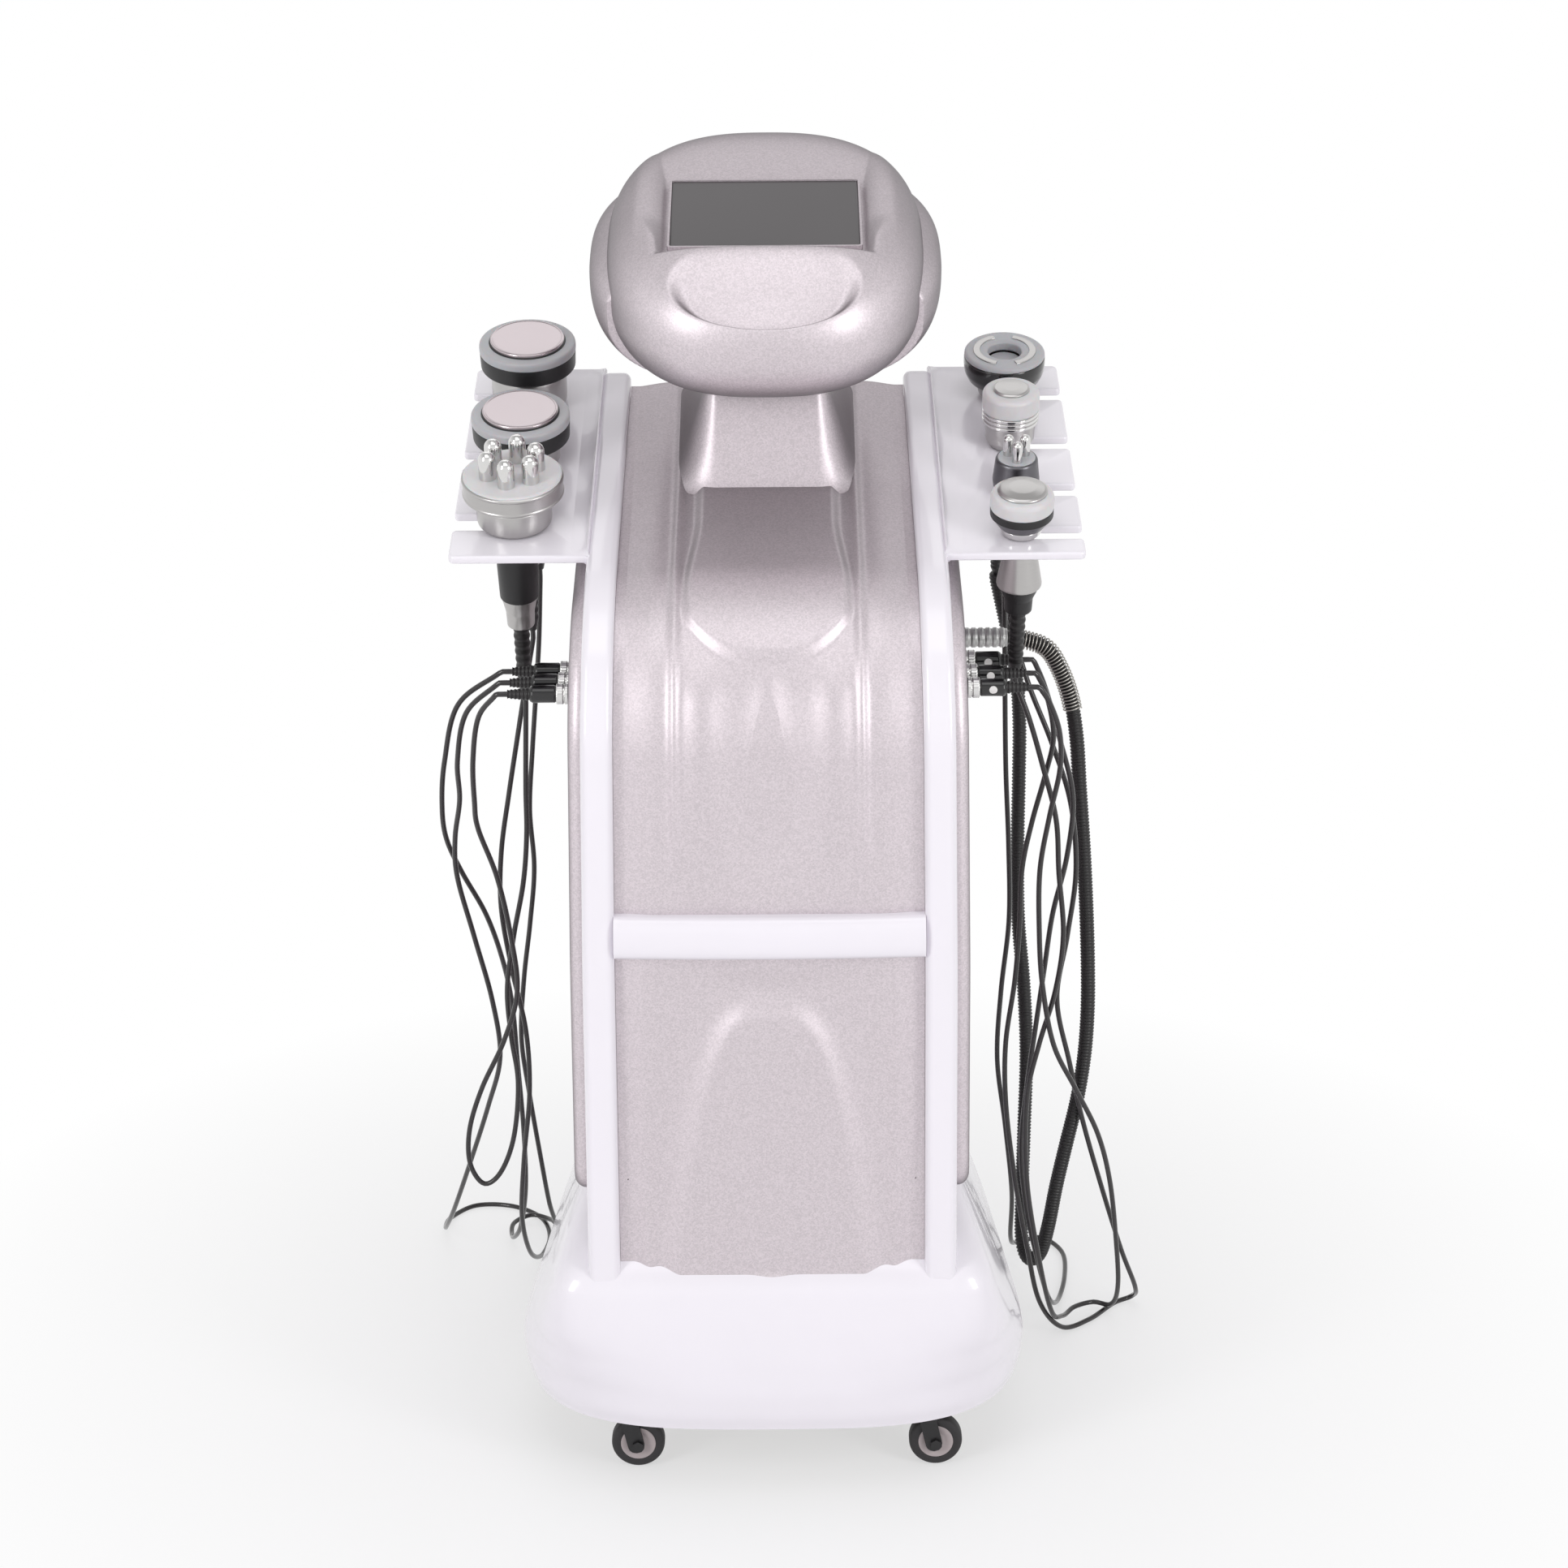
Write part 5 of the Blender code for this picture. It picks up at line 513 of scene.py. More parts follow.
# Each handpiece's place along the deck in m, and how far it reaches below the tray in mm
SLOTS = {
    "left_front": (0.18860, 187), "left_middle": (0.29648, 187), "left_rear": (0.40436, 187),
    "right_front": (0.16424, 150), "right_second": (0.23732, 130), "right_third": (0.32084, 130),
    "right_rear": (0.41132, 200),
}
TRAY_FROM, TRAY_LONG, TRAY_TIP, SLOT_X = 0.130, 0.337, 0.297, 0.2385
SHELF_TOP = -0.002  # over the deck's plane
DOWN = Vector((0, sin(SLOPE), -cos(SLOPE)))
HEIGHTS, WIDTH_SHARES = (0.2, 0.508, 0.739, 0.97), (1, 0.98933, 0.96733, 0.93333)


def narrowing(z):
    """How much narrower the body is at a height, with the bends of the table eased over 40 mm."""
    eased = [np.interp(z + d, HEIGHTS, WIDTH_SHARES) for d in (-0.02, -0.01, 0, 0.01, 0.02)]
    return sum(eased) / len(eased)


def side_of(name):
    """-1 for what is at the viewer's left, 1 for what is at the right."""
    return -1 if name.startswith("left") else 1


def seat_of(hand):
    """Where a handpiece stands: the middle of its slot, on the shelf's top."""
    place = DECK @ Vector((0, SLOTS[hand][0], SHELF_TOP))
    place.x = side_of(hand) * SLOT_X * narrowing(place.z)
    return place


def catmull(points, per_piece=12):
    """Points on the Catmull-Rom curve through the given ones, each from its four neighbours."""
    p = np.array(points, float)
    p = np.vstack([2 * p[0] - p[1], p, 2 * p[-1] - p[-2]])
    t = np.linspace(0, 1, per_piece, endpoint=False)[None, :, None]
    a, b, c, d = (p[i : len(p) - 3 + i, None, :] for i in range(4))
    curve = 0.5 * (2 * b + (c - a) * t + (2 * a - 5 * b + 4 * c - d) * t**2 + (3 * b - a - 3 * c + d) * t**3)
    return np.vstack([curve.reshape(-1, 3), p[-2]])


def walk(line):
    """The distance along a polyline to each of its points."""
    return np.concatenate([[0], np.cumsum(np.linalg.norm(np.diff(line, axis=0), axis=1))])


def resampled(line, walked, at):
    """The polyline's points at given distances along it."""
    return np.stack([np.interp(at, walked, column) for column in line.T], axis=1)


def cord_line(start, hand, route, lead, count):
    """A cord's centreline: straight out of its plug, along its route, and straight into its handpiece.

    Its points are evenly spaced, and its length comes with them."""
    start, out, down = np.array(start), np.array([side_of(hand), 0, 0]), np.array(DOWN)
    end = np.array(seat_of(hand) + DOWN * SLOTS[hand][1] * MM)
    middle = catmull([start + out * lead, *route, end + down * lead])
    line = np.vstack([start + out * 0.0003, middle, end + down * 0.0003])
    walked = walk(line)
    return resampled(line, walked, np.linspace(0, walked[-1], count)), walked[-1]


# %% [markdown]
# The six thin cords are 5 mm across. Each is a curve object with a round bevel, because cords this
# thin need no mesh of their own.

# %% Thin cords
# Each cord's handpiece, route and length
CORDS = {
    "left_front": ("left_front", LEFT_FRONT_ROUTE, 1.134),
    "left_middle": ("left_middle", LEFT_MIDDLE_ROUTE, 1.901),
    "left_rear": ("left_rear", LEFT_REAR_ROUTE, 1.731),
    "right_front": ("right_front", RIGHT_FRONT_ROUTE, 1.618),
    "right_middle": ("right_second", RIGHT_MIDDLE_ROUTE, 1.693),
    "right_rear": ("right_third", RIGHT_REAR_ROUTE, 1.805),
}
CORD_RADIUS, CORD_LEAD = 0.0025, 0.010


def add_spline(curve, points):
    """A straight-sided spline through points in space."""
    spline = curve.splines.new("POLY")
    spline.points.add(len(points) - 1)
    spline.points.foreach_set("co", np.hstack([points, np.ones((len(points), 1))]).ravel())
    return spline


def add_tube_curve(name, line, radius, finish, resolution=5):
    """A round tube along a polyline, as a curve with filled ends."""
    curve = bpy.data.curves.new(name, "CURVE")
    curve.dimensions = "3D"
    curve.bevel_depth = radius
    curve.bevel_resolution = resolution
    curve.use_fill_caps = True
    add_spline(curve, line).use_smooth = True
    curve.materials.append(finish)
    tube = add_object(name, curve)
    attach(tube, "machine")
    return tube


for name, (hand, route, length) in CORDS.items():
    start = (side_of(name) * (SOCKET_X + PLUG_LENGTH), PLUGS[name], PLUG_Z)
    line, walked = cord_line(start, hand, route, CORD_LEAD, 420)
    cord = add_tube_curve("flex_" + name, line, CORD_RADIUS, JACKET)
    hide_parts("cord_" + name)
    print("cord %s is %.3f m long" % (name, walked))

# %% [markdown]
# The vacuum hose is corrugated so that it bends without closing. Its radius rises and falls along
# its length, r = R - d sin^2(pi s / pitch), one rib each 3.4 mm, and a steel coil spring keeps it
# from kinking where it leaves its fitting.

# %% Vacuum hose and its spring
HOSE_RADIUS, RIB_PITCH, RIB_DEPTH = 0.0072, 0.0034, 0.0011
SPRING_TURNS, SPRING_FROM, SPRING_TO = 30, 0.006, 0.106
SPRING_RADIUS, WIRE_RADIUS = HOSE_RADIUS + 0.0013, 0.0007


def around(line):
    """Two unit directions square to a line at each of its points."""
    ahead = np.gradient(line, axis=0)
    ahead /= np.linalg.norm(ahead, axis=1, keepdims=True)
    side = np.cross(ahead, np.array([0.0, 1.0, 0.0]))
    side /= np.linalg.norm(side, axis=1, keepdims=True)
    return side, np.cross(ahead, side)


line, walked = cord_line((SOCKET_X + HOSE_START, HOSE_Y, PLUG_Z), "right_rear", HOSE_ROUTE, HOSE_RADIUS, 2400)
side, up = around(line)
s = np.linspace(0, walked, len(line))
radius = HOSE_RADIUS - RIB_DEPTH * np.sin(pi * s / RIB_PITCH) ** 2
angle = np.linspace(0, 2 * pi, 20, endpoint=False)
rows = line[:, None] + radius[:, None, None] * (
    np.cos(angle)[None, :, None] * side[:, None] + np.sin(angle)[None, :, None] * up[:, None])
hose = add_piece("corrugated_hose", surface("corrugated_hose", rows, sharp=80), RUBBER,
                 replaces=["vacuum_hose"])

at = resampled(line, s, np.linspace(SPRING_FROM, SPRING_TO, SPRING_TURNS * 24))
side, up = around(at)
turn = np.linspace(0, 2 * pi * SPRING_TURNS, len(at))[:, None]
coil = at + (np.cos(turn) * side + np.sin(turn) * up) * SPRING_RADIUS
spring = add_tube_curve("coil_spring", coil, WIRE_RADIUS, ZINC, 3)
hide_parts("hose_spring")
print("hose is %.3f m long" % walked)

# %% [markdown]
# ## Plugs
# Each plug is a turned stack: a chromed ring nut, a glossy black body and a ribbed boot that tapers
# to the cord. The knurl on the nut is real geometry, r = R (1 + k cos 30a), because it shows.

# %% Plugs
KNURLS = 30
BODY_RADIUS, STICKER_RADIUS, STICKER_AT = 0.0080, 0.0036, 0.0240


def outward(side, y, z=PLUG_Z):
    """A frame on the socket strip's face whose Z points away from the body."""
    return Matrix.Translation((side * SOCKET_X, y, z)) @ Matrix.Rotation(side * pi / 2, 4, "Y")


def ribbed(start, end, radius_from, radius_to, ribs, depth):
    """A boot's profile between two heights, with round ribs, narrowing towards its end."""
    t = np.linspace(0, 1, ribs * 8 + 1)
    radius = radius_from + (radius_to - radius_from) * t - depth * np.sin(pi * ribs * t) ** 2
    return list(zip(radius, start + (end - start) * t))


def add_plug(name, y):
    """A plug's nut, body and boot. The nut stands for the CAD plug."""
    lay = outward(side_of(name), y)
    line = soften(in_metres([(6, 0.6), (8.8, 0.6), (9.4, 1.4), (9.4, 4.2), (8.6, 4.7), (8.6, 5.6), (9.4, 6.1),
                             (9.4, 11.2), (8.8, 12), (6, 12)]), 0.3 * MM)
    angle = np.linspace(0, 2 * pi, 6 * KNURLS, endpoint=False)
    knurl = 1 - 0.022 * (0.5 + 0.5 * np.cos(KNURLS * angle))[None] * (line[:, :1] > 9 * MM)
    add_piece("nut_" + name, surface("nut_" + name, turned(line, angle, knurl), lay), CHROME,
              replaces=["plug_" + name])
    body = [(7.2, 11.5), (7.2, 12.8), (8, 13.4), (8, 33.5), (6.6, 35.8)]
    add_piece("plug_body_" + name, lathe("plug_body_" + name, body, lay, 0.8), GLOSS_BLACK)
    boot = ribbed(35, PLUG_LENGTH / MM, 6.2, 4, 6, 0.7)
    add_piece("plug_boot_" + name, lathe("plug_boot_" + name, boot, lay, 0.1, 40), RUBBER)


def add_sticker(name, y):
    """A plain round sticker that lies round the front of a plug's body."""
    r = np.linspace(0, STICKER_RADIUS, 8)[:, None]
    a = np.linspace(0, 2 * pi, 40, endpoint=False)[None]
    u, w = r * np.cos(a), r * np.sin(a)
    lie = PLUG_Z + (BODY_RADIUS + 0.0002) * np.sin(w / BODY_RADIUS)
    outer, under = [np.stack([side_of(name) * (SOCKET_X + STICKER_AT) + u,
                              y - (BODY_RADIUS + lift) * np.cos(w / BODY_RADIUS), lie], axis=-1)
                    for lift in (0.0002, -0.0004)]
    add_piece("sticker_" + name, surface("sticker_" + name, np.concatenate([outer, under[::-1]])), STICKER)


for name, y in PLUGS.items():
    add_plug(name, y)
    if side_of(name) > 0:
        add_sticker(name, y)

# The hose fitting: a pale metal sleeve with rings, like the barb it grips the hose with
sleeve = [(8.2, 0.4), (8.2, 5)]
for low in np.arange(6) * 6.6 + 5.5:
    sleeve += [(8.4, low), (9.5, low + 0.8), (9.5, low + 4), (8.6, low + 4.8)]
sleeve += [(8.6, HOSE_START / MM)]
add_piece("hose_sleeve", lathe("hose_sleeve", sleeve, outward(1, HOSE_Y), 0.4), BARE,
          replaces=["hose_fitting"])

# %% [markdown]
# ## The body
# Seen from the side the body is a tall block whose front rolls over a wide shoulder into a deck
# that rises at 16 degrees. Bands, panels and sides all follow that one outline at different insets,
# so it is written once as a function. The body also narrows a little towards the top.

# %% The outline of the body's side
HALF, FOOT_Z = 0.168, 0.156
SHOULDER, REAR_ROUND = 0.155, 0.012


def deck_height(y):
    """The height of the deck's plane at y."""
    return DECK_FOOT + (y + BODY_FRONT) * tan(SLOPE)


def body_path(inset, foot=FOOT_Z, counts=(90, 60, 70, 8, 60)):
    """(y, z) arrays from the front foot over the shoulder and deck to the rear foot, at each inset.

    Straight up, the shoulder's arc, straight along the deck, a small arc, straight down."""
    inset = np.atleast_1d(np.asarray(inset, float))[:, None]
    yc = -BODY_FRONT + SHOULDER
    zc = deck_height(yc) - SHOULDER / cos(SLOPE)
    radius = SHOULDER - inset
    rear_radius = REAR_ROUND - np.minimum(inset, REAR_ROUND / 2)
    rear_yc = BODY_REAR - inset - rear_radius
    rear_zc = deck_height(rear_yc) - (inset + rear_radius) / cos(SLOPE)
    t = [np.linspace(0, 1, n)[None] for n in counts]
    a1 = pi + (pi / 2 + SLOPE - pi) * t[1]
    a2 = (pi / 2 + SLOPE) * (1 - t[3])
    arc_y, arc_z = yc + radius * np.cos(a1), zc + radius * np.sin(a1)
    rear_y, rear_z = rear_yc + rear_radius * np.cos(a2), rear_zc + rear_radius * np.sin(a2)
    front_z = foot + (zc - foot) * t[0]
    deck_y = arc_y[:, -1:] + (rear_y[:, :1] - arc_y[:, -1:]) * t[2]
    deck_z = arc_z[:, -1:] + (rear_z[:, :1] - arc_z[:, -1:]) * t[2]
    down_z = rear_z[:, -1:] + (foot - rear_z[:, -1:]) * t[4]
    y = np.hstack([-BODY_FRONT + inset + 0 * front_z, arc_y[:, 1:], deck_y[:, 1:], rear_y[:, 1:],
                   BODY_REAR - inset + 0 * down_z[:, 1:]])
    z = np.hstack([front_z + 0 * inset, arc_z[:, 1:], deck_z[:, 1:], rear_z[:, 1:], down_z[:, 1:]])
    return y, z


# %% [markdown]
# The two white bands are mouldings with soft edges. A rounded rectangle is carried along the
# outline; its depth is the inset, so both its faces stay parallel to the body round the shoulder.

# %% White bands
def rounded_box(x_from, x_to, y_from, y_to, radius, steps=8):
    """A rectangle with quarter-round corners, as a ring of points."""
    a = np.linspace(0, pi / 2, steps)
    corners = [(x_to - radius, y_to - radius, 0), (x_from + radius, y_to - radius, pi / 2),
               (x_from + radius, y_from + radius, pi), (x_to - radius, y_from + radius, 3 * pi / 2)]
    return np.vstack([np.stack([x + radius * np.cos(a + t), y + radius * np.sin(a + t)], axis=1)
                      for x, y, t in corners])


BAND_WIDE, BAND_DEEP, BAND_ROUND = 0.029, 0.030, 0.0075
ring = rounded_box(HALF - BAND_WIDE, HALF, 0.0, BAND_DEEP, BAND_ROUND)
y, z = body_path(ring[:, 1])
for side, name in ((-1, "left"), (1, "right")):
    rows = np.stack([side * ring[:, :1] * narrowing(z), y, z], axis=-1).transpose(1, 0, 2)
    add_piece("band_" + name, surface("band_" + name, rows), WHITE,
              replaces=["side_band_" + name])

# %% [markdown]
# The cross bar joins the bands below the middle. Its face is domed from top to bottom and bows
# forward slightly in the middle, so the lamps make one soft bar in it.

# %% Cross bar
BAR_Z, BAR_HALF, BAR_LONG, BAR_DEEP = 0.555, 0.020, HALF - 0.0285, 0.014
BAR_FRONT, BAR_BOW, BAR_BACK = 0.228, 0.004, -0.203
x = np.linspace(-BAR_LONG, BAR_LONG, 60)[:, None]
a = np.linspace(-pi / 2, pi / 2, 40)[None]
front = BAR_FRONT + BAR_BOW * (1 - (x / BAR_LONG) ** 2)
depth = BAR_DEEP * np.abs(np.cos(a)) ** 0.55
z = BAR_Z + BAR_HALF * signed_power(np.sin(a), 0.75) + 0 * x
face = np.stack([x * narrowing(z), -front + BAR_DEEP - depth + 0 * z, z], axis=-1)
back = face.copy()
back[:, :, 1] = BAR_BACK
add_piece("bar_moulding", slab("bar_moulding", face, back), WHITE,
          replaces=["cross_bar"])

# %% [markdown]
# The lower panel is a vacuum-formed sheet with a tall arch pressed out of it. The arch's edge is
# where z = top - k |x|^3.33, and the sheet rises 5 mm over a soft step there, with a shallow groove
# just outside. Its sides roll back towards the bands, and its foot folds out over the skirt.

# %% Lower front panel
PANEL_Y, PANEL_HALF = -0.216, 0.1388
ARCH_TOP, ARCH_DROP, ARCH_HALF, ARCH_POWER = 0.4852, 0.0711, 0.0628, 3.33
x = np.linspace(-PANEL_HALF, PANEL_HALF, 180)[None]
z = np.linspace(FOOT_Z, BAR_Z - BAR_HALF + 0.004, 240)[:, None]
across = np.abs(x)
drop = ARCH_DROP * (across / ARCH_HALF) ** ARCH_POWER
slope = ARCH_POWER * ARCH_DROP / ARCH_HALF * (across / ARCH_HALF) ** (ARCH_POWER - 1)
inside = (ARCH_TOP - drop - z) / np.sqrt(1 + slope**2)
relief = 0.0050 * smooth_step(inside / 0.022 + 0.5) - 0.0030 * swell(inside + 0.020, 0.014)
relief = relief - 0.0045 * smooth_step((across - 0.112) / 0.028) + 0.0022 * swell(across - 0.112, 0.007)
fold = 0.0040 * smooth_step((0.222 + 0.004 * np.cos(x / 0.139 * 2.5 * pi) - z) / 0.012)
face = np.stack([x * narrowing(z), PANEL_Y - relief - fold, z + 0 * x], axis=-1)
back = face.copy()
back[:, :, 1] = PANEL_Y + 0.005
add_piece("lower_panel", slab("lower_panel", face, back), SILVER,
          replaces=["lower_front_panel"])

# %% [markdown]
# The upper panel runs from the bar over the shoulder to the back of the deck. On the real machine
# it is one pressing, and its forms are soft: two thin flutes near the sides, a shield below the
# head, and a valley under the shield's tip. Each is a term added to how far the sheet stands out,
# as a function of x and of the distance along the outline.

# %% Upper front panel
def upper_relief(x, s):
    """How far the upper panel stands out, in metres, at x across and s along its outline.

    s is 0 at the foot, 0.40 at the cross bar, 0.56 where the shoulder starts and 0.75 where the deck does."""
    x = np.abs(x)
    flute = 0.0034 * swell(x - 0.0845, 0.0045) * smooth_step((s - 0.43) / 0.08)
    half = 0.071 + 0.010 * smooth_step((0.83 - s) / 0.12)
    low, high = 0.643 + 0.034 * (x / 0.070) ** 2.6, 0.925
    across = smooth_step((half - x) / 0.011)
    shield = 0.0055 * across * smooth_step((s - low) / 0.015) * smooth_step((high - s) / 0.040)
    under = smooth_step((0.665 - s) / 0.06) * smooth_step((s - 0.41) / 0.16)
    wide = 0.010 + np.minimum(0.16 * np.maximum(0.65 - s, 0), 0.028)
    valley = -0.30 * wide * swell(x, wide) * under
    ridges = 0.0055 * swell(x - 0.060, 0.019) * under
    sides = -0.0045 * smooth_step((x - 0.098) / 0.040)
    return flute + shield + valley + ridges + sides


PANEL_FROM = 0.412  # along the outline, just under the cross bar
REAR_POINTS = 66  # of the outline, from the deck's end to the rear foot
outline = np.vstack(body_path(0.008)).T
s = walk(outline)
fine = np.linspace(PANEL_FROM, s[-REAR_POINTS], 300)
x = np.linspace(-PANEL_HALF, PANEL_HALF, 160)
ys, zs = resampled(outline, s, fine).T
heading = np.stack([np.gradient(ys), np.gradient(zs)], axis=1)
heading /= np.linalg.norm(heading, axis=1, keepdims=True)
out_y, out_z = -heading[:, 1], heading[:, 0]
relief = upper_relief(x[None], fine[:, None])
sheets = []
for lift in (relief, -0.004 + 0 * relief):
    y = ys[:, None] + out_y[:, None] * lift
    z = zs[:, None] + out_z[:, None] * lift
    sheets.append(np.stack([x[None] * narrowing(z), y, z], axis=-1))
add_piece("upper_panel", slab("upper_panel", *sheets), SILVER,
          replaces=["upper_front_panel"])

# %% [markdown]
# The silver side panels bulge past the bands. Each is the outline again, with a quarter-round edge,
# closed by a face that is drawn in towards its middle so that it can follow the narrowing body.

# %% Side panels
SIDE_INSET, SIDE_FOOT, SIDE_FOOT_ROUND = 0.031, 0.288, 0.027
SIDE_FROM, SIDE_TO, SIDE_ROUND = 0.153, 0.181, 0.011
SIDE_MIDDLE = np.array([0.0, 0.56])


def side_outline(inset):
    """One closed ring of (y, z) for a side panel: the body's outline, with rounded feet."""
    foot, radius = SIDE_FOOT + inset, max(SIDE_FOOT_ROUND - inset, 0.004)
    ring = np.vstack(body_path(SIDE_INSET + inset, foot, counts=(60, 40, 50, 8, 60))).T
    a = np.linspace(pi / 2, 0, 14)[:, None]
    turn = np.hstack([-radius * np.sin(a), radius - radius * np.cos(a)])
    front_foot = ring[0] + np.array([radius, 0]) + turn
    rear_foot = ring[-1] - np.array([radius, 0]) + turn * np.array([-1, 1])
    keep = (ring[:, 1] > foot + radius) | (np.abs(ring[:, 0]) < 0.1)
    line = np.vstack([rear_foot, front_foot[::-1], ring[keep], rear_foot[:1]])
    walked = walk(line)
    return resampled(line, walked, np.linspace(0, walked[-1], 360, endpoint=False))


rows = [(SIDE_FROM, side_outline(0))]
for step in np.linspace(0, pi / 2, 9):
    rows.append((SIDE_TO - SIDE_ROUND * (1 - sin(step)), side_outline(SIDE_ROUND * (1 - cos(step)))))
flat = rows[-1][1]
for share in (0.85, 0.6, 0.35, 0.12):
    rows.append((SIDE_TO, SIDE_MIDDLE + (flat - SIDE_MIDDLE) * share))
for side, name in ((-1, "left"), (1, "right")):
    grid = np.array([np.column_stack([side * x * narrowing(ring[:, 1]), ring]) for x, ring in rows])
    add_piece("side_" + name, surface("side_" + name, grid), SILVER)

# %% [markdown]
# ## The skirt
# The base is a white bell. Every level is a superellipse, |x/a|^n + |y/b|^n = 1, nearly oval at the
# rim and squarer where it meets the body. The table gives a few levels, and smoothing it turns them
# into one flowing side. The inner wall is the same rings, 5 mm smaller.

# %% Base skirt
# Share of the height, then half width, front and rear reach, each as a share of its largest, and power
LEVELS = [
    (0, 0.972, 0.959, 0.967, 3.4), (0.06, 0.992, 0.986, 0.995, 3.4), (0.18, 1, 1, 1, 3.4),
    (0.34, 0.945, 0.993, 0.978, 5), (0.50, 0.888, 0.977, 0.956, 9), (0.66, 0.835, 0.955, 0.934, 14),
    (0.72, 0.812, 0.914, 0.923, 14), (0.86, 0.755, 0.765, 0.890, 8), (1, 0.706, 0.602, 0.857, 6),
]


def eased_table(table, share, width=0.05):
    """The table read at each share and averaged over a short width, so that its bends are soft."""
    table = np.array(table, float)
    spread = np.linspace(-width, width, 21)
    at = share[:, None] + spread[None]
    weight = 1 - np.abs(spread) / (width * 1.05)
    return [np.average(np.interp(at, table[:, 0], table[:, k]), axis=1, weights=weight)
            for k in range(1, table.shape[1])]


SKIRT_FOOT, SKIRT_TALL, WALL = 0.068, 0.217, 0.005
SKIRT_HALF, SKIRT_FRONT, SKIRT_REAR = 0.243, 0.241, 0.237


def skirt_rings(share, inset, steps=360):
    """Rings of the skirt at shares of its height, all drawn in by `inset`."""
    half, front, rear, power = (v[:, None] for v in eased_table(LEVELS, share))
    half, front, rear = SKIRT_HALF * half, SKIRT_FRONT * front, SKIRT_REAR * rear
    t = np.linspace(0, 2 * pi, steps, endpoint=False)[None]
    s, c = np.sin(t), np.cos(t)
    power = np.where(s < 0, power, np.maximum(power, 14))
    centre, reach = (rear - front) / 2, (rear + front) / 2 - inset
    y = centre + reach * signed_power(s, 2 / power)
    back = np.maximum(0, y + 0.115) / 0.352
    x = (half * (1 - 0.13 * back) - inset) * signed_power(c, 2 / power)
    return np.stack([x, y, SKIRT_FOOT + SKIRT_TALL * share[:, None] + 0 * x], axis=-1)


share = np.linspace(0, 1, 110)
rows = np.concatenate([skirt_rings(share, 0.0), skirt_rings(share, WALL)[::-1]])
add_piece("skirt", surface("skirt", rows, loop=True, sharp=50), WHITE,
          replaces=["base_shell"])

# %% [markdown]
# ## Neck
# The head stands on a ramp that flows out of the deck, and turns on a dark ring. The ramp's height is
# a product of three smooth steps: one up its front, one down its rear and one over its sides. The
# ring is a superellipse, |x/a|^p + |y/b|^p = 1.

# %% Neck block and ring
NECK_HALF, NECK_FROM, NECK_TO = 0.087, -0.112, 0.105
NECK_FOOT, NECK_TALL = -0.0100, 0.0957
RING_HALF, RING_POWER = 0.083, 3.6


def superellipse(half, power, steps=160):
    """A ring of points on |x/half|^p + |y/half|^p = 1."""
    t = np.linspace(0, 2 * pi, steps, endpoint=False)
    return half * signed_power(np.stack([np.cos(t), np.sin(t)], axis=1), 2 / power)


x = np.linspace(-NECK_HALF, NECK_HALF, 110)[None]
v = NECK_V + np.linspace(NECK_FROM, NECK_TO, 130)[:, None]
front = smooth_step((v - v[0]) / 0.070)
behind = smooth_step((v[-1] - v) / 0.030)
across = smooth_step((NECK_HALF - np.abs(x)) / 0.042)
face = np.stack([x + 0 * v, v + 0 * x, NECK_FOOT + NECK_TALL * front * behind * across], axis=-1)
back = face.copy()
back[:, :, 2] = NECK_FOOT - 0.0025
add_piece("neck_block", slab("neck_block", face, back, DECK), SILVER,
          replaces=["neck_pedestal"])
# The ring's section: how far in from its rim, and the height below the head's middle
SECTION = ((0.010, -0.0897), (0.001, -0.0897), (0, -0.0888), (0, -0.0832), (0.001, -0.0823), (0.010, -0.0823))
grid = [at_height(superellipse(RING_HALF - d, RING_POWER), n) for d, n in SECTION]
add_piece("turning_ring", surface("turning_ring", grid, HEAD), DARK_SILVER,
          replaces=["neck_ring"])

# %% [markdown]
# ## The head
# The pod is a superellipsoid, |x/a|^e + |v/b|^e + |n/c|^e = 1 in the head's own frame, where v
# points to the back and n away from the deck. It is sampled along even directions, then everything
# above a second surface, the screen's bay, is pressed down to that surface. A smooth minimum rounds
# the edges where they meet. The hollow that the fingers grip is taken out last, as a depth.

# %% Face of the head
FACE = (0.143, 0.185, 0.079)
POWER = 2.6
PARTING, CHIN = -0.012, -0.084
BAY_HALF, BAY_FRONT, BAY_REAR, BAY_FLOOR = 0.0885, -0.0895, 0.0575, 0.049
GRIP_DEEP = 0.021


def pod(axes, rings=230, steps=420):
    """Points of a superellipsoid along even directions of a stretched sphere, pole to pole."""
    a = np.linspace(-pi / 2, pi / 2, rings)[:, None]
    t = np.linspace(0, 2 * pi, steps, endpoint=False)[None]
    d = np.stack([np.cos(a) * np.cos(t), np.cos(a) * np.sin(t), np.sin(a) + 0 * t], axis=-1)
    size = (np.abs(d) ** POWER).sum(axis=-1) ** (-1 / POWER)
    return d * np.array(axes) * size[..., None]


def smooth_min(a, b, width):
    """The smaller of two heights, blended over a width where they are close."""
    h = np.clip(0.5 + 0.5 * (b - a) / width, 0, 1)
    return b + (a - b) * h - width * h * (1 - h)


def bay_floor(x, v):
    """The height of the screen bay: flat, with sides that rise outwards."""
    side = (np.abs(x) - BAY_HALF) / 0.044
    rear = 0.13 * (v - BAY_REAR) / 0.040
    front = (BAY_FRONT - v) / 0.044
    return BAY_FLOOR + 0.054 * np.maximum(np.maximum(np.maximum(side, rear), front), 0)


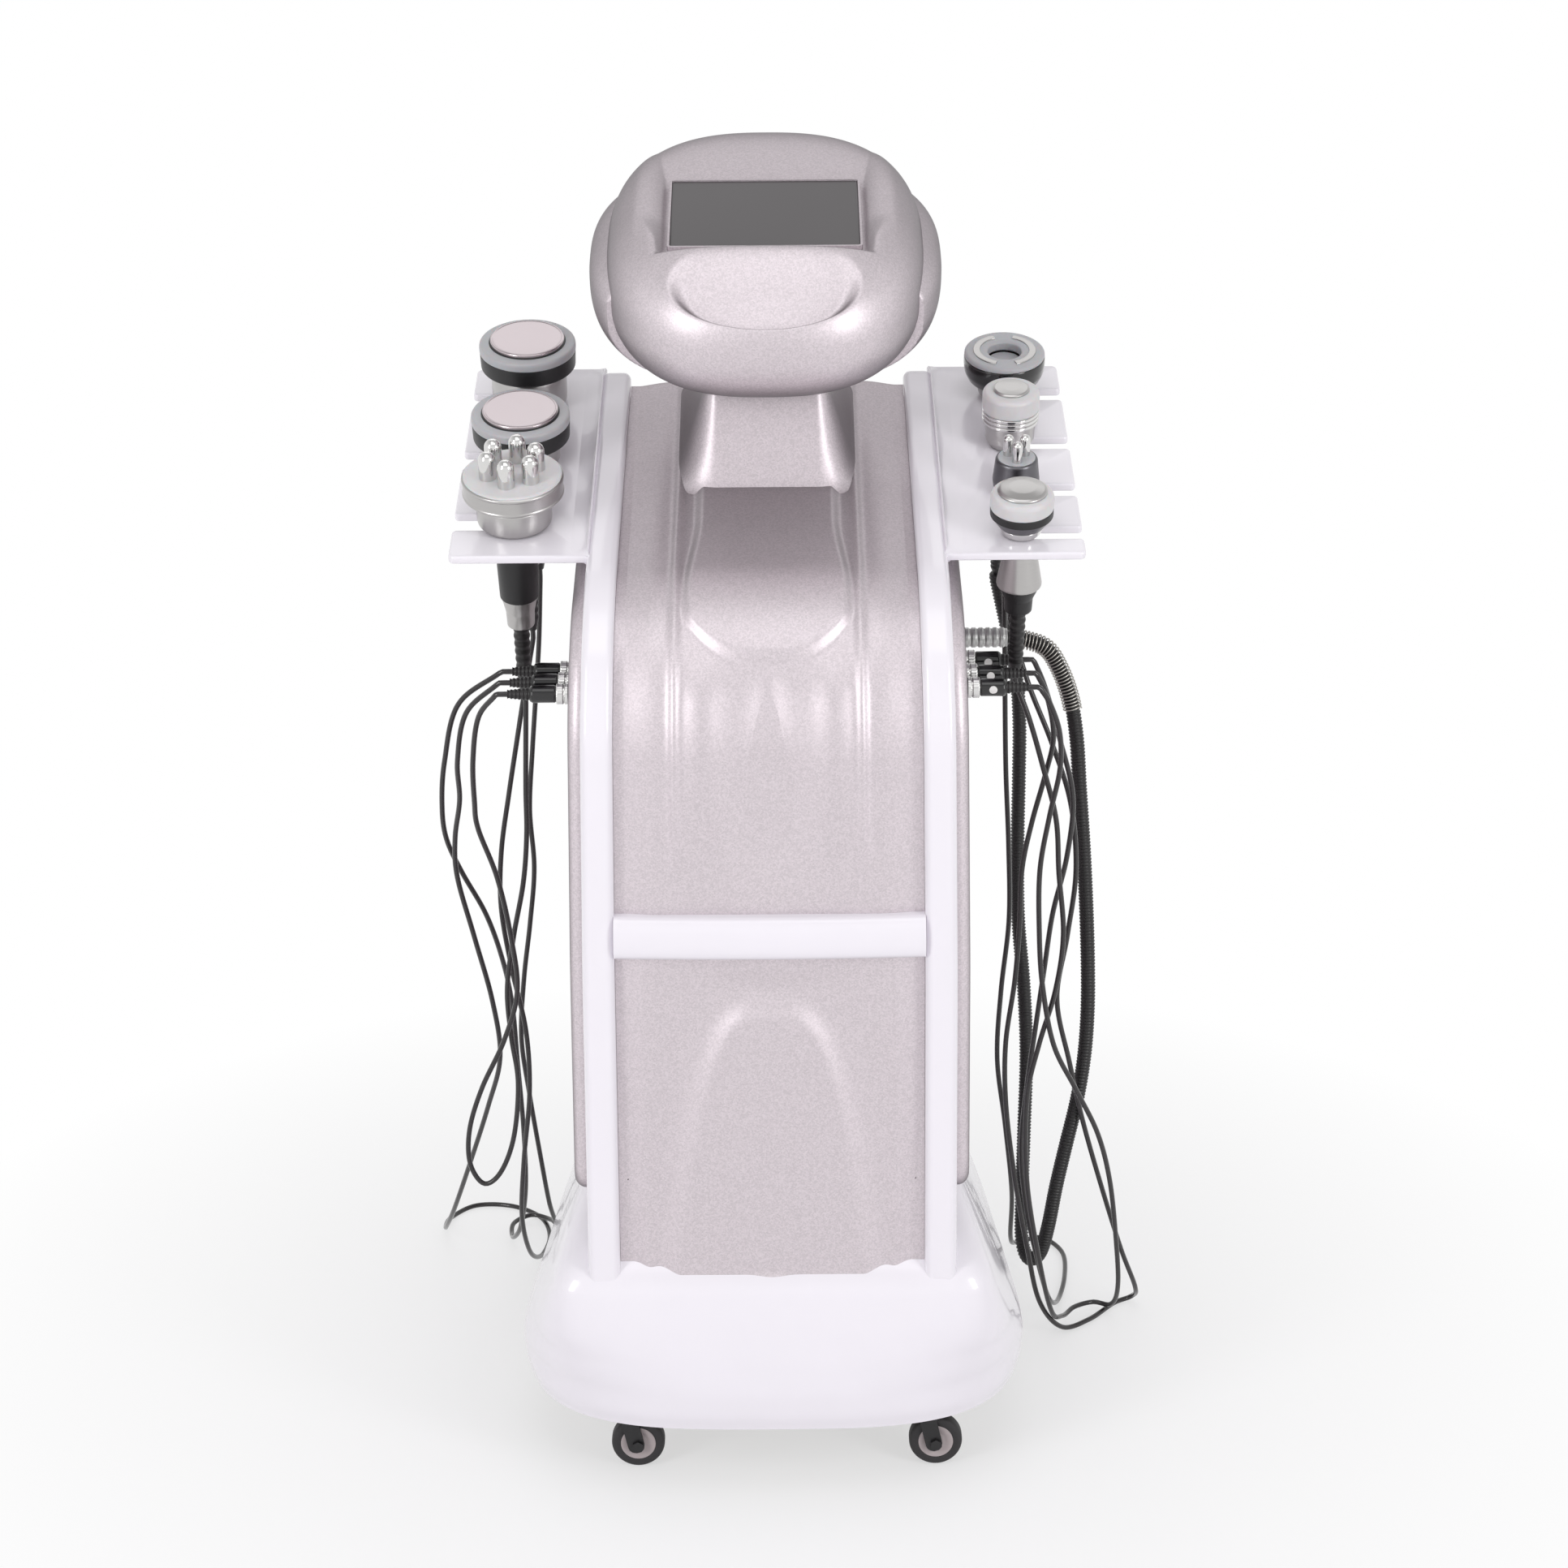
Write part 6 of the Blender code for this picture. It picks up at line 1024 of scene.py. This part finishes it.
def grip_depth(x, v):
    """How deep the hollow is that the fingers take hold in: it starts softly and ends at a crisp rim."""
    away = (np.abs(x) / 0.086) ** 2.3 + (np.abs(v + 0.136) / 0.046) ** 2
    return GRIP_DEEP * smooth_step((-0.104 - v) / 0.062) * smooth_step((1 - away) / 0.45)


points = pod(FACE)
x, v, n = points[..., 0], points[..., 1], points[..., 2]
# The bay's edge is crisp at the front and rolls over softly at the rear and the sides
soft = 0.006 + 0.026 * np.maximum(smooth_step((v + 0.08) / 0.06), smooth_step((np.abs(x) - 0.095) / 0.02))
top = smooth_min(n, bay_floor(x, v), soft) - grip_depth(x, v)
n = np.where(n > 0.005, top, n)
# Behind the chin the shell ends flat at the parting line, where the rear bowl takes over
behind = smooth_step((v - CHIN) / 0.002)
n = np.where(n < PARTING, n + (PARTING - n) * behind, n)
points = np.stack([x, v, n], axis=-1)
add_piece("face", surface("face", points, HEAD, sharp=60), SILVER, "head",
          ["head_face_shell"])

# %% [markdown]
# The rear bowl is a second, wider pod behind the first; only its rim shows from the front, as two
# ears. It is flat where it rests on the neck.

# %% Rear bowl
BOWL, BOWL_TOP = (0.159, 0.158, 0.084), 0.050
BOWL_BACK, BOWL_SINK, BOWL_REST = 0.014, 0.009, -0.0818
points = pod(BOWL, 160, 320)
x, v, n = points[..., 0], points[..., 1], points[..., 2]
n = np.where(n > 0, n * BOWL_TOP / BOWL[2], n)
n = np.maximum(n - BOWL_SINK, BOWL_REST)
v = np.maximum(v + BOWL_BACK, CHIN + 0.0015)
points = np.stack([x, v, n], axis=-1)
add_piece("bowl", surface("bowl", points, HEAD, sharp=50), SILVER, "head",
          ["head_rear_bowl"])

# %% [markdown]
# The screen is off, so its glass is a plain dark grey. A thin metal frame holds it in the bay, and
# the bright line above it is that frame's edge.

# %% Screen
GLASS = add_finish("dark_glass", "464244", 0.30, grain=0.03, tone=0.03, spread=0.02, Specular_IOR_Level=0.3)
BOARD = add_finish("circuit_board", "2F4A38", 0.5, grain=0.002, tone=0.25, spread=0.1)
FRAME_HALF, FRAME_FRONT, FRAME_REAR, RIM = 0.0858, -0.0778, 0.0540, 0.002
FRAME_LOW, FRAME_HIGH, GLASS_EDGE, GLASS_TOP = 0.048, 0.0533, 0.0518, 0.0520


def screen_box(inset, radius):
    """The frame's outline, drawn in by `inset`, and a tenth more at the rear."""
    return rounded_box(inset - FRAME_HALF, FRAME_HALF - inset, FRAME_FRONT + inset,
                       FRAME_REAR - 1.1 * inset, radius)


outer, inner = screen_box(0, 0.003), screen_box(RIM, RIM)
rows = [at_height(ring, height) for ring, height in (
    (outer, FRAME_LOW), (outer, FRAME_HIGH), (inner, FRAME_HIGH), (inner, FRAME_LOW))]
add_piece("screen_frame", surface("screen_frame", rows, HEAD, loop=True), SILVER, "head")
ring = screen_box(RIM + 0.0001, 0.0015)
# The pane's front edge is ground back a little at its sides
edge = ring * np.array([0.994, 1])
rows = [at_height(ring, FRAME_LOW), at_height(ring, GLASS_EDGE), at_height(edge, GLASS_TOP)]
add_piece("glass", surface("glass", rows, HEAD), GLASS, "head", ["screen_glass"])

# %% [markdown]
# ## Trays
# Each tray is a shelf along the deck with slots that open outwards, so that a handpiece's neck
# slides in from the side. The shelf is drawn as a flat outline and given thickness with a curve's
# extrusion and bevel; a second piece, a concave fillet, rises from it to the band.

# %% Trays
SHELF_THICK, SHELF_BEVEL = 0.008, 0.0022
TRAY_ROUND, MOUTH_ROUND = 0.006, 0.0045
FILLET_WIDE, FILLET_TALL, RUN_OUT = 0.020, 0.0034, 0.014


def rounded_line(corners, radii, steps=8):
    """A closed outline with each corner turned into an arc of its own radius."""
    count = len(corners)
    out = []
    for i in range(count):
        here = np.array(corners[i], float)
        before, after = np.array(corners[i - 1]) - here, np.array(corners[(i + 1) % count]) - here
        a, b = before / np.linalg.norm(before), after / np.linalg.norm(after)
        if radii[i] <= 0:
            out.append(here)
            continue
        half = np.arccos(np.clip(a @ b, -1, 1)) / 2
        reach = radii[i] / np.tan(half)
        bisector = (a + b) / np.linalg.norm(a + b)
        centre = here + bisector * radii[i] / np.sin(half)
        start, end = here + a * reach - centre, here + b * reach - centre
        turn = np.arctan2(start[0] * end[1] - start[1] * end[0], start @ end)
        for t in np.linspace(0, turn, steps):
            out.append(centre + np.array([start[0] * cos(t) - start[1] * sin(t),
                                          start[0] * sin(t) + start[1] * cos(t)]))
    return np.array(out)


def outline_mesh(name, outline, thickness, bevel, matrix):
    """A flat outline made a plate with rounded rims: a filled 2D curve, extruded and bevelled."""
    curve = bpy.data.curves.new(name, "CURVE")
    curve.dimensions = "2D"
    curve.fill_mode = "BOTH"
    curve.extrude = thickness / 2 - bevel
    curve.bevel_depth = bevel
    curve.bevel_resolution = 3
    curve.offset = -bevel
    add_spline(curve, at_height(outline, 0.0)).use_cyclic_u = True
    helper = add_object(name, curve)
    bpy.context.view_layer.update()
    mesh = bpy.data.meshes.new_from_object(helper.evaluated_get(bpy.context.evaluated_depsgraph_get()))
    bpy.data.objects.remove(helper)
    mesh.transform(matrix)
    return cleaned(mesh, 50)


def narrow(mesh):
    """Draws a mesh in towards the middle as the body narrows with height."""
    points = np.empty(len(mesh.vertices) * 3)
    mesh.vertices.foreach_get("co", points)
    points = points.reshape(-1, 3)
    points[:, 0] *= narrowing(points[:, 2])
    mesh.vertices.foreach_set("co", points.ravel())
    mesh.update()
    return mesh


def tray_outline(side, width):
    """A tray seen from above: a plate from the band outwards, with a slot at each handpiece."""
    inner, ends = HALF - 0.004, (TRAY_FROM, TRAY_FROM + TRAY_LONG)
    corners, radii = [(inner, ends[0]), (TRAY_TIP, ends[0])], [0, TRAY_ROUND]
    for hand, (v, reach) in SLOTS.items():
        if side_of(hand) == side:
            corners += [(TRAY_TIP, v - width / 2), (SLOT_X - width / 2, v - width / 2),
                        (SLOT_X - width / 2, v + width / 2), (TRAY_TIP, v + width / 2)]
            radii += [MOUTH_ROUND, width * 0.49, width * 0.49, MOUTH_ROUND]
    corners += [(TRAY_TIP, ends[1]), (inner, ends[1])]
    return rounded_line(corners, radii + [TRAY_ROUND, 0]) * np.array([side, 1])


def fillet_rows(side):
    """Rows of the fillet between a tray and its band, which runs out at both ends.

    Its section is a quarter ellipse from the shelf's top up to the band, then its back and underside."""
    a = np.linspace(0, pi / 2, 12)
    root = HALF - 0.003
    section = np.vstack([
        np.stack([HALF + FILLET_WIDE * (1 - np.sin(a)), FILLET_TALL * (1 - np.cos(a)) - 0.0021], axis=1),
        [(HALF - 0.001, FILLET_TALL - 0.0024), (root, -0.004), (root, -0.018), (HALF, -0.018),
         (HALF + 0.012, -0.0095)]])
    v = TRAY_FROM + np.linspace(0, TRAY_LONG, 60)
    run_out = np.clip(np.minimum(v - v[0], v[-1] - v)[:, None] / RUN_OUT, 0, 1)
    scale = np.sqrt(run_out * (2 - run_out)) * 0.92 + 0.08
    return np.stack([side * (root + (section[:, 0] - root) * scale), v[:, None] + 0 * section[:, 0],
                     SHELF_TOP + (section[:, 1] - SHELF_TOP) * scale], axis=-1)


lay = DECK @ Matrix.Translation((0, 0, SHELF_TOP - SHELF_THICK / 2))
for name, slot_width in (("left", 0.026), ("right", 0.019)):
    outline = tray_outline(side_of(name), slot_width)
    mesh = narrow(outline_mesh("shelf_" + name, outline, SHELF_THICK, SHELF_BEVEL, lay))
    add_piece("shelf_" + name, mesh, WHITE, replaces=["tray_" + name])
    mesh = narrow(surface("fillet_" + name, fillet_rows(side_of(name)), DECK))
    add_piece("fillet_" + name, mesh, WHITE)

# %% [markdown]
# ## Handpieces
# A handpiece is a stack of turned parts of different materials: the tool on top, a neck that rests
# in the tray's slot, a grip below it, a collar and a ribbed boot round the cord. Each part is one
# turned profile in the seat's frame, in mm, and they all ride on the handpiece's own body.

# %% Grips below the trays
def seat_frame(hand):
    """The frame of a handpiece: its origin on the tray's top, its Z away from the deck."""
    return Matrix.Translation(seat_of(hand)) @ Matrix.Rotation(SLOPE, 4, "X")


def add_turned(hand, what, profile, finish, soft=0.7, replaces=(), lay=None, steps=72, loop=False):
    """One turned part of a handpiece."""
    name = "%s_%s" % (hand, what)
    return add_piece(name, lathe(name, profile, lay or seat_frame(hand), soft, steps, loop), finish,
                     "handpiece_" + hand, replaces)


# Radii of the seat, neck, grip and collar, and the grip's share of what is below the tray
CAVITATION_GRIP = (30, 11.5, 19, 12.5, 0.42)
GRIPS = {
    "left_rear": CAVITATION_GRIP, "left_middle": CAVITATION_GRIP, "left_front": (24, 11.5, 18.5, 12.5, 0.42),
    "right_rear": (20, 8.2, 15.5, 12, 0.70), "right_third": (19, 8.2, 14, 11, 0.40),
    "right_second": (18, 8.2, 14, 11, 0.40), "right_front": (16.5, 8.2, 14.2, 12.5, 0.36),
}
for hand, (seat, neck, grip, collar, grip_share) in GRIPS.items():
    end = -SLOTS[hand][1]
    grip_low = end * grip_share
    collar_low, boot_low = (grip_low + (end - grip_low) * share for share in (0.28, 0.32))
    ribs_low = boot_low + (end - boot_low) * 0.8
    boot = max(collar * 0.62, 6)
    shape = [(seat - 1, 4), (seat, 1.2), (neck, 0.4), (neck, -8.6), (grip * 0.96, -9), (grip, -11),
             (grip * 1.02, grip_low / 2), (grip * 0.95, grip_low)]
    shoulder, grip_finish, collar_finish = grip * 0.90, BLACK, SATIN
    if hand == "right_front":  # its grip is silver and flares downwards
        shape[4:] = [(13, -9), (13.5, -11), (20.5, grip_low + 2), (20, grip_low)]
        shoulder, grip_finish, collar_finish = 19.2, SATIN, BLACK
    add_turned(hand, "grip", shape, grip_finish, 1.5)
    shape = [(shoulder, grip_low + 1), (collar * 1.05, (collar_low + grip_low) / 2), (collar, collar_low)]
    add_turned(hand, "collar", shape, collar_finish, 1)
    shape = [(boot, collar_low + 1)] + ribbed(boot_low, ribs_low, boot, boot * 0.86, 7, 0.8)
    add_turned(hand, "boot", shape + [(4, end + 1), (3.2, end)], RUBBER, 0.2, steps=48)
print("%d grips" % len(GRIPS))

# %% [markdown]
# The two cavitation heads at the back of the left tray are broad discs: a frosted grey ring round a
# raised lapped plate, a black band as wide below it, and a straight satin cup. The rear one is taller.

# %% Cavitation heads
TALLER = 14  # how much higher the rear head stands, in mm


def raised(profile, by):
    """A profile moved up."""
    return [(r, z + by) for r, z in profile]


for hand, lift in (("left_rear", TALLER), ("left_middle", 0)):
    add_turned(hand, "cup", [(31.8, 1), (34.5, 3.6), (35.2, 9), (35.2, 22.2 + lift)], SATIN, 3)
    band = [(37.4, 21.6), (38, 22.4), (38, 24.6), (43.2, 25.2), (44.3, 26.6), (44.9, 42.2)]
    add_turned(hand, "band", raised(band, lift), BLACK, 1, ["handpiece_" + hand])
    ring = [(44.6, 41.8), (45.1, 42.6), (45.2, 47), (44.7, 49.2), (43.2, 50), (36.2, 50.5)]
    add_turned(hand, "ring", raised(ring, lift), FROST_GREY, 1.2)
    groove = [(29, 49.5), (35.8, 49.5), (36, 50.9), (34.5, 51.5), (29, 51.5)]
    add_turned(hand, "groove", raised(groove, lift), BLACK, 0.4, loop=True)
    plate = [(34.5, 49.5), (34.7, 53.3), (34, 54.2), (32.8, 54.5), (31.8, 54)]
    add_turned(hand, "plate", raised(plate, lift), PLATE, 0.4, ["applicator_" + hand])

# %% [markdown]
# The head at the front of the left tray has six domed chrome pins on a frosted disc, a satin band
# with bright edges, and an O-ring gap above its lower cup. Pins are placed with one rotation each.

# %% Six-pin head
def dome(radius, foot, height):
    """A pin's profile: a straight side with a hemisphere on top."""
    shoulder = height - radius
    round_top = [(radius * cos(t), shoulder + radius * sin(t)) for t in np.linspace(0, pi / 2, 9)[:-1]]
    return [(radius, foot)] + round_top + [(0, height)]


def add_pins(hand, count, circle, radius, foot, height, turn):
    """Domed chrome pins round a circle on a handpiece, in mm."""
    for k in range(count):
        angle = turn + 2 * pi * k / count
        lay = seat_frame(hand) @ Matrix.Translation((circle * MM * cos(angle), circle * MM * sin(angle), 0))
        add_turned(hand, "pin_%d" % (k + 1), dome(radius, foot, height), CHROME, 0.1, lay=lay, steps=36)


hand = "left_front"
add_turned(hand, "cup", [(31.2, 1), (33.4, 3.2), (33.8, 9), (33.8, 25)], SATIN, 2)
add_turned(hand, "gap", [(34.4, 24.5), (35, 26.2), (35, 30.5)], BLACK, 0.8)
rim = [(0, 30), (43.8, 30.6), (45.5, 31.8), (45.5, 33.4), (44.9, 34), (44.9, 45.2), (45.6, 45.8),
       (45.6, 47.6), (44, 48.6)]
add_turned(hand, "rim", rim, SATIN, 0.6, ["handpiece_left_front"])
add_turned(hand, "disc", [(44, 48), (44, 49.2), (42, 50.4), (0, 51)], FROST_WHITE, 1)
add_pins(hand, 6, 22.5, 7.8, 50, 76.5, radians(20))
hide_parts("applicator_left_front")

# %% [markdown]
# The vacuum head at the back of the right tray is a glossy black bowl with a frosted ring as its
# mouth. Two C-shaped electrodes lie on the ring; each is a short arc of a rounded section.

# %% Vacuum head
ELECTRODE_RADIUS, ELECTRODE_WIDE, ELECTRODE_LOW, ELECTRODE_HIGH = 0.0262, 0.0064, 0.0468, 0.0486


def electrode(name, start, end, lay):
    """A flat bar of a rounded section, bent along an arc between two angles."""
    section = rounded_box(ELECTRODE_RADIUS - ELECTRODE_WIDE / 2, ELECTRODE_RADIUS + ELECTRODE_WIDE / 2,
                          ELECTRODE_LOW, ELECTRODE_HIGH, (ELECTRODE_HIGH - ELECTRODE_LOW) * 0.35, 5)
    return surface(name, turned(section, np.linspace(start, end, 40)).transpose(1, 0, 2), lay)


hand = "right_rear"
add_turned(hand, "cone", [(20, 1), (23.6, 4), (26.2, 14.5)], SATIN, 1.5)
bowl = [(0, 14), (27.6, 14.4), (33.8, 19.5), (37.2, 27), (38.2, 35), (38, 43.2), (17.2, 43.2),
        (16.6, 34.5), (0, 34)]
add_turned(hand, "bowl", bowl, GLOSS_BLACK, 2, ["handpiece_right_rear"])
mouth = [(15.8, 38.5), (37.4, 42.8), (37.9, 43.6), (37.6, 45.8), (35.5, 47.4), (20, 47.7), (15.8, 46.6)]
add_turned(hand, "mouth", mouth, FROST_GREY, 1.4, loop=True)
add_turned(hand, "well", [(15.4, 34.4), (15.4, 37.2), (0, 37.6)], FROST_GREY, 0.4)
for k, start in enumerate((110, 290)):
    name = "right_rear_electrode_%d" % (k + 1)
    mesh = electrode(name, radians(start), radians(start + 140), seat_frame(hand))
    add_piece(name, mesh, SATIN, "handpiece_right_rear")

# %% [markdown]
# The three smaller heads of the right tray are a ringed head with a domed plate, a dark tapered
# probe with three pins, and a domed head on a black collar.

# %% Smaller heads
hand = "right_third"
add_turned(hand, "cone", [(19, 1), (22.6, 8), (22.6, 13), (23.8, 26.2)], SATIN, 1,
           ["handpiece_right_third"])
rings = [(0, 25.5)]
for low in (25.6, 29.8, 34):
    rings += [(24.4, low), (26.2, low + 0.6), (26.2, low + 3), (24.4, low + 3.8)]
add_turned(hand, "rings", rings + [(0, 38)], CHROME, 0.4)
add_turned(hand, "cap", [(25.8, 37.6), (26.4, 40), (26.2, 53.6), (24, 56), (16.6, 56.8)], FROST_WHITE, 1.6)
add_turned(hand, "face", [(16.4, 56), (16.6, 58.2), (15, 59.3), (8, 59.9), (0, 60)], SATIN, 0.4)

hand = "right_second"
taper = [(18, 1), (20.5, 6), (21.3, 12), (19.2, 32.5), (18.2, 34.2)]
add_turned(hand, "taper", taper, DARK_METAL, 1.2, ["handpiece_right_second"])
add_turned(hand, "face", [(16.8, 33.6), (16.8, 34.8), (0, 35)], FROST_GREY, 0.3)
add_pins(hand, 3, 8.5, 4.7, 34, 55, radians(150))

hand = "right_front"
add_turned(hand, "foot", [(16.5, 1), (18.2, 3.2), (19.6, 8.6)], CHROME, 0.8,
           ["handpiece_right_front"])
add_turned(hand, "taper", [(0, 8.4), (20, 8.6), (26.8, 18.6), (27.2, 19.6)], DARK_METAL, 0.8)
add_turned(hand, "collar_ring", [(27.8, 19.2), (28.2, 20), (28.2, 26.4), (27.6, 27.2)], BLACK, 0.8)
add_turned(hand, "cap", [(27.8, 26.8), (28.4, 28.5), (28.4, 38), (26.8, 41.6), (22.6, 43)], FROST_WHITE, 1.8)
add_turned(hand, "face", [(22.2, 42.5), (22.4, 44.6), (20, 46.2), (12, 47.8), (0, 48.5)], SATIN, 1)

# %% [markdown]
# ## Casters
# Furniture casters: the black forks with slanted cheeks keep their CAD shape, and each wheel is a
# dark tread round a pale hub ring. Both are the same on either face, so half a profile is given.

# %% Casters
WHEEL_RADIUS, TRAIL = 0.025, 0.012
CORNERS = {"front_left": (-0.140, -0.175), "rear_left": (-0.140, 0.175),
           "front_right": (0.140, -0.175), "rear_right": (0.140, 0.175)}


def mirrored(half):
    """A profile with its own mirror image below the wheel's middle."""
    return half + [(r, -z) for r, z in half[::-1]]


tyre = mirrored([(16, 8.2), (20.5, 8.8), (23.5, 7.8), (WHEEL_RADIUS / MM, 5)])
hub = mirrored([(4.2, 7.8), (9, 7), (13, 8), (16.5, 8.4)])
for name, (x, y) in CORNERS.items():
    lay = Matrix.Translation((x + TRAIL, y, WHEEL_RADIUS)) @ Matrix.Rotation(pi / 2, 4, "X")
    add_piece("tyre_" + name, lathe("tyre_" + name, tyre, lay, 1.2, loop=True), TREAD, "wheel_" + name,
              ["caster_wheel_" + name])
    add_piece("hub_" + name, lathe("hub_" + name, hub, lay, 1, loop=True), HUB, "wheel_" + name)

# %% [markdown]
# ## What stays from the CAD
# The back cover, vents, inlet, switch, forks and the parts inside keep their CAD shape and only get
# a better finish, chosen by what each is made of.

# %% Finishes for the remaining CAD nodes
KEEPS = {
    "rear_cover": SILVER, "side_panel_left": SILVER, "side_panel_right": SILVER, "power_switch": RED,
    "socket_strip_left": BLACK, "socket_strip_right": BLACK, "mains_inlet": BLACK, "fan_rotor": BLACK,
    "vacuum_pump": BLACK, "power_supply": BARE, "display_module": BOARD, "base_plate": ZINC,
    "chassis_column": ZINC, "neck_spindle": ZINC,
}
KEEPS.update({"caster_fork_" + name: BLACK for name in CORNERS})
for node, finish in KEEPS.items():
    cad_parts[node].data.materials.clear()
    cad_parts[node].data.materials.append(finish)
for side in ("left", "right"):
    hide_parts("side_panel_" + side)
bare = [n for n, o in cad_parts.items() if not o.hide_render and n not in KEEPS]
print("nodes still shown:", bare)
